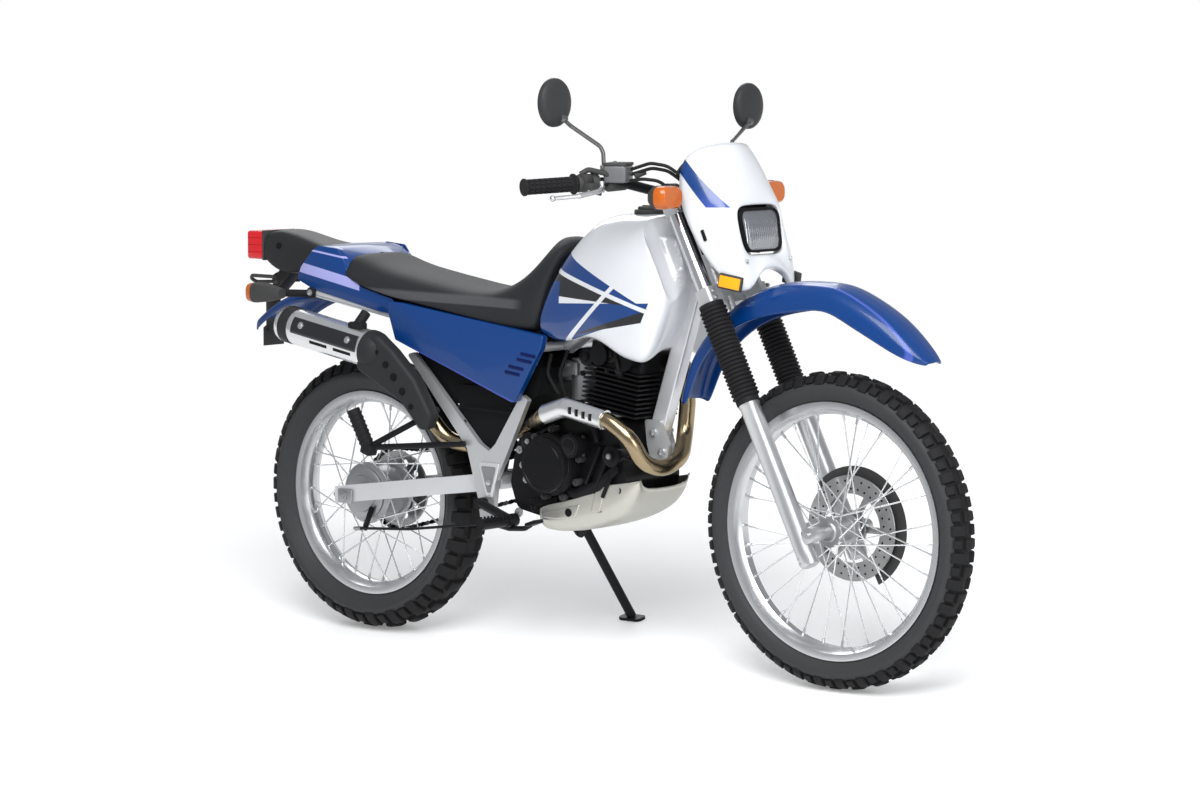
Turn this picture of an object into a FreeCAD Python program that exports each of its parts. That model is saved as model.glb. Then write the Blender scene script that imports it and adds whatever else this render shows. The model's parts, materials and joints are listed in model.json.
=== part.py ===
import FreeCAD, Part

import math
import os

# A dual sport motorcycle, parked on its side stand.
# It is modelled upright first: X = 0 at the rear axle and +X forward, Y = 0 in the middle
# plane and +Y to the rider's left, Z = 0 at the ground. All sizes are millimetres.

# Chassis and steering geometry
WHEELBASE = 1350.0
RAKE_DEG = 26.5
STEERING_OFFSET = 26.0
AXLE_LEAD = 37.0
FORK_HALF_SPACING = 88.0
LEAN_DEG = 10.0

# Fits
SEAT_GAP = 0.3
SHAFT_GAP = 0.05
OVERRUN = 5.0

# Front wheel
FRONT_TYRE_RADIUS = 345.0
FRONT_TYRE_HALF_WIDTH = 39.0
FRONT_CROWN_RADIUS = 42.0
FRONT_RIM_RADIUS = 281.0
FRONT_RIM_HALF_WIDTH = 28.0
FRONT_HUB_HALF_WIDTH = 40.0
FRONT_HUB_FLANGE_RADIUS = 33.0
FRONT_HUB_BARREL_RADIUS = 22.0
FRONT_AXLE_RADIUS = 7.5
FRONT_AXLE_END_RADIUS = 6.0
AXLE_END_LENGTH = 8.0
AXLE_FACE = 2.0

# Rear wheel
REAR_TYRE_RADIUS = 325.0
REAR_TYRE_HALF_WIDTH = 59.0
REAR_CROWN_RADIUS = 63.0
REAR_RIM_RADIUS = 243.0
REAR_RIM_HALF_WIDTH = 34.0
REAR_HUB_HALF_WIDTH = 46.0
REAR_HUB_FLANGE_RADIUS = 72.0
REAR_HUB_BARREL_RADIUS = 62.0
REAR_AXLE_RADIUS = 8.0
REAR_AXLE_END_RADIUS = 7.0

# What both wheels share
RIM_FLANGE = 14.0
RIM_WALL = 3.5
RIM_WELL = 9.0
RIM_WELL_SHARE = 0.36
TYRE_WALL = 8.0
TYRE_CROWN = 13.0
TYRE_WIDEST_SHARE = 0.46
SHOULDER_WIDTH_SHARE = 0.90
TREAD_DEPTH = 8.0
TREAD_ROOT = 1.0
FRONT_TREAD_ROWS = 30
REAR_TREAD_ROWS = 24
BLOCK_SWEEP_SHARE = 0.56
BLOCK_HALF_DEG = 22.0
BLOCK_GAP_DEG = 5.0
SPOKE_RADIUS = 1.8
SPOKE_SIDES = 6
SPOKES_A_SIDE = 18
SPOKE_SWEEP_DEG = 60.0
SPOKE_RIM_OFFSET = 4.0
HUB_FLANGE = 4.0

# Front brake
DISC_RADIUS = 115.0
DISC_THICKNESS = 4.0
DISC_MIDDLE_Y = 50.0
DISC_BAND_SHARE = 0.66
DISC_CARRIER_SHARE = 0.34
DISC_ARMS = 6
DISC_ARM_WIDTH = 14.0
CALIPER_DEPTH = 26.0
CALIPER_LENGTH = 78.0
CALIPER_HEIGHT = 44.0
CALIPER_SLOT = 9.0
CALIPER_EAR = 6.0
CALIPER_TURN_DEG = 172.0
CALIPER_REACH_SHARE = 0.86
GUARD_OUTER_SHARE = 1.17
GUARD_INNER_SHARE = 0.80
GUARD_THICKNESS = 3.0
GUARD_FROM_DEG = -62.0
GUARD_TO_DEG = 140.0

# Fork, along its own leg from the axle up
TUBE_RADIUS = 18.0
SLIDER_RADIUS = 22.5
SLIDER_FOOT = 60.0
SLIDER_TOP = 332.0
TUBE_TOP = 806.0
TUBE_START = 270.0
GAITER_FOOT = 322.0
GAITER_RADIUS = 31.0
GAITER_GROOVE = 4.0
GAITER_PLEATS = 18
GAITER_COLLAR = 12.0
AXLE_BOSS_RADIUS = 20.0
AXLE_BOSS_HALF_LENGTH = 20.0
LOWER_CLAMP_FOOT = 556.0
LOWER_CLAMP_HEIGHT = 34.0
UPPER_CLAMP_FOOT = 768.0
UPPER_CLAMP_HEIGHT = 30.0
CLAMP_WALL = 9.0
CLAMP_HUB_RADIUS = 25.0
CLAMP_CORNER_SHARE = 0.7
FENDER_BOSS_SHARE = 0.5
STEM_RADIUS = 13.0
HEAD_TUBE_RADIUS = 27.0
HEAD_TUBE_GAP = 2.0

# Handlebar, its grips and controls
BAR_RADIUS = 11.0
BAR_HALF_WIDTH = 402.0
BAR_BEND = 55.0
BAR_END_X = 803.0
BAR_END_Z = 1081.0
BAR_RISE_SHARE = 0.50
BAR_CLAMP_SHARE = 0.20
BAR_KNEE_X = 897.0
BAR_KNEE_Z = 1091.0
RISER_HEIGHT = 36.0
RISER_RADIUS = 15.0
RISER_HALF_SPACING = 42.0
GRIP_RADIUS = 16.5
GRIP_LENGTH = 122.0
GRIP_FLANGE_RADIUS = 23.0
GRIP_FLANGE = 5.0
PERCH_LENGTH = 34.0
PERCH_RADIUS = 17.0
SWITCH_LENGTH = 40.0
SWITCH_SIZE = 21.0
LEVER_THICKNESS = 9.0
LEVER_DROP = 18.0
LEVER_REACH = 62.0
CYLINDER_LENGTH = 74.0
CYLINDER_WIDTH = 46.0
CYLINDER_HEIGHT = 40.0

# Mirrors
MIRROR_X = 838.0
MIRROR_Y = 335.0
MIRROR_Z = 1262.0
MIRROR_HALF_HEIGHT = 54.0
MIRROR_HALF_WIDTH = 47.0
MIRROR_DEPTH = 20.0
MIRROR_STEM_RADIUS = 5.0
MIRROR_FOOT_Y = 232.0
MIRROR_NECK_Z = 1158.0

# Headlight cowl and headlight
COWL_TOP_Z = 1172.0
COWL_HEIGHT = 317.0
COWL_FRONT_X = 1168.0
COWL_DEPTH = 163.0
COWL_HALF_WIDTH = 125.0
COWL_WALL = 3.5
HEADLIGHT_TOP_Z = 1034.0
HEADLIGHT_HEIGHT = 97.0
HEADLIGHT_HALF_WIDTH = 68.0
HEADLIGHT_FOOT_SHARE = 0.86
HEADLIGHT_FRONT_X = 1150.0
HEADLIGHT_DEPTH = 96.0
HEADLIGHT_CORNER = 18.0
HEADLIGHT_TILT = 19.0
HEADLIGHT_GAP = 0.3
HEADLIGHT_CHEEK_SHARE = 0.9728

# Instruments
CLOCK_RADIUS = 33.0
CLOCK_DEPTH = 60.0
CLOCK_X = 986.0
CLOCK_Z = 1096.0
CLOCK_TILT_DEG = 40.0

# Front fender
FENDER_REAR_X = 940.0
FENDER_LENGTH = 661.0
FENDER_FOOT_Z = 605.0
FENDER_HEIGHT = 278.0
FENDER_HALF_WIDTH = 62.0
FENDER_WALL = 3.5

# Signals and reflectors
FRONT_SIGNAL_X = 1006.0
FRONT_SIGNAL_Y = 172.0
FRONT_SIGNAL_Z = 1056.0
SIGNAL_LENGTH = 52.0
SIGNAL_HEIGHT = 44.0
SIGNAL_WIDTH = 62.0
SIGNAL_CORNER = 14.0
SIGNAL_STALK_RADIUS = 7.0
SIGNAL_STALK_SETBACK = 10.0
LAMP_STAY_WALL = 4.0
LAMP_STAY_FOOT = 29.0
REFLECTOR_LENGTH = 60.0
REFLECTOR_HEIGHT = 34.0
REFLECTOR_DEPTH = 14.0
REFLECTOR_INSET = 17.0
REFLECTOR_X = 1142.0
REFLECTOR_Z = 876.0
REFLECTOR_TURN_DEG = 14.0

# Engine
CRANK_X = 640.0
CRANK_Z = 447.0
CASE_REAR_X = 500.0
CASE_LENGTH = 338.0
CASE_FOOT_Z = 322.0
CASE_HEIGHT = 236.0
CASE_HALF_WIDTH = 96.0
CLUTCH_RADIUS = 62.0
CLUTCH_Y = 150.0
CLUTCH_RIM_RADIUS = 70.0
CLUTCH_RIM_Y = 132.0
OIL_COVER_X = 710.0
OIL_COVER_Z = 494.0
OIL_COVER_RADIUS = 27.0
OIL_COVER_Y = 142.0
MAGNETO_RADIUS = 74.0
MAGNETO_X = 690.0
MAGNETO_Y = 126.0
CYLINDER_FOOT_X = 768.0
CYLINDER_TILT_DEG = 8.0
FIN_LENGTH = 158.0
FIN_HALF_WIDTH = 76.0
FIN_THICKNESS = 3.5
FIN_PITCH = 10.5
FIN_COUNT = 10
BARREL_LENGTH = 122.0
BARREL_HALF_WIDTH = 52.0
HEAD_HEIGHT = 44.0
HEAD_LENGTH = 144.0
HEAD_HALF_WIDTH = 66.0
ROCKER_RADIUS = 24.0
ROCKER_LENGTH = 20.0

# Carburettor, air box and shock absorber
CARB_X = 640.0
CARB_Z = 648.0
CARB_RADIUS = 24.0
CARB_BOWL_RADIUS = 30.0
CARB_BOWL_HEIGHT = 62.0
AIRBOX_REAR_X = 214.0
AIRBOX_LENGTH = 372.0
AIRBOX_FOOT_Z = 560.0
AIRBOX_HEIGHT = 172.0
AIRBOX_HALF_WIDTH = 92.0
PANEL_STANDOFF = 3.0
PANEL_WALL = 3.0
PANEL_OUTLINE = (
    (350.0, 608.0), (344.0, 540.0), (352.0, 474.0), (384.0, 442.0), (472.0, 442.0), (508.0, 505.0),
    (536.0, 575.0),
    (536.0, 608.0),
)
SHOCK_FOOT_X = 378.0
SHOCK_EYE_RADIUS = 9.0
SHOCK_EYE_LENGTH = 12.0
SHOCK_TOP_X = 452.0
SHOCK_TOP_Z = 668.0
SHOCK_RADIUS = 32.0
SHOCK_BODY_RADIUS = 20.0
SHOCK_COILS = 8
SHOCK_ROOM = 8.0

# Exhaust
HEADER_RADIUS = 18.0
PORT_Y = 44.0
HEADER_BEND = 48.0
HEADER_ROUTE = (
    (897.0, 50.0, 590.0), (893.0, 46.0, 520.0), (925.0, -6.0, 474.0), (918.0, -62.0, 450.0),
    (903.0, -116.0, 468.0),
    (892.0, -144.0, 522.0), (836.0, -152.0, 560.0), (716.0, -154.0, 584.0), (642.0, -145.0, 560.0),
    (600.0, -112.0, 545.0), (552.0, -78.0, 528.0), (470.0, -74.0, 500.0), (370.0, -74.0, 464.0),
    (300.0, -88.0, 476.0), (232.0, -106.0, 556.0), (152.0, -140.0, 656.0),
)
MUFFLER_FRONT_X = 66.0
MUFFLER_REAR_X = -146.0
MUFFLER_Y = 153.0
MUFFLER_FRONT_Z = 690.0
MUFFLER_REAR_Z = 727.0
MUFFLER_RADIUS = 43.0
MUFFLER_TIP_RADIUS = 17.0
MUFFLER_CONE = 34.0
SHIELD_WALL = 2.5
SHIELD_Y = 173.0
SHIELD_TURN_DEG = 8.4
SHIELD_PLATE = 4.0
SHIELD_STUD_RADIUS = 6.0
SHIELD_OUTLINE = (
    (106.0, 704.0), (168.0, 716.0), (224.0, 672.0), (305.0, 607.0), (344.0, 518.0), (296.0, 482.0),
    (250.0, 566.0),
    (150.0, 604.0), (106.0, 634.0),
)
SHIELD_SLOTS = 4
SHIELD_SLOT_LENGTH = 10.0
SHIELD_SLOT_WIDTH = 16.0

# Frame
BACKBONE_RADIUS = 22.0
DOWNTUBE_HALF_WIDTH = 17.0
DOWNTUBE_DEPTH = 40.0
DOWNTUBE_FOOT_X = 850.0
DOWNTUBE_FOOT_Z = 500.0
DOWNTUBE_DROP = 45.0
MOUNT_X = 836.0
MOUNT_LENGTH = 68.0
MOUNT_FOOT_Z = 436.0
MOUNT_HEIGHT = 118.0
MOUNT_WALL = 10.0
CASE_LUG_HEIGHT = 54.0
RAIL_RADIUS = 11.0
RAIL_HALF_SPACING = 104.0
RAIL_FRONT_X = 590.0
RAIL_FRONT_Z = 706.0
RAIL_KNEE_X = 200.0
RAIL_KNEE_Z = 752.0
RAIL_REAR_X = -112.0
RAIL_REAR_Z = 802.0
PIVOT_X = 455.0
PIVOT_Z = 392.0
PIVOT_SHAFT_RADIUS = 9.0
PLATE_INNER_Y = 101.0
PLATE_THICKNESS = 14.0
PLATE_REAR_X = 200.0
PLATE_LENGTH = 368.0
PLATE_FOOT_Z = 304.0
PLATE_HEIGHT = 372.0

# Swingarm and rear axle
ARM_REAR_Y = 106.0
ARM_FRONT_Y = 87.0
ARM_HALF_THICKNESS = 11.0
ARM_HALF_HEIGHT = 20.0
ARM_TIP = 32.0
ARM_TUBE_RADIUS = 20.0
BRACE_X = 362.0
BRACE_LENGTH = 26.0

# Chain drive
CHAIN_Y = 74.0
CHAIN_HALF_WIDTH = 7.5
CHAIN_HALF_HEIGHT = 6.0
SPROCKET_PITCH_RADIUS = 97.0
DRIVE_PITCH_RADIUS = 30.0
DRIVE_X = 532.0
DRIVE_Z = 400.0
SPROCKET_THICKNESS = 6.0
SPROCKET_HOLES = 10
SPROCKET_HOLE_RADIUS = 9.0
SPROCKET_HOLE_SHARE = 0.72
CHAIN_NOTCHES = 92
CHAIN_NOTCH = 2.6

# Skid plate
SKID_REAR_X = 592.0
SKID_LENGTH = 316.0
SKID_FOOT_Z = 286.0
SKID_HEIGHT = 140.0
SKID_HALF_WIDTH = 104.0
SKID_WALL = 3.5

# Tank and cap
TANK_REAR_X = 598.0
TANK_LENGTH = 364.0
TANK_FOOT_Z = 681.0
TANK_HEIGHT = 331.0
TANK_HALF_WIDTH = 140.0
TANK_TUNNEL_HALF_WIDTH = 34.0
TANK_HEAD_ROOM = 8.0
TANK_ROUND = 40.0
STEERING_ROOM = 6.0
STEERING_LOCK_DEG = 40.0
STEERING_STEPS = 4
CAP_X = 826.0
CAP_LENGTH = 76.0
CAP_HALF_WIDTH = 34.0
CAP_HEIGHT = 16.0

# Seat
SEAT_REAR_X = -9.0
SEAT_LENGTH = 659.0
SEAT_FOOT_Z = 738.0
SEAT_HEIGHT = 217.0
SEAT_HALF_WIDTH = 128.0

# Side covers
COVER_REAR_X = 158.0
COVER_LENGTH = 469.0
COVER_FOOT_Z = 581.0
COVER_HEIGHT = 195.0
COVER_INNER_Y = 115.3
COVER_OUTER_Y = 135.0
COVER_WALL = 3.5
COVER_BOSS_RADIUS = 9.0
COVER_VENTS = 4
COVER_VENT_WIDTH = 9.0
COVER_VENT_HEIGHT = 46.0

# Tail
TAIL_REAR_X = -176.0
TAIL_LENGTH = 304.0
TAIL_FOOT_Z = 785.0
TAIL_HEIGHT = 120.0
TAIL_WALL = 3.5
MUDGUARD_REAR_X = -334.0
MUDGUARD_FRONT_X = -20.0
MUDGUARD_REAR_Z = 722.0
MUDGUARD_HALF_WIDTH = 88.0
MUDGUARD_DEPTH = 26.0
TAILPIECE_REAR_X = -322.0
TAILPIECE_LENGTH = 224.0
TAILPIECE_FOOT_Z = 832.4
TAILPIECE_HEIGHT = 108.0
TAILPIECE_HALF_WIDTH = 64.0
LENS_LENGTH = 58.0
LENS_HEIGHT = 69.0
LENS_HALF_WIDTH = 54.0
LENS_FOOT_Z = 866.0
BRACKET_HALF_WIDTH = 46.0
BRACKET_TOP_X = -258.0
BRACKET_LENGTH = 128.0
BRACKET_HEIGHT = 209.0
REAR_SIGNAL_X = -210.0
REAR_SIGNAL_Y = 158.0
REAR_SIGNAL_Z = 794.0
REAR_SIGNAL_LENGTH = 96.0
REAR_SIGNAL_HEIGHT = 38.0
REAR_SIGNAL_WIDTH = 50.0

# Foot pegs and foot controls
PEG_X = 549.0
PEG_Z = 316.0
PEG_INNER_Y = 138.0
PEG_LENGTH = 118.0
PEG_RADIUS = 13.0
PEG_FREE_LENGTH = 84.0
PEG_ROOT_RADIUS = 15.0
REAR_PEG_X = 140.0
REAR_PEG_Z = 455.0
REAR_PEG_Y = 184.0
REAR_PEG_LENGTH = 96.0
REAR_PEG_RADIUS = 13.0
STAY_RADIUS = 7.0

# Side stand
STAND_PIVOT_X = 520.0
STAND_PIVOT_Y = 142.0
STAND_PIVOT_Z = 268.0
STAND_SPLAY_DEG = 27.0
STAND_FORWARD_DEG = 12.0
STAND_RADIUS = 11.0
STAND_FOOT_LENGTH = 62.0
STAND_FOOT_WIDTH = 34.0
STAND_FOOT_THICKNESS = 7.0
STAND_EAR = 11.5

FULL_TURN = 360.0
RIGHT_ANGLE = 90.0
X_AXIS = FreeCAD.Vector(1, 0, 0)
Y_AXIS = FreeCAD.Vector(0, 1, 0)
Z_AXIS = FreeCAD.Vector(0, 0, 1)


def vec(x, y, z):
    return FreeCAD.Vector(x, y, z)


def spots(corner, size, shares):
    """Points of an outline, each at its corner plus a share of its size."""
    return [(corner[0] + size[0] * a, corner[1] + size[1] * b) for a, b in shares]


def rounded_edges(points, radius, closed):
    """Straight runs joined by tangent arcs, each limited by its two runs."""
    count = len(points)
    starts = []
    ends = []
    middles = []
    for i, here in enumerate(points):
        if not closed and i in (0, count - 1):
            starts.append(here)
            ends.append(here)
            middles.append(None)
            continue
        before = here - points[i - 1]
        after = points[(i + 1) % count] - here
        turn = before.getAngle(after)
        if turn < 1e-3 or radius == 0:
            starts.append(here)
            ends.append(here)
            middles.append(None)
            continue
        run = 0.45 * min(before.Length, after.Length)
        cut = min(radius * math.tan(turn / 2), run)
        bend = cut / math.tan(turn / 2)
        before.normalize()
        after.normalize()
        inward = after - before
        inward.normalize()
        starts.append(here - before * cut)
        ends.append(here + after * cut)
        middles.append(here + inward * (bend / math.cos(turn / 2) - bend))
    edges = []
    last = count if closed else count - 1
    for i in range(count):
        if middles[i] is not None:
            edges.append(Part.Arc(starts[i], middles[i], ends[i]).toShape())
        if i < last:
            target = starts[(i + 1) % count]
            if (target - ends[i]).Length > 1e-6:
                edges.append(Part.LineSegment(ends[i], target).toShape())
    return edges


def closed_face(points, radius=0):
    return Part.Face(Part.Wire(rounded_edges(points, radius, True)))


def side_slab(points, y_low, y_high, radius=0):
    """An outline in X and Z, as thick as the stretch of Y."""
    face = closed_face([vec(x, y_low, z) for x, z in points], radius)
    return face.extrude(vec(0, y_high - y_low, 0))


def front_slab(points, x_low, x_high, radius=0):
    """An outline in Y and Z, as long as the stretch of X."""
    face = closed_face([vec(x_low, y, z) for y, z in points], radius)
    return face.extrude(vec(x_high - x_low, 0, 0))


def plan_slab(points, z_low, z_high, radius=0):
    """An outline in X and Y, as high as the stretch of Z."""
    face = closed_face([vec(x, y, z_low) for x, y in points], radius)
    return face.extrude(vec(0, 0, z_high - z_low))


def both_sides(points):
    """Half an outline, from the middle out, closed by its mirror image in its first size."""
    return points + [(-a, b) for a, b in reversed(points)]


def rod(start, end, radius):
    run = end - start
    return Part.makeCylinder(radius, run.Length, start, run)


def tube(start, end, outer, inner):
    return rod(start, end, outer).cut(rod(start, end, inner))


def pipe(points, radius, bend, bore=0):
    """A round tube along straight runs joined by arcs."""
    path = Part.Wire(rounded_edges(points, bend, False))
    start = points[0]
    along = points[1] - start
    rings = [Part.Wire(Part.makeCircle(radius, start, along))]
    solid = path.makePipeShell(rings, True, False)
    if bore:
        hole = path.makePipeShell([Part.Wire(Part.makeCircle(bore, start, along))], True, False)
        solid = solid.cut(hole)
    return solid


def turned(profile, centre, axis=Y_AXIS, side=Z_AXIS, radius=0):
    """A profile of radius and place along the axis, turned about the axis."""
    points = [centre + side * r + axis * a for r, a in profile]
    face = closed_face(points, radius)
    return face.revolve(centre, axis, FULL_TURN)


def mirrored(shape):
    return shape.mirror(vec(0, 0, 0), Y_AXIS)


def pair(shape):
    return Part.makeCompound([shape, mirrored(shape)])


def loft(sections, ruled=True):
    wires = [Part.makePolygon(section + [section[0]]) for section in sections]
    return Part.makeLoft(wires, True, ruled)


def block(low, high):
    return Part.makeBox(high.x - low.x, high.y - low.y, high.z - low.z, low)


def fused(first, *others):
    return first.multiFuse(list(others)).removeSplitter()


FRONT_AXLE = vec(WHEELBASE, 0, FRONT_TYRE_RADIUS)
REAR_AXLE = vec(0, 0, REAR_TYRE_RADIUS)
STEERING_BACK = AXLE_LEAD + STEERING_OFFSET


def fork_place(shape):
    """Carries a shape from the fork's own frame, with its legs upright, to the motorcycle."""
    moved = shape.copy()
    moved.rotate(vec(0, 0, 0), Y_AXIS, -RAKE_DEG)
    moved.translate(FRONT_AXLE)
    return moved


def fork_point(lead, y, up):
    """A point given ahead of the axle and up along the fork, in the motorcycle's frame."""
    rake = math.radians(RAKE_DEG)
    x = lead * math.cos(rake) - up * math.sin(rake)
    z = lead * math.sin(rake) + up * math.cos(rake)
    return FRONT_AXLE + vec(x, y, z)


def tyre_shape(axle, radius, half_width, crown, rim_radius, rim_half_width, rows):
    """A tyre open towards its rim, its tread blocks standing up to an arc across the crown."""
    bead = rim_radius - RIM_FLANGE + SEAT_GAP
    rim_inside = rim_half_width - RIM_WALL - SEAT_GAP
    widest = bead + (radius - bead) * TYRE_WIDEST_SHARE
    shoulder = math.asin(half_width * SHOULDER_WIDTH_SHARE / crown)
    lip = rim_radius + SEAT_GAP
    middle = radius - crown
    groove = crown - TREAD_DEPTH
    inside = crown - TYRE_CROWN
    sine = math.sin(shoulder)
    cosine = math.cos(shoulder)
    outer = [
        (bead, rim_inside), (lip, rim_inside), (widest, half_width),
        (middle + groove * cosine, groove * sine)
    ]
    inner = [
        (middle + inside * cosine, inside * sine),
        (widest, half_width - TYRE_WALL),
        (lip, rim_inside - TYRE_WALL),
        (bead, rim_inside - TYRE_WALL),
    ]
    across = [axle + Z_AXIS * r + Y_AXIS * y for r, y in outer]
    back = [axle + Z_AXIS * r - Y_AXIS * y for r, y in reversed(outer)]
    within = [axle + Z_AXIS * r + Y_AXIS * y for r, y in inner]
    within_back = [axle + Z_AXIS * r - Y_AXIS * y for r, y in reversed(inner)]
    edges = straight_edges(across)
    edges.append(Part.Arc(across[-1], axle + Z_AXIS * (middle + groove), back[0]).toShape())
    edges += straight_edges(back + within_back)
    edges.append(Part.Arc(within_back[-1], axle + Z_AXIS * (middle + inside), within[0]).toShape())
    edges += straight_edges(within + across[:1])
    carcass = Part.Face(Part.Wire(edges)).revolve(axle, Y_AXIS, FULL_TURN)
    return fused(carcass, *tread_blocks(axle, radius, crown, math.degrees(shoulder), rows))


def straight_edges(points):
    return [Part.LineSegment(a, b).toShape() for a, b in zip(points, points[1:])]


def tread_blocks(axle, radius, crown, shoulder_deg, rows):
    """Rows of blocks round a tyre: one in the middle, then one at each shoulder, by turns."""
    blocks = []
    pitch = FULL_TURN / rows
    sweep = pitch * BLOCK_SWEEP_SHARE
    for k in range(rows):
        centre = tread_block(axle, radius, crown, -BLOCK_HALF_DEG, BLOCK_HALF_DEG, sweep)
        outer = tread_block(axle, radius, crown, BLOCK_HALF_DEG + BLOCK_GAP_DEG, shoulder_deg, sweep)
        inner = mirrored(outer)
        centre.rotate(axle, Y_AXIS, pitch * k)
        for shape in (outer, inner):
            shape.rotate(axle, Y_AXIS, pitch * (k + 0.5))
        blocks += [centre, outer, inner]
    return blocks


def tread_block(axle, radius, crown, low_deg, high_deg, sweep):
    """One tread block at the foot of the wheel, between two angles across the crown."""
    middle = axle - Z_AXIS * (radius - crown)
    foot = crown - TREAD_DEPTH - TREAD_ROOT

    def spot(reach, deg):
        angle = math.radians(deg)
        return middle + Y_AXIS * (reach * math.sin(angle)) - Z_AXIS * (reach * math.cos(angle))

    top = Part.Arc(spot(crown, low_deg), spot(crown, (low_deg + high_deg) / 2), spot(crown, high_deg))
    sides = straight_edges(
        [spot(crown, high_deg), spot(foot, high_deg), spot(foot, low_deg), spot(crown, low_deg)]
    )
    face = Part.Face(Part.Wire([top.toShape()] + sides))
    face.rotate(axle, Y_AXIS, -sweep / 2)
    return face.revolve(axle, Y_AXIS, sweep)


def rim_shape(axle, radius, half_width):
    """A spoked wheel's rim, with two flanges and a well between its bead seats."""
    seat = radius - RIM_FLANGE
    well = seat - RIM_WELL
    well_y = half_width * RIM_WELL_SHARE
    step_y = well_y + RIM_WELL
    half = [
        (well, well_y),
        (seat, step_y),
        (seat, half_width - RIM_WALL),
        (radius, half_width - RIM_WALL),
        (radius, half_width),
        (seat - RIM_WALL, half_width),
        (seat - RIM_WALL, step_y + RIM_WALL),
        (well - RIM_WALL, well_y),
    ]
    profile = half + [(r, -y) for r, y in reversed(half)]
    return turned(profile, axle)


def spoke_set(axle, flange_radius, flange_y, rim_inner):
    """Crossed spokes from a hub's two flanges towards the middle of the rim."""
    step = FULL_TURN / SPOKES_A_SIDE
    spokes = []
    for side in (1, -1):
        for k in range(SPOKES_A_SIDE):
            lead = 1 if k % 2 else -1
            hub_angle = math.radians(k * step + (step / 2 if side > 0 else 0))
            rim_angle = hub_angle + lead * math.radians(SPOKE_SWEEP_DEG)
            y_hub = side * (flange_y + lead * SPOKE_RADIUS * 1.1)
            start = vec(math.cos(hub_angle) * flange_radius, y_hub, math.sin(hub_angle) * flange_radius)
            end = vec(
                math.cos(rim_angle) * rim_inner, side * SPOKE_RIM_OFFSET, math.sin(rim_angle) * rim_inner
            )
            spokes.append(prism_between(axle + start, axle + end, SPOKE_RADIUS, SPOKE_SIDES))
    return spokes


def prism_between(start, end, radius, sides):
    run = end - start
    across = run.cross(Y_AXIS)
    across.normalize()
    up = run.cross(across)
    up.normalize()
    ring = []
    for i in range(sides):
        angle = 2 * math.pi * i / sides
        ring.append(start + across * (radius * math.cos(angle)) + up * (radius * math.sin(angle)))
    return closed_face(ring).extrude(run)


def front_hub():
    """The front hub, its disc seat and its spokes, in one piece."""
    half = FRONT_HUB_HALF_WIDTH
    flange_y = half - HUB_FLANGE - HUB_FLANGE
    bore = FRONT_AXLE_RADIUS + SHAFT_GAP
    barrel = FRONT_HUB_BARREL_RADIUS
    flange = FRONT_HUB_FLANGE_RADIUS
    profile = [
        (bore, -half), (barrel, -half), (barrel, -flange_y - HUB_FLANGE), (flange, -flange_y - HUB_FLANGE),
        (flange, -flange_y), (barrel, -flange_y), (barrel, flange_y), (flange, flange_y),
        (flange, flange_y + HUB_FLANGE), (barrel, flange_y + HUB_FLANGE), (barrel, disc_seat_y()),
        (bore, disc_seat_y()),
    ]
    hub = turned(profile, FRONT_AXLE)
    rim_inner = FRONT_RIM_RADIUS - RIM_FLANGE - RIM_WELL - RIM_WALL - SPOKE_RADIUS / 2
    spokes = spoke_set(FRONT_AXLE, flange - SPOKE_RADIUS, flange_y + HUB_FLANGE / 2, rim_inner)
    return fused(hub, *spokes)


def disc_seat_y():
    return DISC_MIDDLE_Y - DISC_THICKNESS / 2 - SEAT_GAP


def front_disc():
    """The brake disc: a band carried by arms on a round centre."""
    low = DISC_MIDDLE_Y - DISC_THICKNESS / 2
    high = DISC_MIDDLE_Y + DISC_THICKNESS / 2
    inner = DISC_RADIUS * DISC_BAND_SHARE
    centre = DISC_RADIUS * DISC_CARRIER_SHARE
    bore = FRONT_AXLE_RADIUS + HUB_FLANGE
    band = turned([(inner, low), (DISC_RADIUS, low), (DISC_RADIUS, high), (inner, high)], FRONT_AXLE)
    carrier = turned([(bore, low), (centre, low), (centre, high), (bore, high)], FRONT_AXLE)
    arms = []
    for k in range(DISC_ARMS):
        arm = block(
            FRONT_AXLE + vec(centre - OVERRUN, low, -DISC_ARM_WIDTH / 2),
            FRONT_AXLE + vec(inner + OVERRUN, high, DISC_ARM_WIDTH / 2),
        )
        arm.rotate(FRONT_AXLE, Y_AXIS, FULL_TURN * k / DISC_ARMS)
        arms.append(arm)
    return fused(band, carrier, *arms)


def rear_hub():
    """The rear hub with its brake drum, its sprocket seat and its spokes, in one piece."""
    half = REAR_HUB_HALF_WIDTH
    flange_y = half - HUB_FLANGE - HUB_FLANGE
    bore = REAR_AXLE_RADIUS + SHAFT_GAP
    barrel = REAR_HUB_BARREL_RADIUS
    flange = REAR_HUB_FLANGE_RADIUS
    profile = [
        (bore, -half), (barrel, -half), (flange, -flange_y - HUB_FLANGE), (flange, -flange_y),
        (barrel, -flange_y), (barrel, flange_y), (flange, flange_y), (flange, flange_y + HUB_FLANGE),
        (barrel, flange_y + HUB_FLANGE), (barrel, sprocket_seat_y()), (bore, sprocket_seat_y()),
    ]
    hub = turned(profile, REAR_AXLE)
    rim_inner = REAR_RIM_RADIUS - RIM_FLANGE - RIM_WELL - RIM_WALL - SPOKE_RADIUS / 2
    spokes = spoke_set(REAR_AXLE, flange - SPOKE_RADIUS, flange_y + HUB_FLANGE / 2, rim_inner)
    return fused(hub, *spokes)


def sprocket_seat_y():
    return CHAIN_Y - SPROCKET_THICKNESS / 2 - SEAT_GAP


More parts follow.
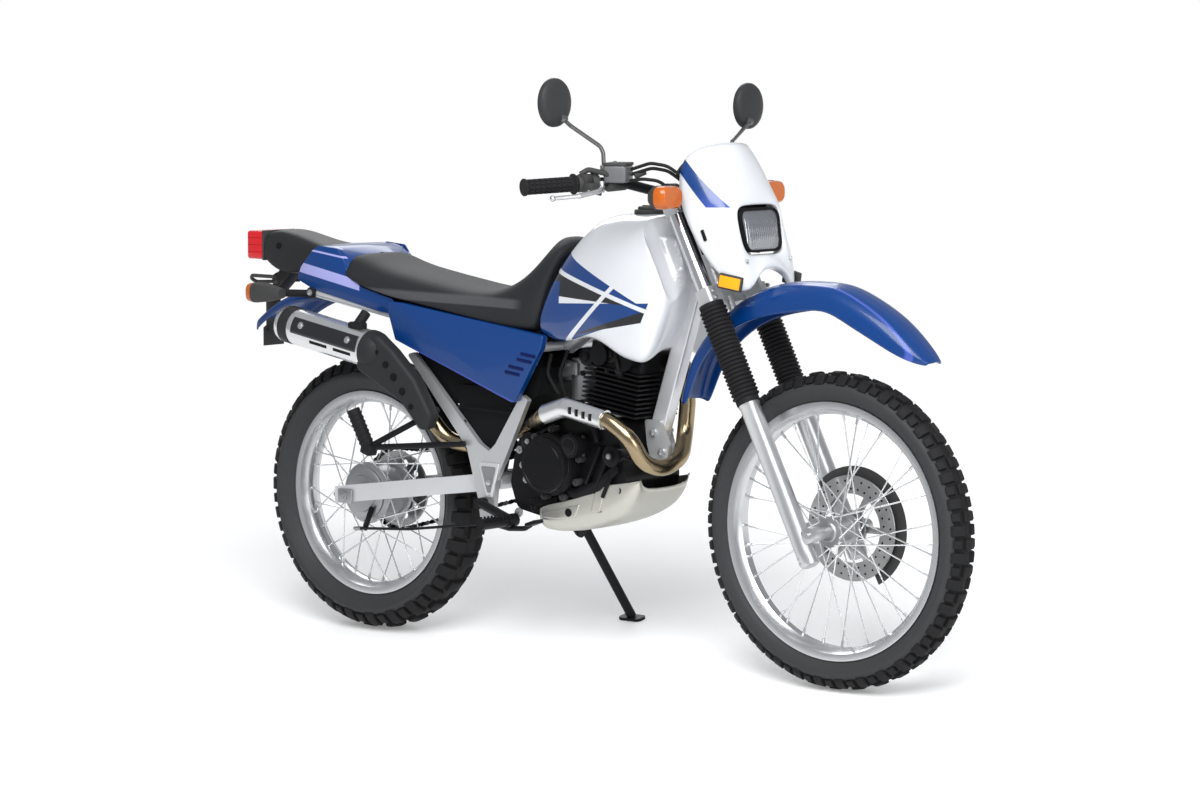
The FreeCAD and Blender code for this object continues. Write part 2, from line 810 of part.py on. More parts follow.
def rear_sprocket():
    """The rear sprocket, a toothed ring within the chain."""
    low = CHAIN_Y - SPROCKET_THICKNESS / 2
    high = CHAIN_Y + SPROCKET_THICKNESS / 2
    outer = SPROCKET_PITCH_RADIUS - CHAIN_HALF_HEIGHT - SEAT_GAP
    bore = REAR_AXLE_RADIUS + HUB_FLANGE
    plate = turned([(bore, low), (outer, low), (outer, high), (bore, high)], REAR_AXLE)
    holes = []
    for k in range(SPROCKET_HOLES):
        angle = 2 * math.pi * k / SPROCKET_HOLES
        spot = REAR_AXLE + vec(math.cos(angle), 0, math.sin(angle)) * (outer * SPROCKET_HOLE_SHARE)
        holes.append(
            rod(spot + Y_AXIS * (low - OVERRUN), spot + Y_AXIS * (high + OVERRUN), SPROCKET_HOLE_RADIUS)
        )
    return plate.cut(holes)


def front_axle():
    """The front axle with the collars between the hub and the fork."""
    inner = SEAT_GAP
    hub_left = disc_seat_y() + SEAT_GAP + DISC_THICKNESS + SEAT_GAP
    leg = FORK_HALF_SPACING - AXLE_BOSS_HALF_LENGTH - SEAT_GAP
    shaft = FRONT_AXLE_RADIUS
    collar = FRONT_AXLE_RADIUS * 1.8
    face = FORK_HALF_SPACING + AXLE_BOSS_HALF_LENGTH + AXLE_FACE
    end = face + AXLE_END_LENGTH
    tip = FRONT_AXLE_END_RADIUS
    profile = [
        (0, -end), (tip, -end), (tip, -face), (shaft, -face), (shaft, -leg), (collar, -leg),
        (collar, -FRONT_HUB_HALF_WIDTH - inner),
        (shaft, -FRONT_HUB_HALF_WIDTH - inner), (shaft, hub_left), (collar, hub_left), (collar, leg),
        (shaft, leg), (shaft, face), (tip, face), (tip, end), (0, end),
    ]
    return turned(profile, FRONT_AXLE)


def fork_sliders():
    """Both lower legs, each with its boss for the leading axle."""
    y = FORK_HALF_SPACING
    leg = rod(vec(-AXLE_LEAD, y, -SLIDER_FOOT), vec(-AXLE_LEAD, y, SLIDER_TOP), SLIDER_RADIUS)
    bore = rod(
        vec(-AXLE_LEAD, y, TUBE_START - SEAT_GAP), vec(-AXLE_LEAD, y, SLIDER_TOP + OVERRUN),
        TUBE_RADIUS + SEAT_GAP
    )
    half = AXLE_BOSS_HALF_LENGTH
    boss = rod(vec(0, y - half, 0), vec(0, y + half, 0), AXLE_BOSS_RADIUS)
    web = block(
        vec(-AXLE_LEAD, y - half * 0.8, -AXLE_BOSS_RADIUS * 0.8),
        vec(0, y + half * 0.8, AXLE_BOSS_RADIUS * 0.8)
    )
    hole = rod(vec(0, y - half - OVERRUN, 0), vec(0, y + half + OVERRUN, 0), FRONT_AXLE_RADIUS + SHAFT_GAP)
    return fork_place(pair(fused(leg, boss, web).cut(bore).cut(hole)))


def fork_gaiters():
    """Both pleated gaiters, over the tubes from the sliders to the lower clamp."""
    y = FORK_HALF_SPACING
    top = LOWER_CLAMP_FOOT - SEAT_GAP
    inner = SLIDER_RADIUS + SEAT_GAP
    neck = TUBE_RADIUS + SEAT_GAP
    low = GAITER_FOOT + GAITER_COLLAR
    high = top - GAITER_COLLAR
    pitch = (high - low) / GAITER_PLEATS
    outer = [(GAITER_RADIUS - GAITER_GROOVE, GAITER_FOOT), (GAITER_RADIUS - GAITER_GROOVE, low)]
    for k in range(GAITER_PLEATS):
        outer.append((GAITER_RADIUS, low + pitch * (k + 0.5)))
        outer.append((GAITER_RADIUS - GAITER_GROOVE, low + pitch * (k + 1)))
    outer.append((GAITER_RADIUS - GAITER_GROOVE, top))
    profile = outer + [
        (neck, top), (neck, SLIDER_TOP + GAITER_COLLAR), (inner, SLIDER_TOP + SEAT_GAP),
        (inner, GAITER_FOOT)
    ]
    gaiter = turned(profile, vec(-AXLE_LEAD, y, 0), Z_AXIS, X_AXIS)
    return fork_place(pair(gaiter))


def clamp_outline(grow):
    """A triple clamp seen along the fork: two bosses for the tubes and a hub behind them."""
    boss = TUBE_RADIUS + CLAMP_WALL + grow
    corner = boss * CLAMP_CORNER_SHARE
    hub = CLAMP_HUB_RADIUS + grow
    rear = -STEERING_BACK - hub
    half = [
        (-AXLE_LEAD, 0), (-AXLE_LEAD + boss, FORK_HALF_SPACING - corner),
        (-AXLE_LEAD + corner, FORK_HALF_SPACING + corner), (-AXLE_LEAD - corner, FORK_HALF_SPACING + corner),
        (rear, hub * CLAMP_CORNER_SHARE),
    ]
    return half + [(x, -y) for x, y in reversed(half[1:])]


def clamp_plate(low, height):
    """One triple clamp: three hubs joined by a plate, with its bores for the tubes."""
    y = FORK_HALF_SPACING
    plate = plan_slab(clamp_outline(0), low, low + height, CLAMP_WALL)
    for side in (-1, 1):
        bore = rod(
            vec(-AXLE_LEAD, side * y, low - OVERRUN), vec(
                -AXLE_LEAD, side * y, low + height + OVERRUN
            ), TUBE_RADIUS + SEAT_GAP
        )
        plate = plate.cut(bore)
    return plate


def fork_clamps():
    """The two clamps with the steering stem between them, and the fork tubes that they hold."""
    lower = clamp_plate(LOWER_CLAMP_FOOT, LOWER_CLAMP_HEIGHT)
    upper = clamp_plate(UPPER_CLAMP_FOOT, UPPER_CLAMP_HEIGHT)
    stem = rod(
        vec(-STEERING_BACK, 0, LOWER_CLAMP_FOOT),
        vec(-STEERING_BACK, 0, UPPER_CLAMP_FOOT + UPPER_CLAMP_HEIGHT), STEM_RADIUS
    )
    carried = fork_place(fused(lower, upper, stem))
    bosses = []
    for side in (-1, 1):
        lead = -AXLE_LEAD + CLAMP_WALL
        y = side * FENDER_HALF_WIDTH * FENDER_BOSS_SHARE
        high = fork_point(lead, y, LOWER_CLAMP_FOOT + CLAMP_WALL)
        low = fork_point(lead, y, LOWER_CLAMP_FOOT - FENDER_HALF_WIDTH)
        bosses.append(rod(low, high, CLAMP_WALL))
    stand = bosses[0].multiFuse(bosses[1:]).cut(fender_fill(SEAT_GAP))
    return fused(carried, *tops_only(stand, high.z))


def tops_only(shape, height):
    """The solids of a shape that reach a height, without what a cut left below."""
    return [solid for solid in shape.Solids if solid.BoundBox.ZMax > height - CLAMP_WALL]


def fork_tubes():
    y = FORK_HALF_SPACING
    return fork_place(pair(rod(vec(-AXLE_LEAD, y, TUBE_START), vec(-AXLE_LEAD, y, TUBE_TOP), TUBE_RADIUS)))


def bar_seat(y):
    """Where the bar lies in its risers, straight above the upper clamp."""
    return fork_point(-STEERING_BACK, y, UPPER_CLAMP_FOOT + UPPER_CLAMP_HEIGHT + RISER_HEIGHT)


def bar_points(side):
    """One half of the handlebar's line, from its middle out to its end."""
    grip_y = BAR_HALF_WIDTH - GRIP_LENGTH
    knee_y = BAR_HALF_WIDTH * BAR_RISE_SHARE
    return [
        bar_seat(side * BAR_HALF_WIDTH * BAR_CLAMP_SHARE),
        vec(BAR_KNEE_X, side * knee_y, BAR_KNEE_Z),
        vec(BAR_END_X, side * BAR_HALF_WIDTH, BAR_END_Z),
    ]


def bar_spot(side, from_end):
    """A point on the bar's outer run, given from the bar's end, and the run's direction out."""
    knee = bar_points(side)[1]
    end = bar_points(side)[2]
    out = end - knee
    out.normalize()
    return end - out * from_end, out


def handlebar():
    right = bar_points(-1)
    left = bar_points(1)
    path = list(reversed(right)) + left
    bar = pipe(path, BAR_RADIUS, BAR_BEND)
    clamps = []
    for side in (-1, 1):
        low = fork_point(
            -STEERING_BACK, side * RISER_HALF_SPACING, UPPER_CLAMP_FOOT + UPPER_CLAMP_HEIGHT + SEAT_GAP
        )
        high = bar_seat(side * RISER_HALF_SPACING)
        clamps.append(rod(low, high, RISER_RADIUS))
        clamps.append(rod(high - Y_AXIS * RISER_RADIUS, high + Y_AXIS * RISER_RADIUS, RISER_RADIUS * 1.25))
    return fused(bar, *clamps)


def handle_grips():
    grips = []
    for side in (-1, 1):
        end, out = bar_spot(side, -OVERRUN)
        start = end - out * (GRIP_LENGTH + OVERRUN)
        cap = end - out * (OVERRUN - SEAT_GAP)
        grip = fused(rod(start, end, GRIP_RADIUS), rod(start, start + out * GRIP_FLANGE, GRIP_FLANGE_RADIUS))
        grips.append(grip.cut(rod(start - out * OVERRUN, cap, BAR_RADIUS + SEAT_GAP)))
    return Part.makeCompound(grips)


def hand_controls():
    """The perch, switch block and lever on each side, with the fluid cylinder on the right."""
    controls = []
    for side in (-1, 1):
        start, out = bar_spot(side, GRIP_LENGTH + SEAT_GAP * 2)
        inner = start - out * (SWITCH_LENGTH + PERCH_LENGTH)
        forward = Z_AXIS.cross(out) * side
        forward.normalize()
        switch = rod(start, start - out * SWITCH_LENGTH, SWITCH_SIZE)
        perch = rod(start, inner, PERCH_RADIUS)
        pivot = inner + out * (PERCH_LENGTH / 2) + forward * LEVER_REACH * 0.62 - Z_AXIS * LEVER_DROP * 0.6
        arm = rod(inner + out * (PERCH_LENGTH / 2), pivot, LEVER_THICKNESS)
        tip, _ = bar_spot(side, 0)
        elbow = start + forward * LEVER_REACH - Z_AXIS * LEVER_DROP
        end = tip + forward * LEVER_REACH * 0.8 - Z_AXIS * LEVER_DROP
        lever = pipe([pivot, elbow, end], LEVER_THICKNESS / 2, LEVER_REACH)
        parts = [switch, perch, arm, lever]
        if side < 0:
            parts.append(fluid_cylinder(inner, out, forward))
        body = parts[0].multiFuse(parts[1:]).cut(
            rod(start + out, inner - out * CYLINDER_LENGTH, BAR_RADIUS + SEAT_GAP)
        )
        controls.append(body)
    return Part.makeCompound(controls)


def fluid_cylinder(inner, out, forward):
    """The brake's fluid cylinder, a box ahead of the bar and beside the perch."""
    centre = inner + out * (CYLINDER_LENGTH / 2) + forward * (BAR_RADIUS + CYLINDER_WIDTH / 2)
    centre += Z_AXIS * CYLINDER_HEIGHT * 0.3
    half_y = out * (CYLINDER_LENGTH / 2)
    half_x = forward * (CYLINDER_WIDTH / 2)
    low = centre - Z_AXIS * (CYLINDER_HEIGHT / 2)
    corners = [low - half_x - half_y, low + half_x - half_y, low + half_x + half_y, low - half_x + half_y]
    return closed_face(corners, OVERRUN).extrude(Z_AXIS * CYLINDER_HEIGHT)


def mirrors():
    """Two oval mirrors, each on a bent stem from its perch."""
    units = []
    for side in (-1, 1):
        start, out = bar_spot(side, GRIP_LENGTH + SWITCH_LENGTH + PERCH_LENGTH / 2)
        foot = start + Z_AXIS * (PERCH_RADIUS + SEAT_GAP * 4)
        neck = vec(foot.x, side * MIRROR_FOOT_Y, MIRROR_NECK_Z)
        head = vec(MIRROR_X + MIRROR_DEPTH, side * MIRROR_Y, MIRROR_Z - MIRROR_HALF_HEIGHT / 2)
        stem = pipe([foot, neck, head], MIRROR_STEM_RADIUS, MIRROR_HALF_HEIGHT)
        units.append(fused(stem, mirror_head(side)))
    return Part.makeCompound(units)


def mirror_head(side):
    """An oval dish, flat towards the rider."""
    centre = vec(MIRROR_X, side * MIRROR_Y, MIRROR_Z)
    glass = Part.Ellipse(vec(0, 0, 0), MIRROR_HALF_HEIGHT, MIRROR_HALF_WIDTH).toShape()
    back = Part.Ellipse(
        vec(0, 0, MIRROR_DEPTH), MIRROR_HALF_HEIGHT * 0.72, MIRROR_HALF_WIDTH * 0.72
    ).toShape()
    dish = Part.makeLoft([Part.Wire(glass), Part.Wire(back)], True, True)
    dish.rotate(vec(0, 0, 0), Y_AXIS, RIGHT_ANGLE)
    dish.translate(centre)
    return dish


COWL_SHARES = (
    # height, front, rear and half width at each level, from the top down
    (0.00, 0.34, 0.26, 0.38),
    (0.12, 0.48, 0.02, 0.86),
    (0.435, 0.78, 0.01, 1.00),
    (0.74, 0.91, 0.42, 0.99),
    (0.885, 0.96, 0.65, 0.92),
    (1.00, 1.00, 0.82, 0.76),
)


def cowl_section(height, front, rear, width):
    z = COWL_TOP_Z - COWL_HEIGHT * height
    x_back = COWL_FRONT_X - COWL_DEPTH * (1 - rear)
    x_front = COWL_FRONT_X - COWL_DEPTH * (1 - front)
    half = COWL_HALF_WIDTH * width
    depth = x_front - x_back
    outer = [
        (x_back, half), (x_back + depth * 0.55, half * 0.97), (x_front - depth * 0.12, half * 0.70),
        (x_front, half * 0.36),
    ]
    wall = COWL_WALL
    inner = [
        (x_back, half - wall), (x_back + depth * 0.55 - wall, half * 0.97 - wall),
        (x_front - depth * 0.12 - wall, half * 0.70 - wall), (x_front - wall, half * 0.36),
    ]
    ring = [(x, y) for x, y in outer] + [(x, -y) for x, y in reversed(outer)]
    ring += [(x, -y) for x, y in inner] + [(x, y) for x, y in reversed(inner)]
    return [vec(x, y, z) for x, y in ring]


def headlight_outline(extra):
    half = HEADLIGHT_HALF_WIDTH + extra
    top = HEADLIGHT_TOP_Z + extra
    foot = HEADLIGHT_TOP_Z - HEADLIGHT_HEIGHT - extra
    low = HEADLIGHT_HALF_WIDTH * HEADLIGHT_FOOT_SHARE + extra
    return [(half, top), (low, foot), (-low, foot), (-half, top)]


def headlight_cowl():
    """The cowl round the headlight, open at the back and at the lamp."""
    shell = loft([cowl_section(*level) for level in COWL_SHARES])
    hole = front_slab(
        headlight_outline(
            HEADLIGHT_GAP
        ), COWL_FRONT_X - COWL_DEPTH / 2, COWL_FRONT_X + OVERRUN, HEADLIGHT_CORNER
    )
    fender_top = FENDER_FOOT_Z + FENDER_HEIGHT + OVERRUN
    arch_half = FENDER_HALF_WIDTH + OVERRUN / 2
    arch = front_slab(
        [(-arch_half, COWL_TOP_Z - COWL_HEIGHT * 1.2), (arch_half, COWL_TOP_Z - COWL_HEIGHT * 1.2),
         (arch_half * 0.8, fender_top), (-arch_half * 0.8, fender_top)],
        COWL_FRONT_X - COWL_DEPTH, COWL_FRONT_X + OVERRUN, OVERRUN * 3,
    )
    return shell.cut(hole).cut(arch)


def headlight():
    """The lamp: a deep bowl behind a lens with rounded corners that leans back at its top."""
    lamp = front_slab(
        headlight_outline(0), HEADLIGHT_FRONT_X - HEADLIGHT_DEPTH, HEADLIGHT_FRONT_X + OVERRUN,
        HEADLIGHT_CORNER
    )
    low = HEADLIGHT_TOP_Z - HEADLIGHT_HEIGHT
    face = [
        (HEADLIGHT_FRONT_X - HEADLIGHT_DEPTH, low - OVERRUN),
        (HEADLIGHT_FRONT_X + OVERRUN * 0.6, low - OVERRUN),
        (HEADLIGHT_FRONT_X, low), (HEADLIGHT_FRONT_X - HEADLIGHT_TILT, HEADLIGHT_TOP_Z),
        (HEADLIGHT_FRONT_X - HEADLIGHT_TILT - OVERRUN * 0.6, HEADLIGHT_TOP_Z + OVERRUN),
        (HEADLIGHT_FRONT_X - HEADLIGHT_DEPTH * 0.7, HEADLIGHT_TOP_Z + OVERRUN),
        (HEADLIGHT_FRONT_X - HEADLIGHT_DEPTH, HEADLIGHT_TOP_Z - HEADLIGHT_HEIGHT * 0.25),
    ]
    return lamp.common(side_slab(face, -HEADLIGHT_HALF_WIDTH - OVERRUN, HEADLIGHT_HALF_WIDTH + OVERRUN))


def instruments():
    """The instrument cluster: two round clocks on a plate above the upper clamp."""
    tilt = math.radians(CLOCK_TILT_DEG)
    up = vec(-math.sin(tilt), 0, math.cos(tilt))
    clocks = []
    for side in (-1, 1):
        top = vec(CLOCK_X, side * (CLOCK_RADIUS - OVERRUN), CLOCK_Z) + up * (CLOCK_DEPTH / 2)
        clocks.append(rod(top - up * CLOCK_DEPTH, top, CLOCK_RADIUS))
    foot = fork_point(-AXLE_LEAD - CLAMP_WALL, 0, UPPER_CLAMP_FOOT + UPPER_CLAMP_HEIGHT + SEAT_GAP)
    rise = head_point(1) - head_point(0)
    post = rod(foot, foot + rise * (CLAMP_WALL * 2), CLAMP_WALL)
    stay = rod(foot + rise * (CLAMP_WALL * 1.5), vec(CLOCK_X, 0, CLOCK_Z), CLAMP_WALL)
    return fused(post, stay, *clocks)


ARCH_POINTS = 8
FENDER_SHARES = (
    # length along, height of the top, slope in degrees, half width and depth at each station
    (0.000, 0.000, 64.0, 0.70, 0.10),
    (0.038, 0.237, 66.0, 0.74, 0.12),
    (0.090, 0.470, 56.0, 0.78, 0.14),
    (0.178, 0.700, 42.0, 0.78, 0.16),
    (0.280, 0.874, 28.0, 0.80, 0.22),
    (0.420, 0.986, 3.0, 0.90, 0.26),
    (0.587, 0.996, -4.0, 1.00, 0.20),
    (0.719, 0.924, -16.0, 1.00, 0.22),
    (0.858, 0.741, -34.0, 0.97, 0.20),
    (0.938, 0.576, -44.0, 0.80, 0.14),
    (1.000, 0.420, -52.0, 0.50, 0.05),
)


def arch_section(top, slope_deg, half, depth, wall):
    """A rounded arch across the motorcycle, square to its slope."""
    slope = math.radians(slope_deg)
    down = vec(math.sin(slope), 0, -math.cos(slope))
    outer = [(half, 1.0), (half * 0.94, 0.45), (half * 0.66, 0.12), (half * 0.30, 0.01)]
    ring = [top + Y_AXIS * y + down * (depth * d) for y, d in outer]
    ring += [top - Y_AXIS * y + down * (depth * d) for y, d in reversed(outer)]
    inner = [
        (half - wall, 1.0), (half * 0.94 - wall, 0.45), (half * 0.66 - wall * 0.5, 0.12),
        (half * 0.30, 0.01)
    ]
    under = down * wall
    back = [top + Y_AXIS * y + down * (depth * d) + (under if d < 1 else vec(0, 0, 0)) for y, d in inner]
    front = [top - Y_AXIS * y + down * (depth * d) + (under if d < 1 else vec(0, 0, 0)) for y, d in inner]
    return ring + front + list(reversed(back))


def front_fender():
    """The high front fender, from the flap behind the fork to its tip."""
    sections = []
    for along, up, slope, width, deep in FENDER_SHARES:
        top = vec(FENDER_REAR_X + FENDER_LENGTH * along, 0, FENDER_FOOT_Z + FENDER_HEIGHT * up)
        sections.append(
            arch_section(top, slope, FENDER_HALF_WIDTH * width, FENDER_HEIGHT * deep, FENDER_WALL)
        )
    return loft(sections)


def fender_fill(lift):
    """The space under the fender's outer surface, raised a little."""
    sections = []
    for along, up, slope, width, deep in FENDER_SHARES:
        top = vec(FENDER_REAR_X + FENDER_LENGTH * along, 0, FENDER_FOOT_Z + FENDER_HEIGHT * up + lift)
        ring = arch_section(top, slope, FENDER_HALF_WIDTH * width, FENDER_HEIGHT * deep, FENDER_WALL)
        sections.append(ring[:ARCH_POINTS])
    return loft(sections)


def signal_body(centre, length, height, width):
    low = centre - vec(length / 2, 0, 0)
    outline = [
        (centre.y - width / 2, centre.z - height / 2), (centre.y + width / 2, centre.z - height / 2),
        (centre.y + width / 2, centre.z + height / 2), (centre.y - width / 2, centre.z + height / 2),
    ]
    return front_slab(outline, low.x, low.x + length, SIGNAL_CORNER)


def front_signals():
    """The front turn signals on their stalks, and the reflectors beside the lower clamp."""
    pieces = []
    for side in (-1, 1):
        centre = vec(FRONT_SIGNAL_X, side * FRONT_SIGNAL_Y, FRONT_SIGNAL_Z)
        body = signal_body(centre, SIGNAL_LENGTH, SIGNAL_HEIGHT, SIGNAL_WIDTH)
        back = X_AXIS * SIGNAL_STALK_SETBACK
        root = vec(FRONT_SIGNAL_X, side * (stay_outer_y() + SEAT_GAP), FRONT_SIGNAL_Z) - back
        pieces.append(fused(body, rod(root, centre - back, SIGNAL_STALK_RADIUS)))
    return Part.makeCompound(pieces)


def stay_inner_y():
    """The inside of a lamp stay, against the lamp's rounded side."""
    return HEADLIGHT_HALF_WIDTH * HEADLIGHT_CHEEK_SHARE + SEAT_GAP


def stay_outer_y():
    return stay_inner_y() + LAMP_STAY_WALL


def lamp_stays():
    """The two plates from the fork tubes that carry the headlight, the cowl and the signals."""
    lead = -AXLE_LEAD + TUBE_RADIUS + SEAT_GAP
    foot = LOWER_CLAMP_FOOT + LOWER_CLAMP_HEIGHT + SEAT_GAP
    before = lead + CLAMP_WALL + SEAT_GAP
    reach = lead + HEADLIGHT_DEPTH
    outline = [
        (lead, foot), (lead + LAMP_STAY_FOOT, foot), (reach, foot + HEADLIGHT_HEIGHT * 0.5),
        (reach, foot + HEADLIGHT_HEIGHT * 1.1),
        (before + HEADLIGHT_DEPTH * 0.35, UPPER_CLAMP_FOOT + OVERRUN * 2),
        (before + HEADLIGHT_DEPTH * 0.3, TUBE_TOP), (before, TUBE_TOP),
        (before, UPPER_CLAMP_FOOT - OVERRUN * 2),
        (lead, UPPER_CLAMP_FOOT - OVERRUN * 4),
    ]
    inner = stay_inner_y()
    return fork_place(pair(side_slab(outline, inner, inner + LAMP_STAY_WALL, OVERRUN)))


def cowl_fill(shift):
    """The cowl's outer shape without its hollow, moved sideways."""
    sections = []
    for level in COWL_SHARES:
        ring = cowl_section(*level)[:ARCH_POINTS]
        sections.append([spot + Y_AXIS * shift for spot in ring])
    return loft(sections)


def fork_reflectors():
    """The two side reflectors, each against the cowl's lower side."""
    ears = []
    for side in (-1, 1):
        inner = side * (COWL_HALF_WIDTH - REFLECTOR_INSET)
        outer = inner + side * REFLECTOR_DEPTH
        plate = block(
            vec(REFLECTOR_X - REFLECTOR_LENGTH / 2, min(inner, outer), REFLECTOR_Z - REFLECTOR_HEIGHT / 2),
            vec(REFLECTOR_X + REFLECTOR_LENGTH / 2, max(inner, outer), REFLECTOR_Z + REFLECTOR_HEIGHT / 2),
        )
        plate.rotate(vec(REFLECTOR_X, inner, REFLECTOR_Z), Z_AXIS, -side * REFLECTOR_TURN_DEG)
        ears.append(plate.cut(cowl_fill(side * SEAT_GAP)))
    return Part.makeCompound(ears)


def brake_caliper():
    """The caliper over the disc's edge, behind the left fork leg."""
    reach = DISC_RADIUS * CALIPER_REACH_SHARE
    inner = DISC_MIDDLE_Y - CALIPER_DEPTH / 2
    body = block(vec(reach - CALIPER_HEIGHT / 2, inner, -CALIPER_LENGTH / 2),
                 vec(reach + CALIPER_HEIGHT / 2, inner + CALIPER_DEPTH, CALIPER_LENGTH / 2))
    slot = block(
        vec(0, DISC_MIDDLE_Y - CALIPER_SLOT / 2, -CALIPER_LENGTH),
        vec(DISC_RADIUS + OVERRUN, DISC_MIDDLE_Y + CALIPER_SLOT / 2, CALIPER_LENGTH),
    )
    caliper = body.cut(slot)
    caliper.rotate(vec(0, 0, 0), Y_AXIS, -CALIPER_TURN_DEG)
    outer = FORK_HALF_SPACING - SLIDER_RADIUS - SEAT_GAP
    ear = block(
        vec(-reach, outer - CALIPER_EAR, 0),
        vec(-AXLE_LEAD + SLIDER_RADIUS / 2, outer, CALIPER_HEIGHT * 0.9)
    )
    return fork_place(fused(caliper, ear))


def disc_guard():
    """The plastic guard outside the disc, an arc over its front half."""
    low = FORK_HALF_SPACING - SLIDER_RADIUS - GUARD_THICKNESS - SEAT_GAP
    outer = DISC_RADIUS * GUARD_OUTER_SHARE
    inner = DISC_RADIUS * GUARD_INNER_SHARE
    sweep = GUARD_TO_DEG - GUARD_FROM_DEG
    start = math.radians(GUARD_FROM_DEG)
    out = vec(math.cos(start), 0, math.sin(start))
    corners = [
        FRONT_AXLE + out * inner + Y_AXIS * low, FRONT_AXLE + out * outer + Y_AXIS * low,
        FRONT_AXLE + out * outer + Y_AXIS * (low + GUARD_THICKNESS),
        FRONT_AXLE + out * inner + Y_AXIS * (low + GUARD_THICKNESS),
    ]
    return closed_face(corners).revolve(FRONT_AXLE, Y_AXIS, -sweep)


def case_outline():
    """The crankcase seen from the side, as shares of its length and height."""
    shares = (
        (0.00, 0.30), (0.06, 0.06), (0.30, 0.00), (0.70, 0.00), (0.94, 0.16), (1.00, 0.42),
        (0.96, 0.72), (0.90, 1.00), (0.52, 1.00), (0.34, 0.78), (0.06, 0.74),
    )
    return spots((CASE_REAR_X, CASE_FOOT_Z), (CASE_LENGTH, CASE_HEIGHT), shares)


def engine_cases():
    """The crankcase with its clutch, oil filter and magneto covers."""
    half = CASE_HALF_WIDTH
    case = side_slab(case_outline(), -half, half, CASE_HEIGHT * 0.12)
    rim = rod(vec(CRANK_X, -half * 0.5, CRANK_Z), vec(CRANK_X, -CLUTCH_RIM_Y, CRANK_Z), CLUTCH_RIM_RADIUS)
    clutch = rod(vec(CRANK_X, -half * 0.5, CRANK_Z), vec(CRANK_X, -CLUTCH_Y, CRANK_Z), CLUTCH_RADIUS)
    oil = rod(
        vec(OIL_COVER_X, -half * 0.5, OIL_COVER_Z), vec(OIL_COVER_X, -OIL_COVER_Y, OIL_COVER_Z),
        OIL_COVER_RADIUS
    )
    magneto = rod(vec(MAGNETO_X, half * 0.5, CRANK_Z), vec(MAGNETO_X, MAGNETO_Y, CRANK_Z), MAGNETO_RADIUS)
    lug = block(
        vec(CASE_REAR_X + CASE_LENGTH * 0.8, -DOWNTUBE_HALF_WIDTH, MOUNT_FOOT_Z),
        vec(MOUNT_X + MOUNT_LENGTH * 0.6, DOWNTUBE_HALF_WIDTH, MOUNT_FOOT_Z + CASE_LUG_HEIGHT),
    )
    room = DRIVE_PITCH_RADIUS + CHAIN_HALF_HEIGHT * 3 + SEAT_GAP
    low = CHAIN_Y - CHAIN_HALF_WIDTH - STEERING_ROOM
    pocket = rod(vec(DRIVE_X, low, DRIVE_Z), vec(DRIVE_X, MAGNETO_Y + OVERRUN, DRIVE_Z), room)
    runs = block(
        vec(CASE_REAR_X - OVERRUN, low, DRIVE_Z - room), vec(DRIVE_X, MAGNETO_Y + OVERRUN, DRIVE_Z + room)
    )
    return fused(case.cut(pocket).cut(runs), rim, clutch, oil, magneto, lug)


def cylinder_foot_z():
    return CASE_FOOT_Z + CASE_HEIGHT + SEAT_GAP + FIN_PITCH


def cylinder_place(shape):
    """Leans a shape made upright over the cylinder's foot."""
    moved = shape.copy()
    moved.rotate(vec(0, 0, 0), Y_AXIS, CYLINDER_TILT_DEG)
    moved.translate(vec(CYLINDER_FOOT_X, 0, cylinder_foot_z()))
    return moved


def cylinder_point(forward, y, up):
    """A point in the cylinder's own leaning frame, from the middle of its foot."""
    tilt = math.radians(CYLINDER_TILT_DEG)
    x = forward * math.cos(tilt) + up * math.sin(tilt)
    z = up * math.cos(tilt) - forward * math.sin(tilt)
    return vec(CYLINDER_FOOT_X + x, y, cylinder_foot_z() + z)


def engine_top_end():
    """The finned barrel and head, with the rocker caps."""
    fins_height = FIN_PITCH * FIN_COUNT
    top = fins_height + HEAD_HEIGHT
    barrel = block(
        vec(
            -BARREL_LENGTH / 2, -BARREL_HALF_WIDTH, -FIN_PITCH * 0.5
        ), vec(BARREL_LENGTH / 2, BARREL_HALF_WIDTH, fins_height)
    )
    head = block(
        vec(
            -HEAD_LENGTH / 2, -HEAD_HALF_WIDTH, fins_height - FIN_PITCH
        ), vec(HEAD_LENGTH / 2, HEAD_HALF_WIDTH, top)
    )
    fins = []
    for k in range(FIN_COUNT):
        z = FIN_PITCH * k
        fins.append(
            block(
                vec(-FIN_LENGTH / 2, -FIN_HALF_WIDTH, z),
                vec(FIN_LENGTH / 2, FIN_HALF_WIDTH, z + FIN_THICKNESS)
            )
        )
    caps = []
    for side in (-1, 1):
        x = side * HEAD_LENGTH * 0.25
        caps.append(rod(vec(x, -HEAD_HALF_WIDTH - ROCKER_LENGTH, top - ROCKER_RADIUS),
                        vec(x, HEAD_HALF_WIDTH + ROCKER_LENGTH, top - ROCKER_RADIUS), ROCKER_RADIUS))
    return cylinder_place(fused(barrel, head, *fins, *caps))


def carburettor():
    """The carburettor between the air box and the head, with its float bowl."""
    port_up = CARB_Z - CARB_RADIUS - cylinder_foot_z()
    front = cylinder_point(-FIN_LENGTH / 2, 0, port_up - FIN_PITCH).x - SEAT_GAP
    rear = AIRBOX_REAR_X + AIRBOX_LENGTH + SEAT_GAP
    throat = rod(vec(rear, 0, CARB_Z), vec(front, 0, CARB_Z), CARB_RADIUS)
    low = CARB_Z - CARB_BOWL_HEIGHT
    bowl = rod(vec(CARB_X, 0, low), vec(CARB_X, 0, CARB_Z + CARB_RADIUS + OVERRUN), CARB_BOWL_RADIUS)
    return fused(throat, bowl)


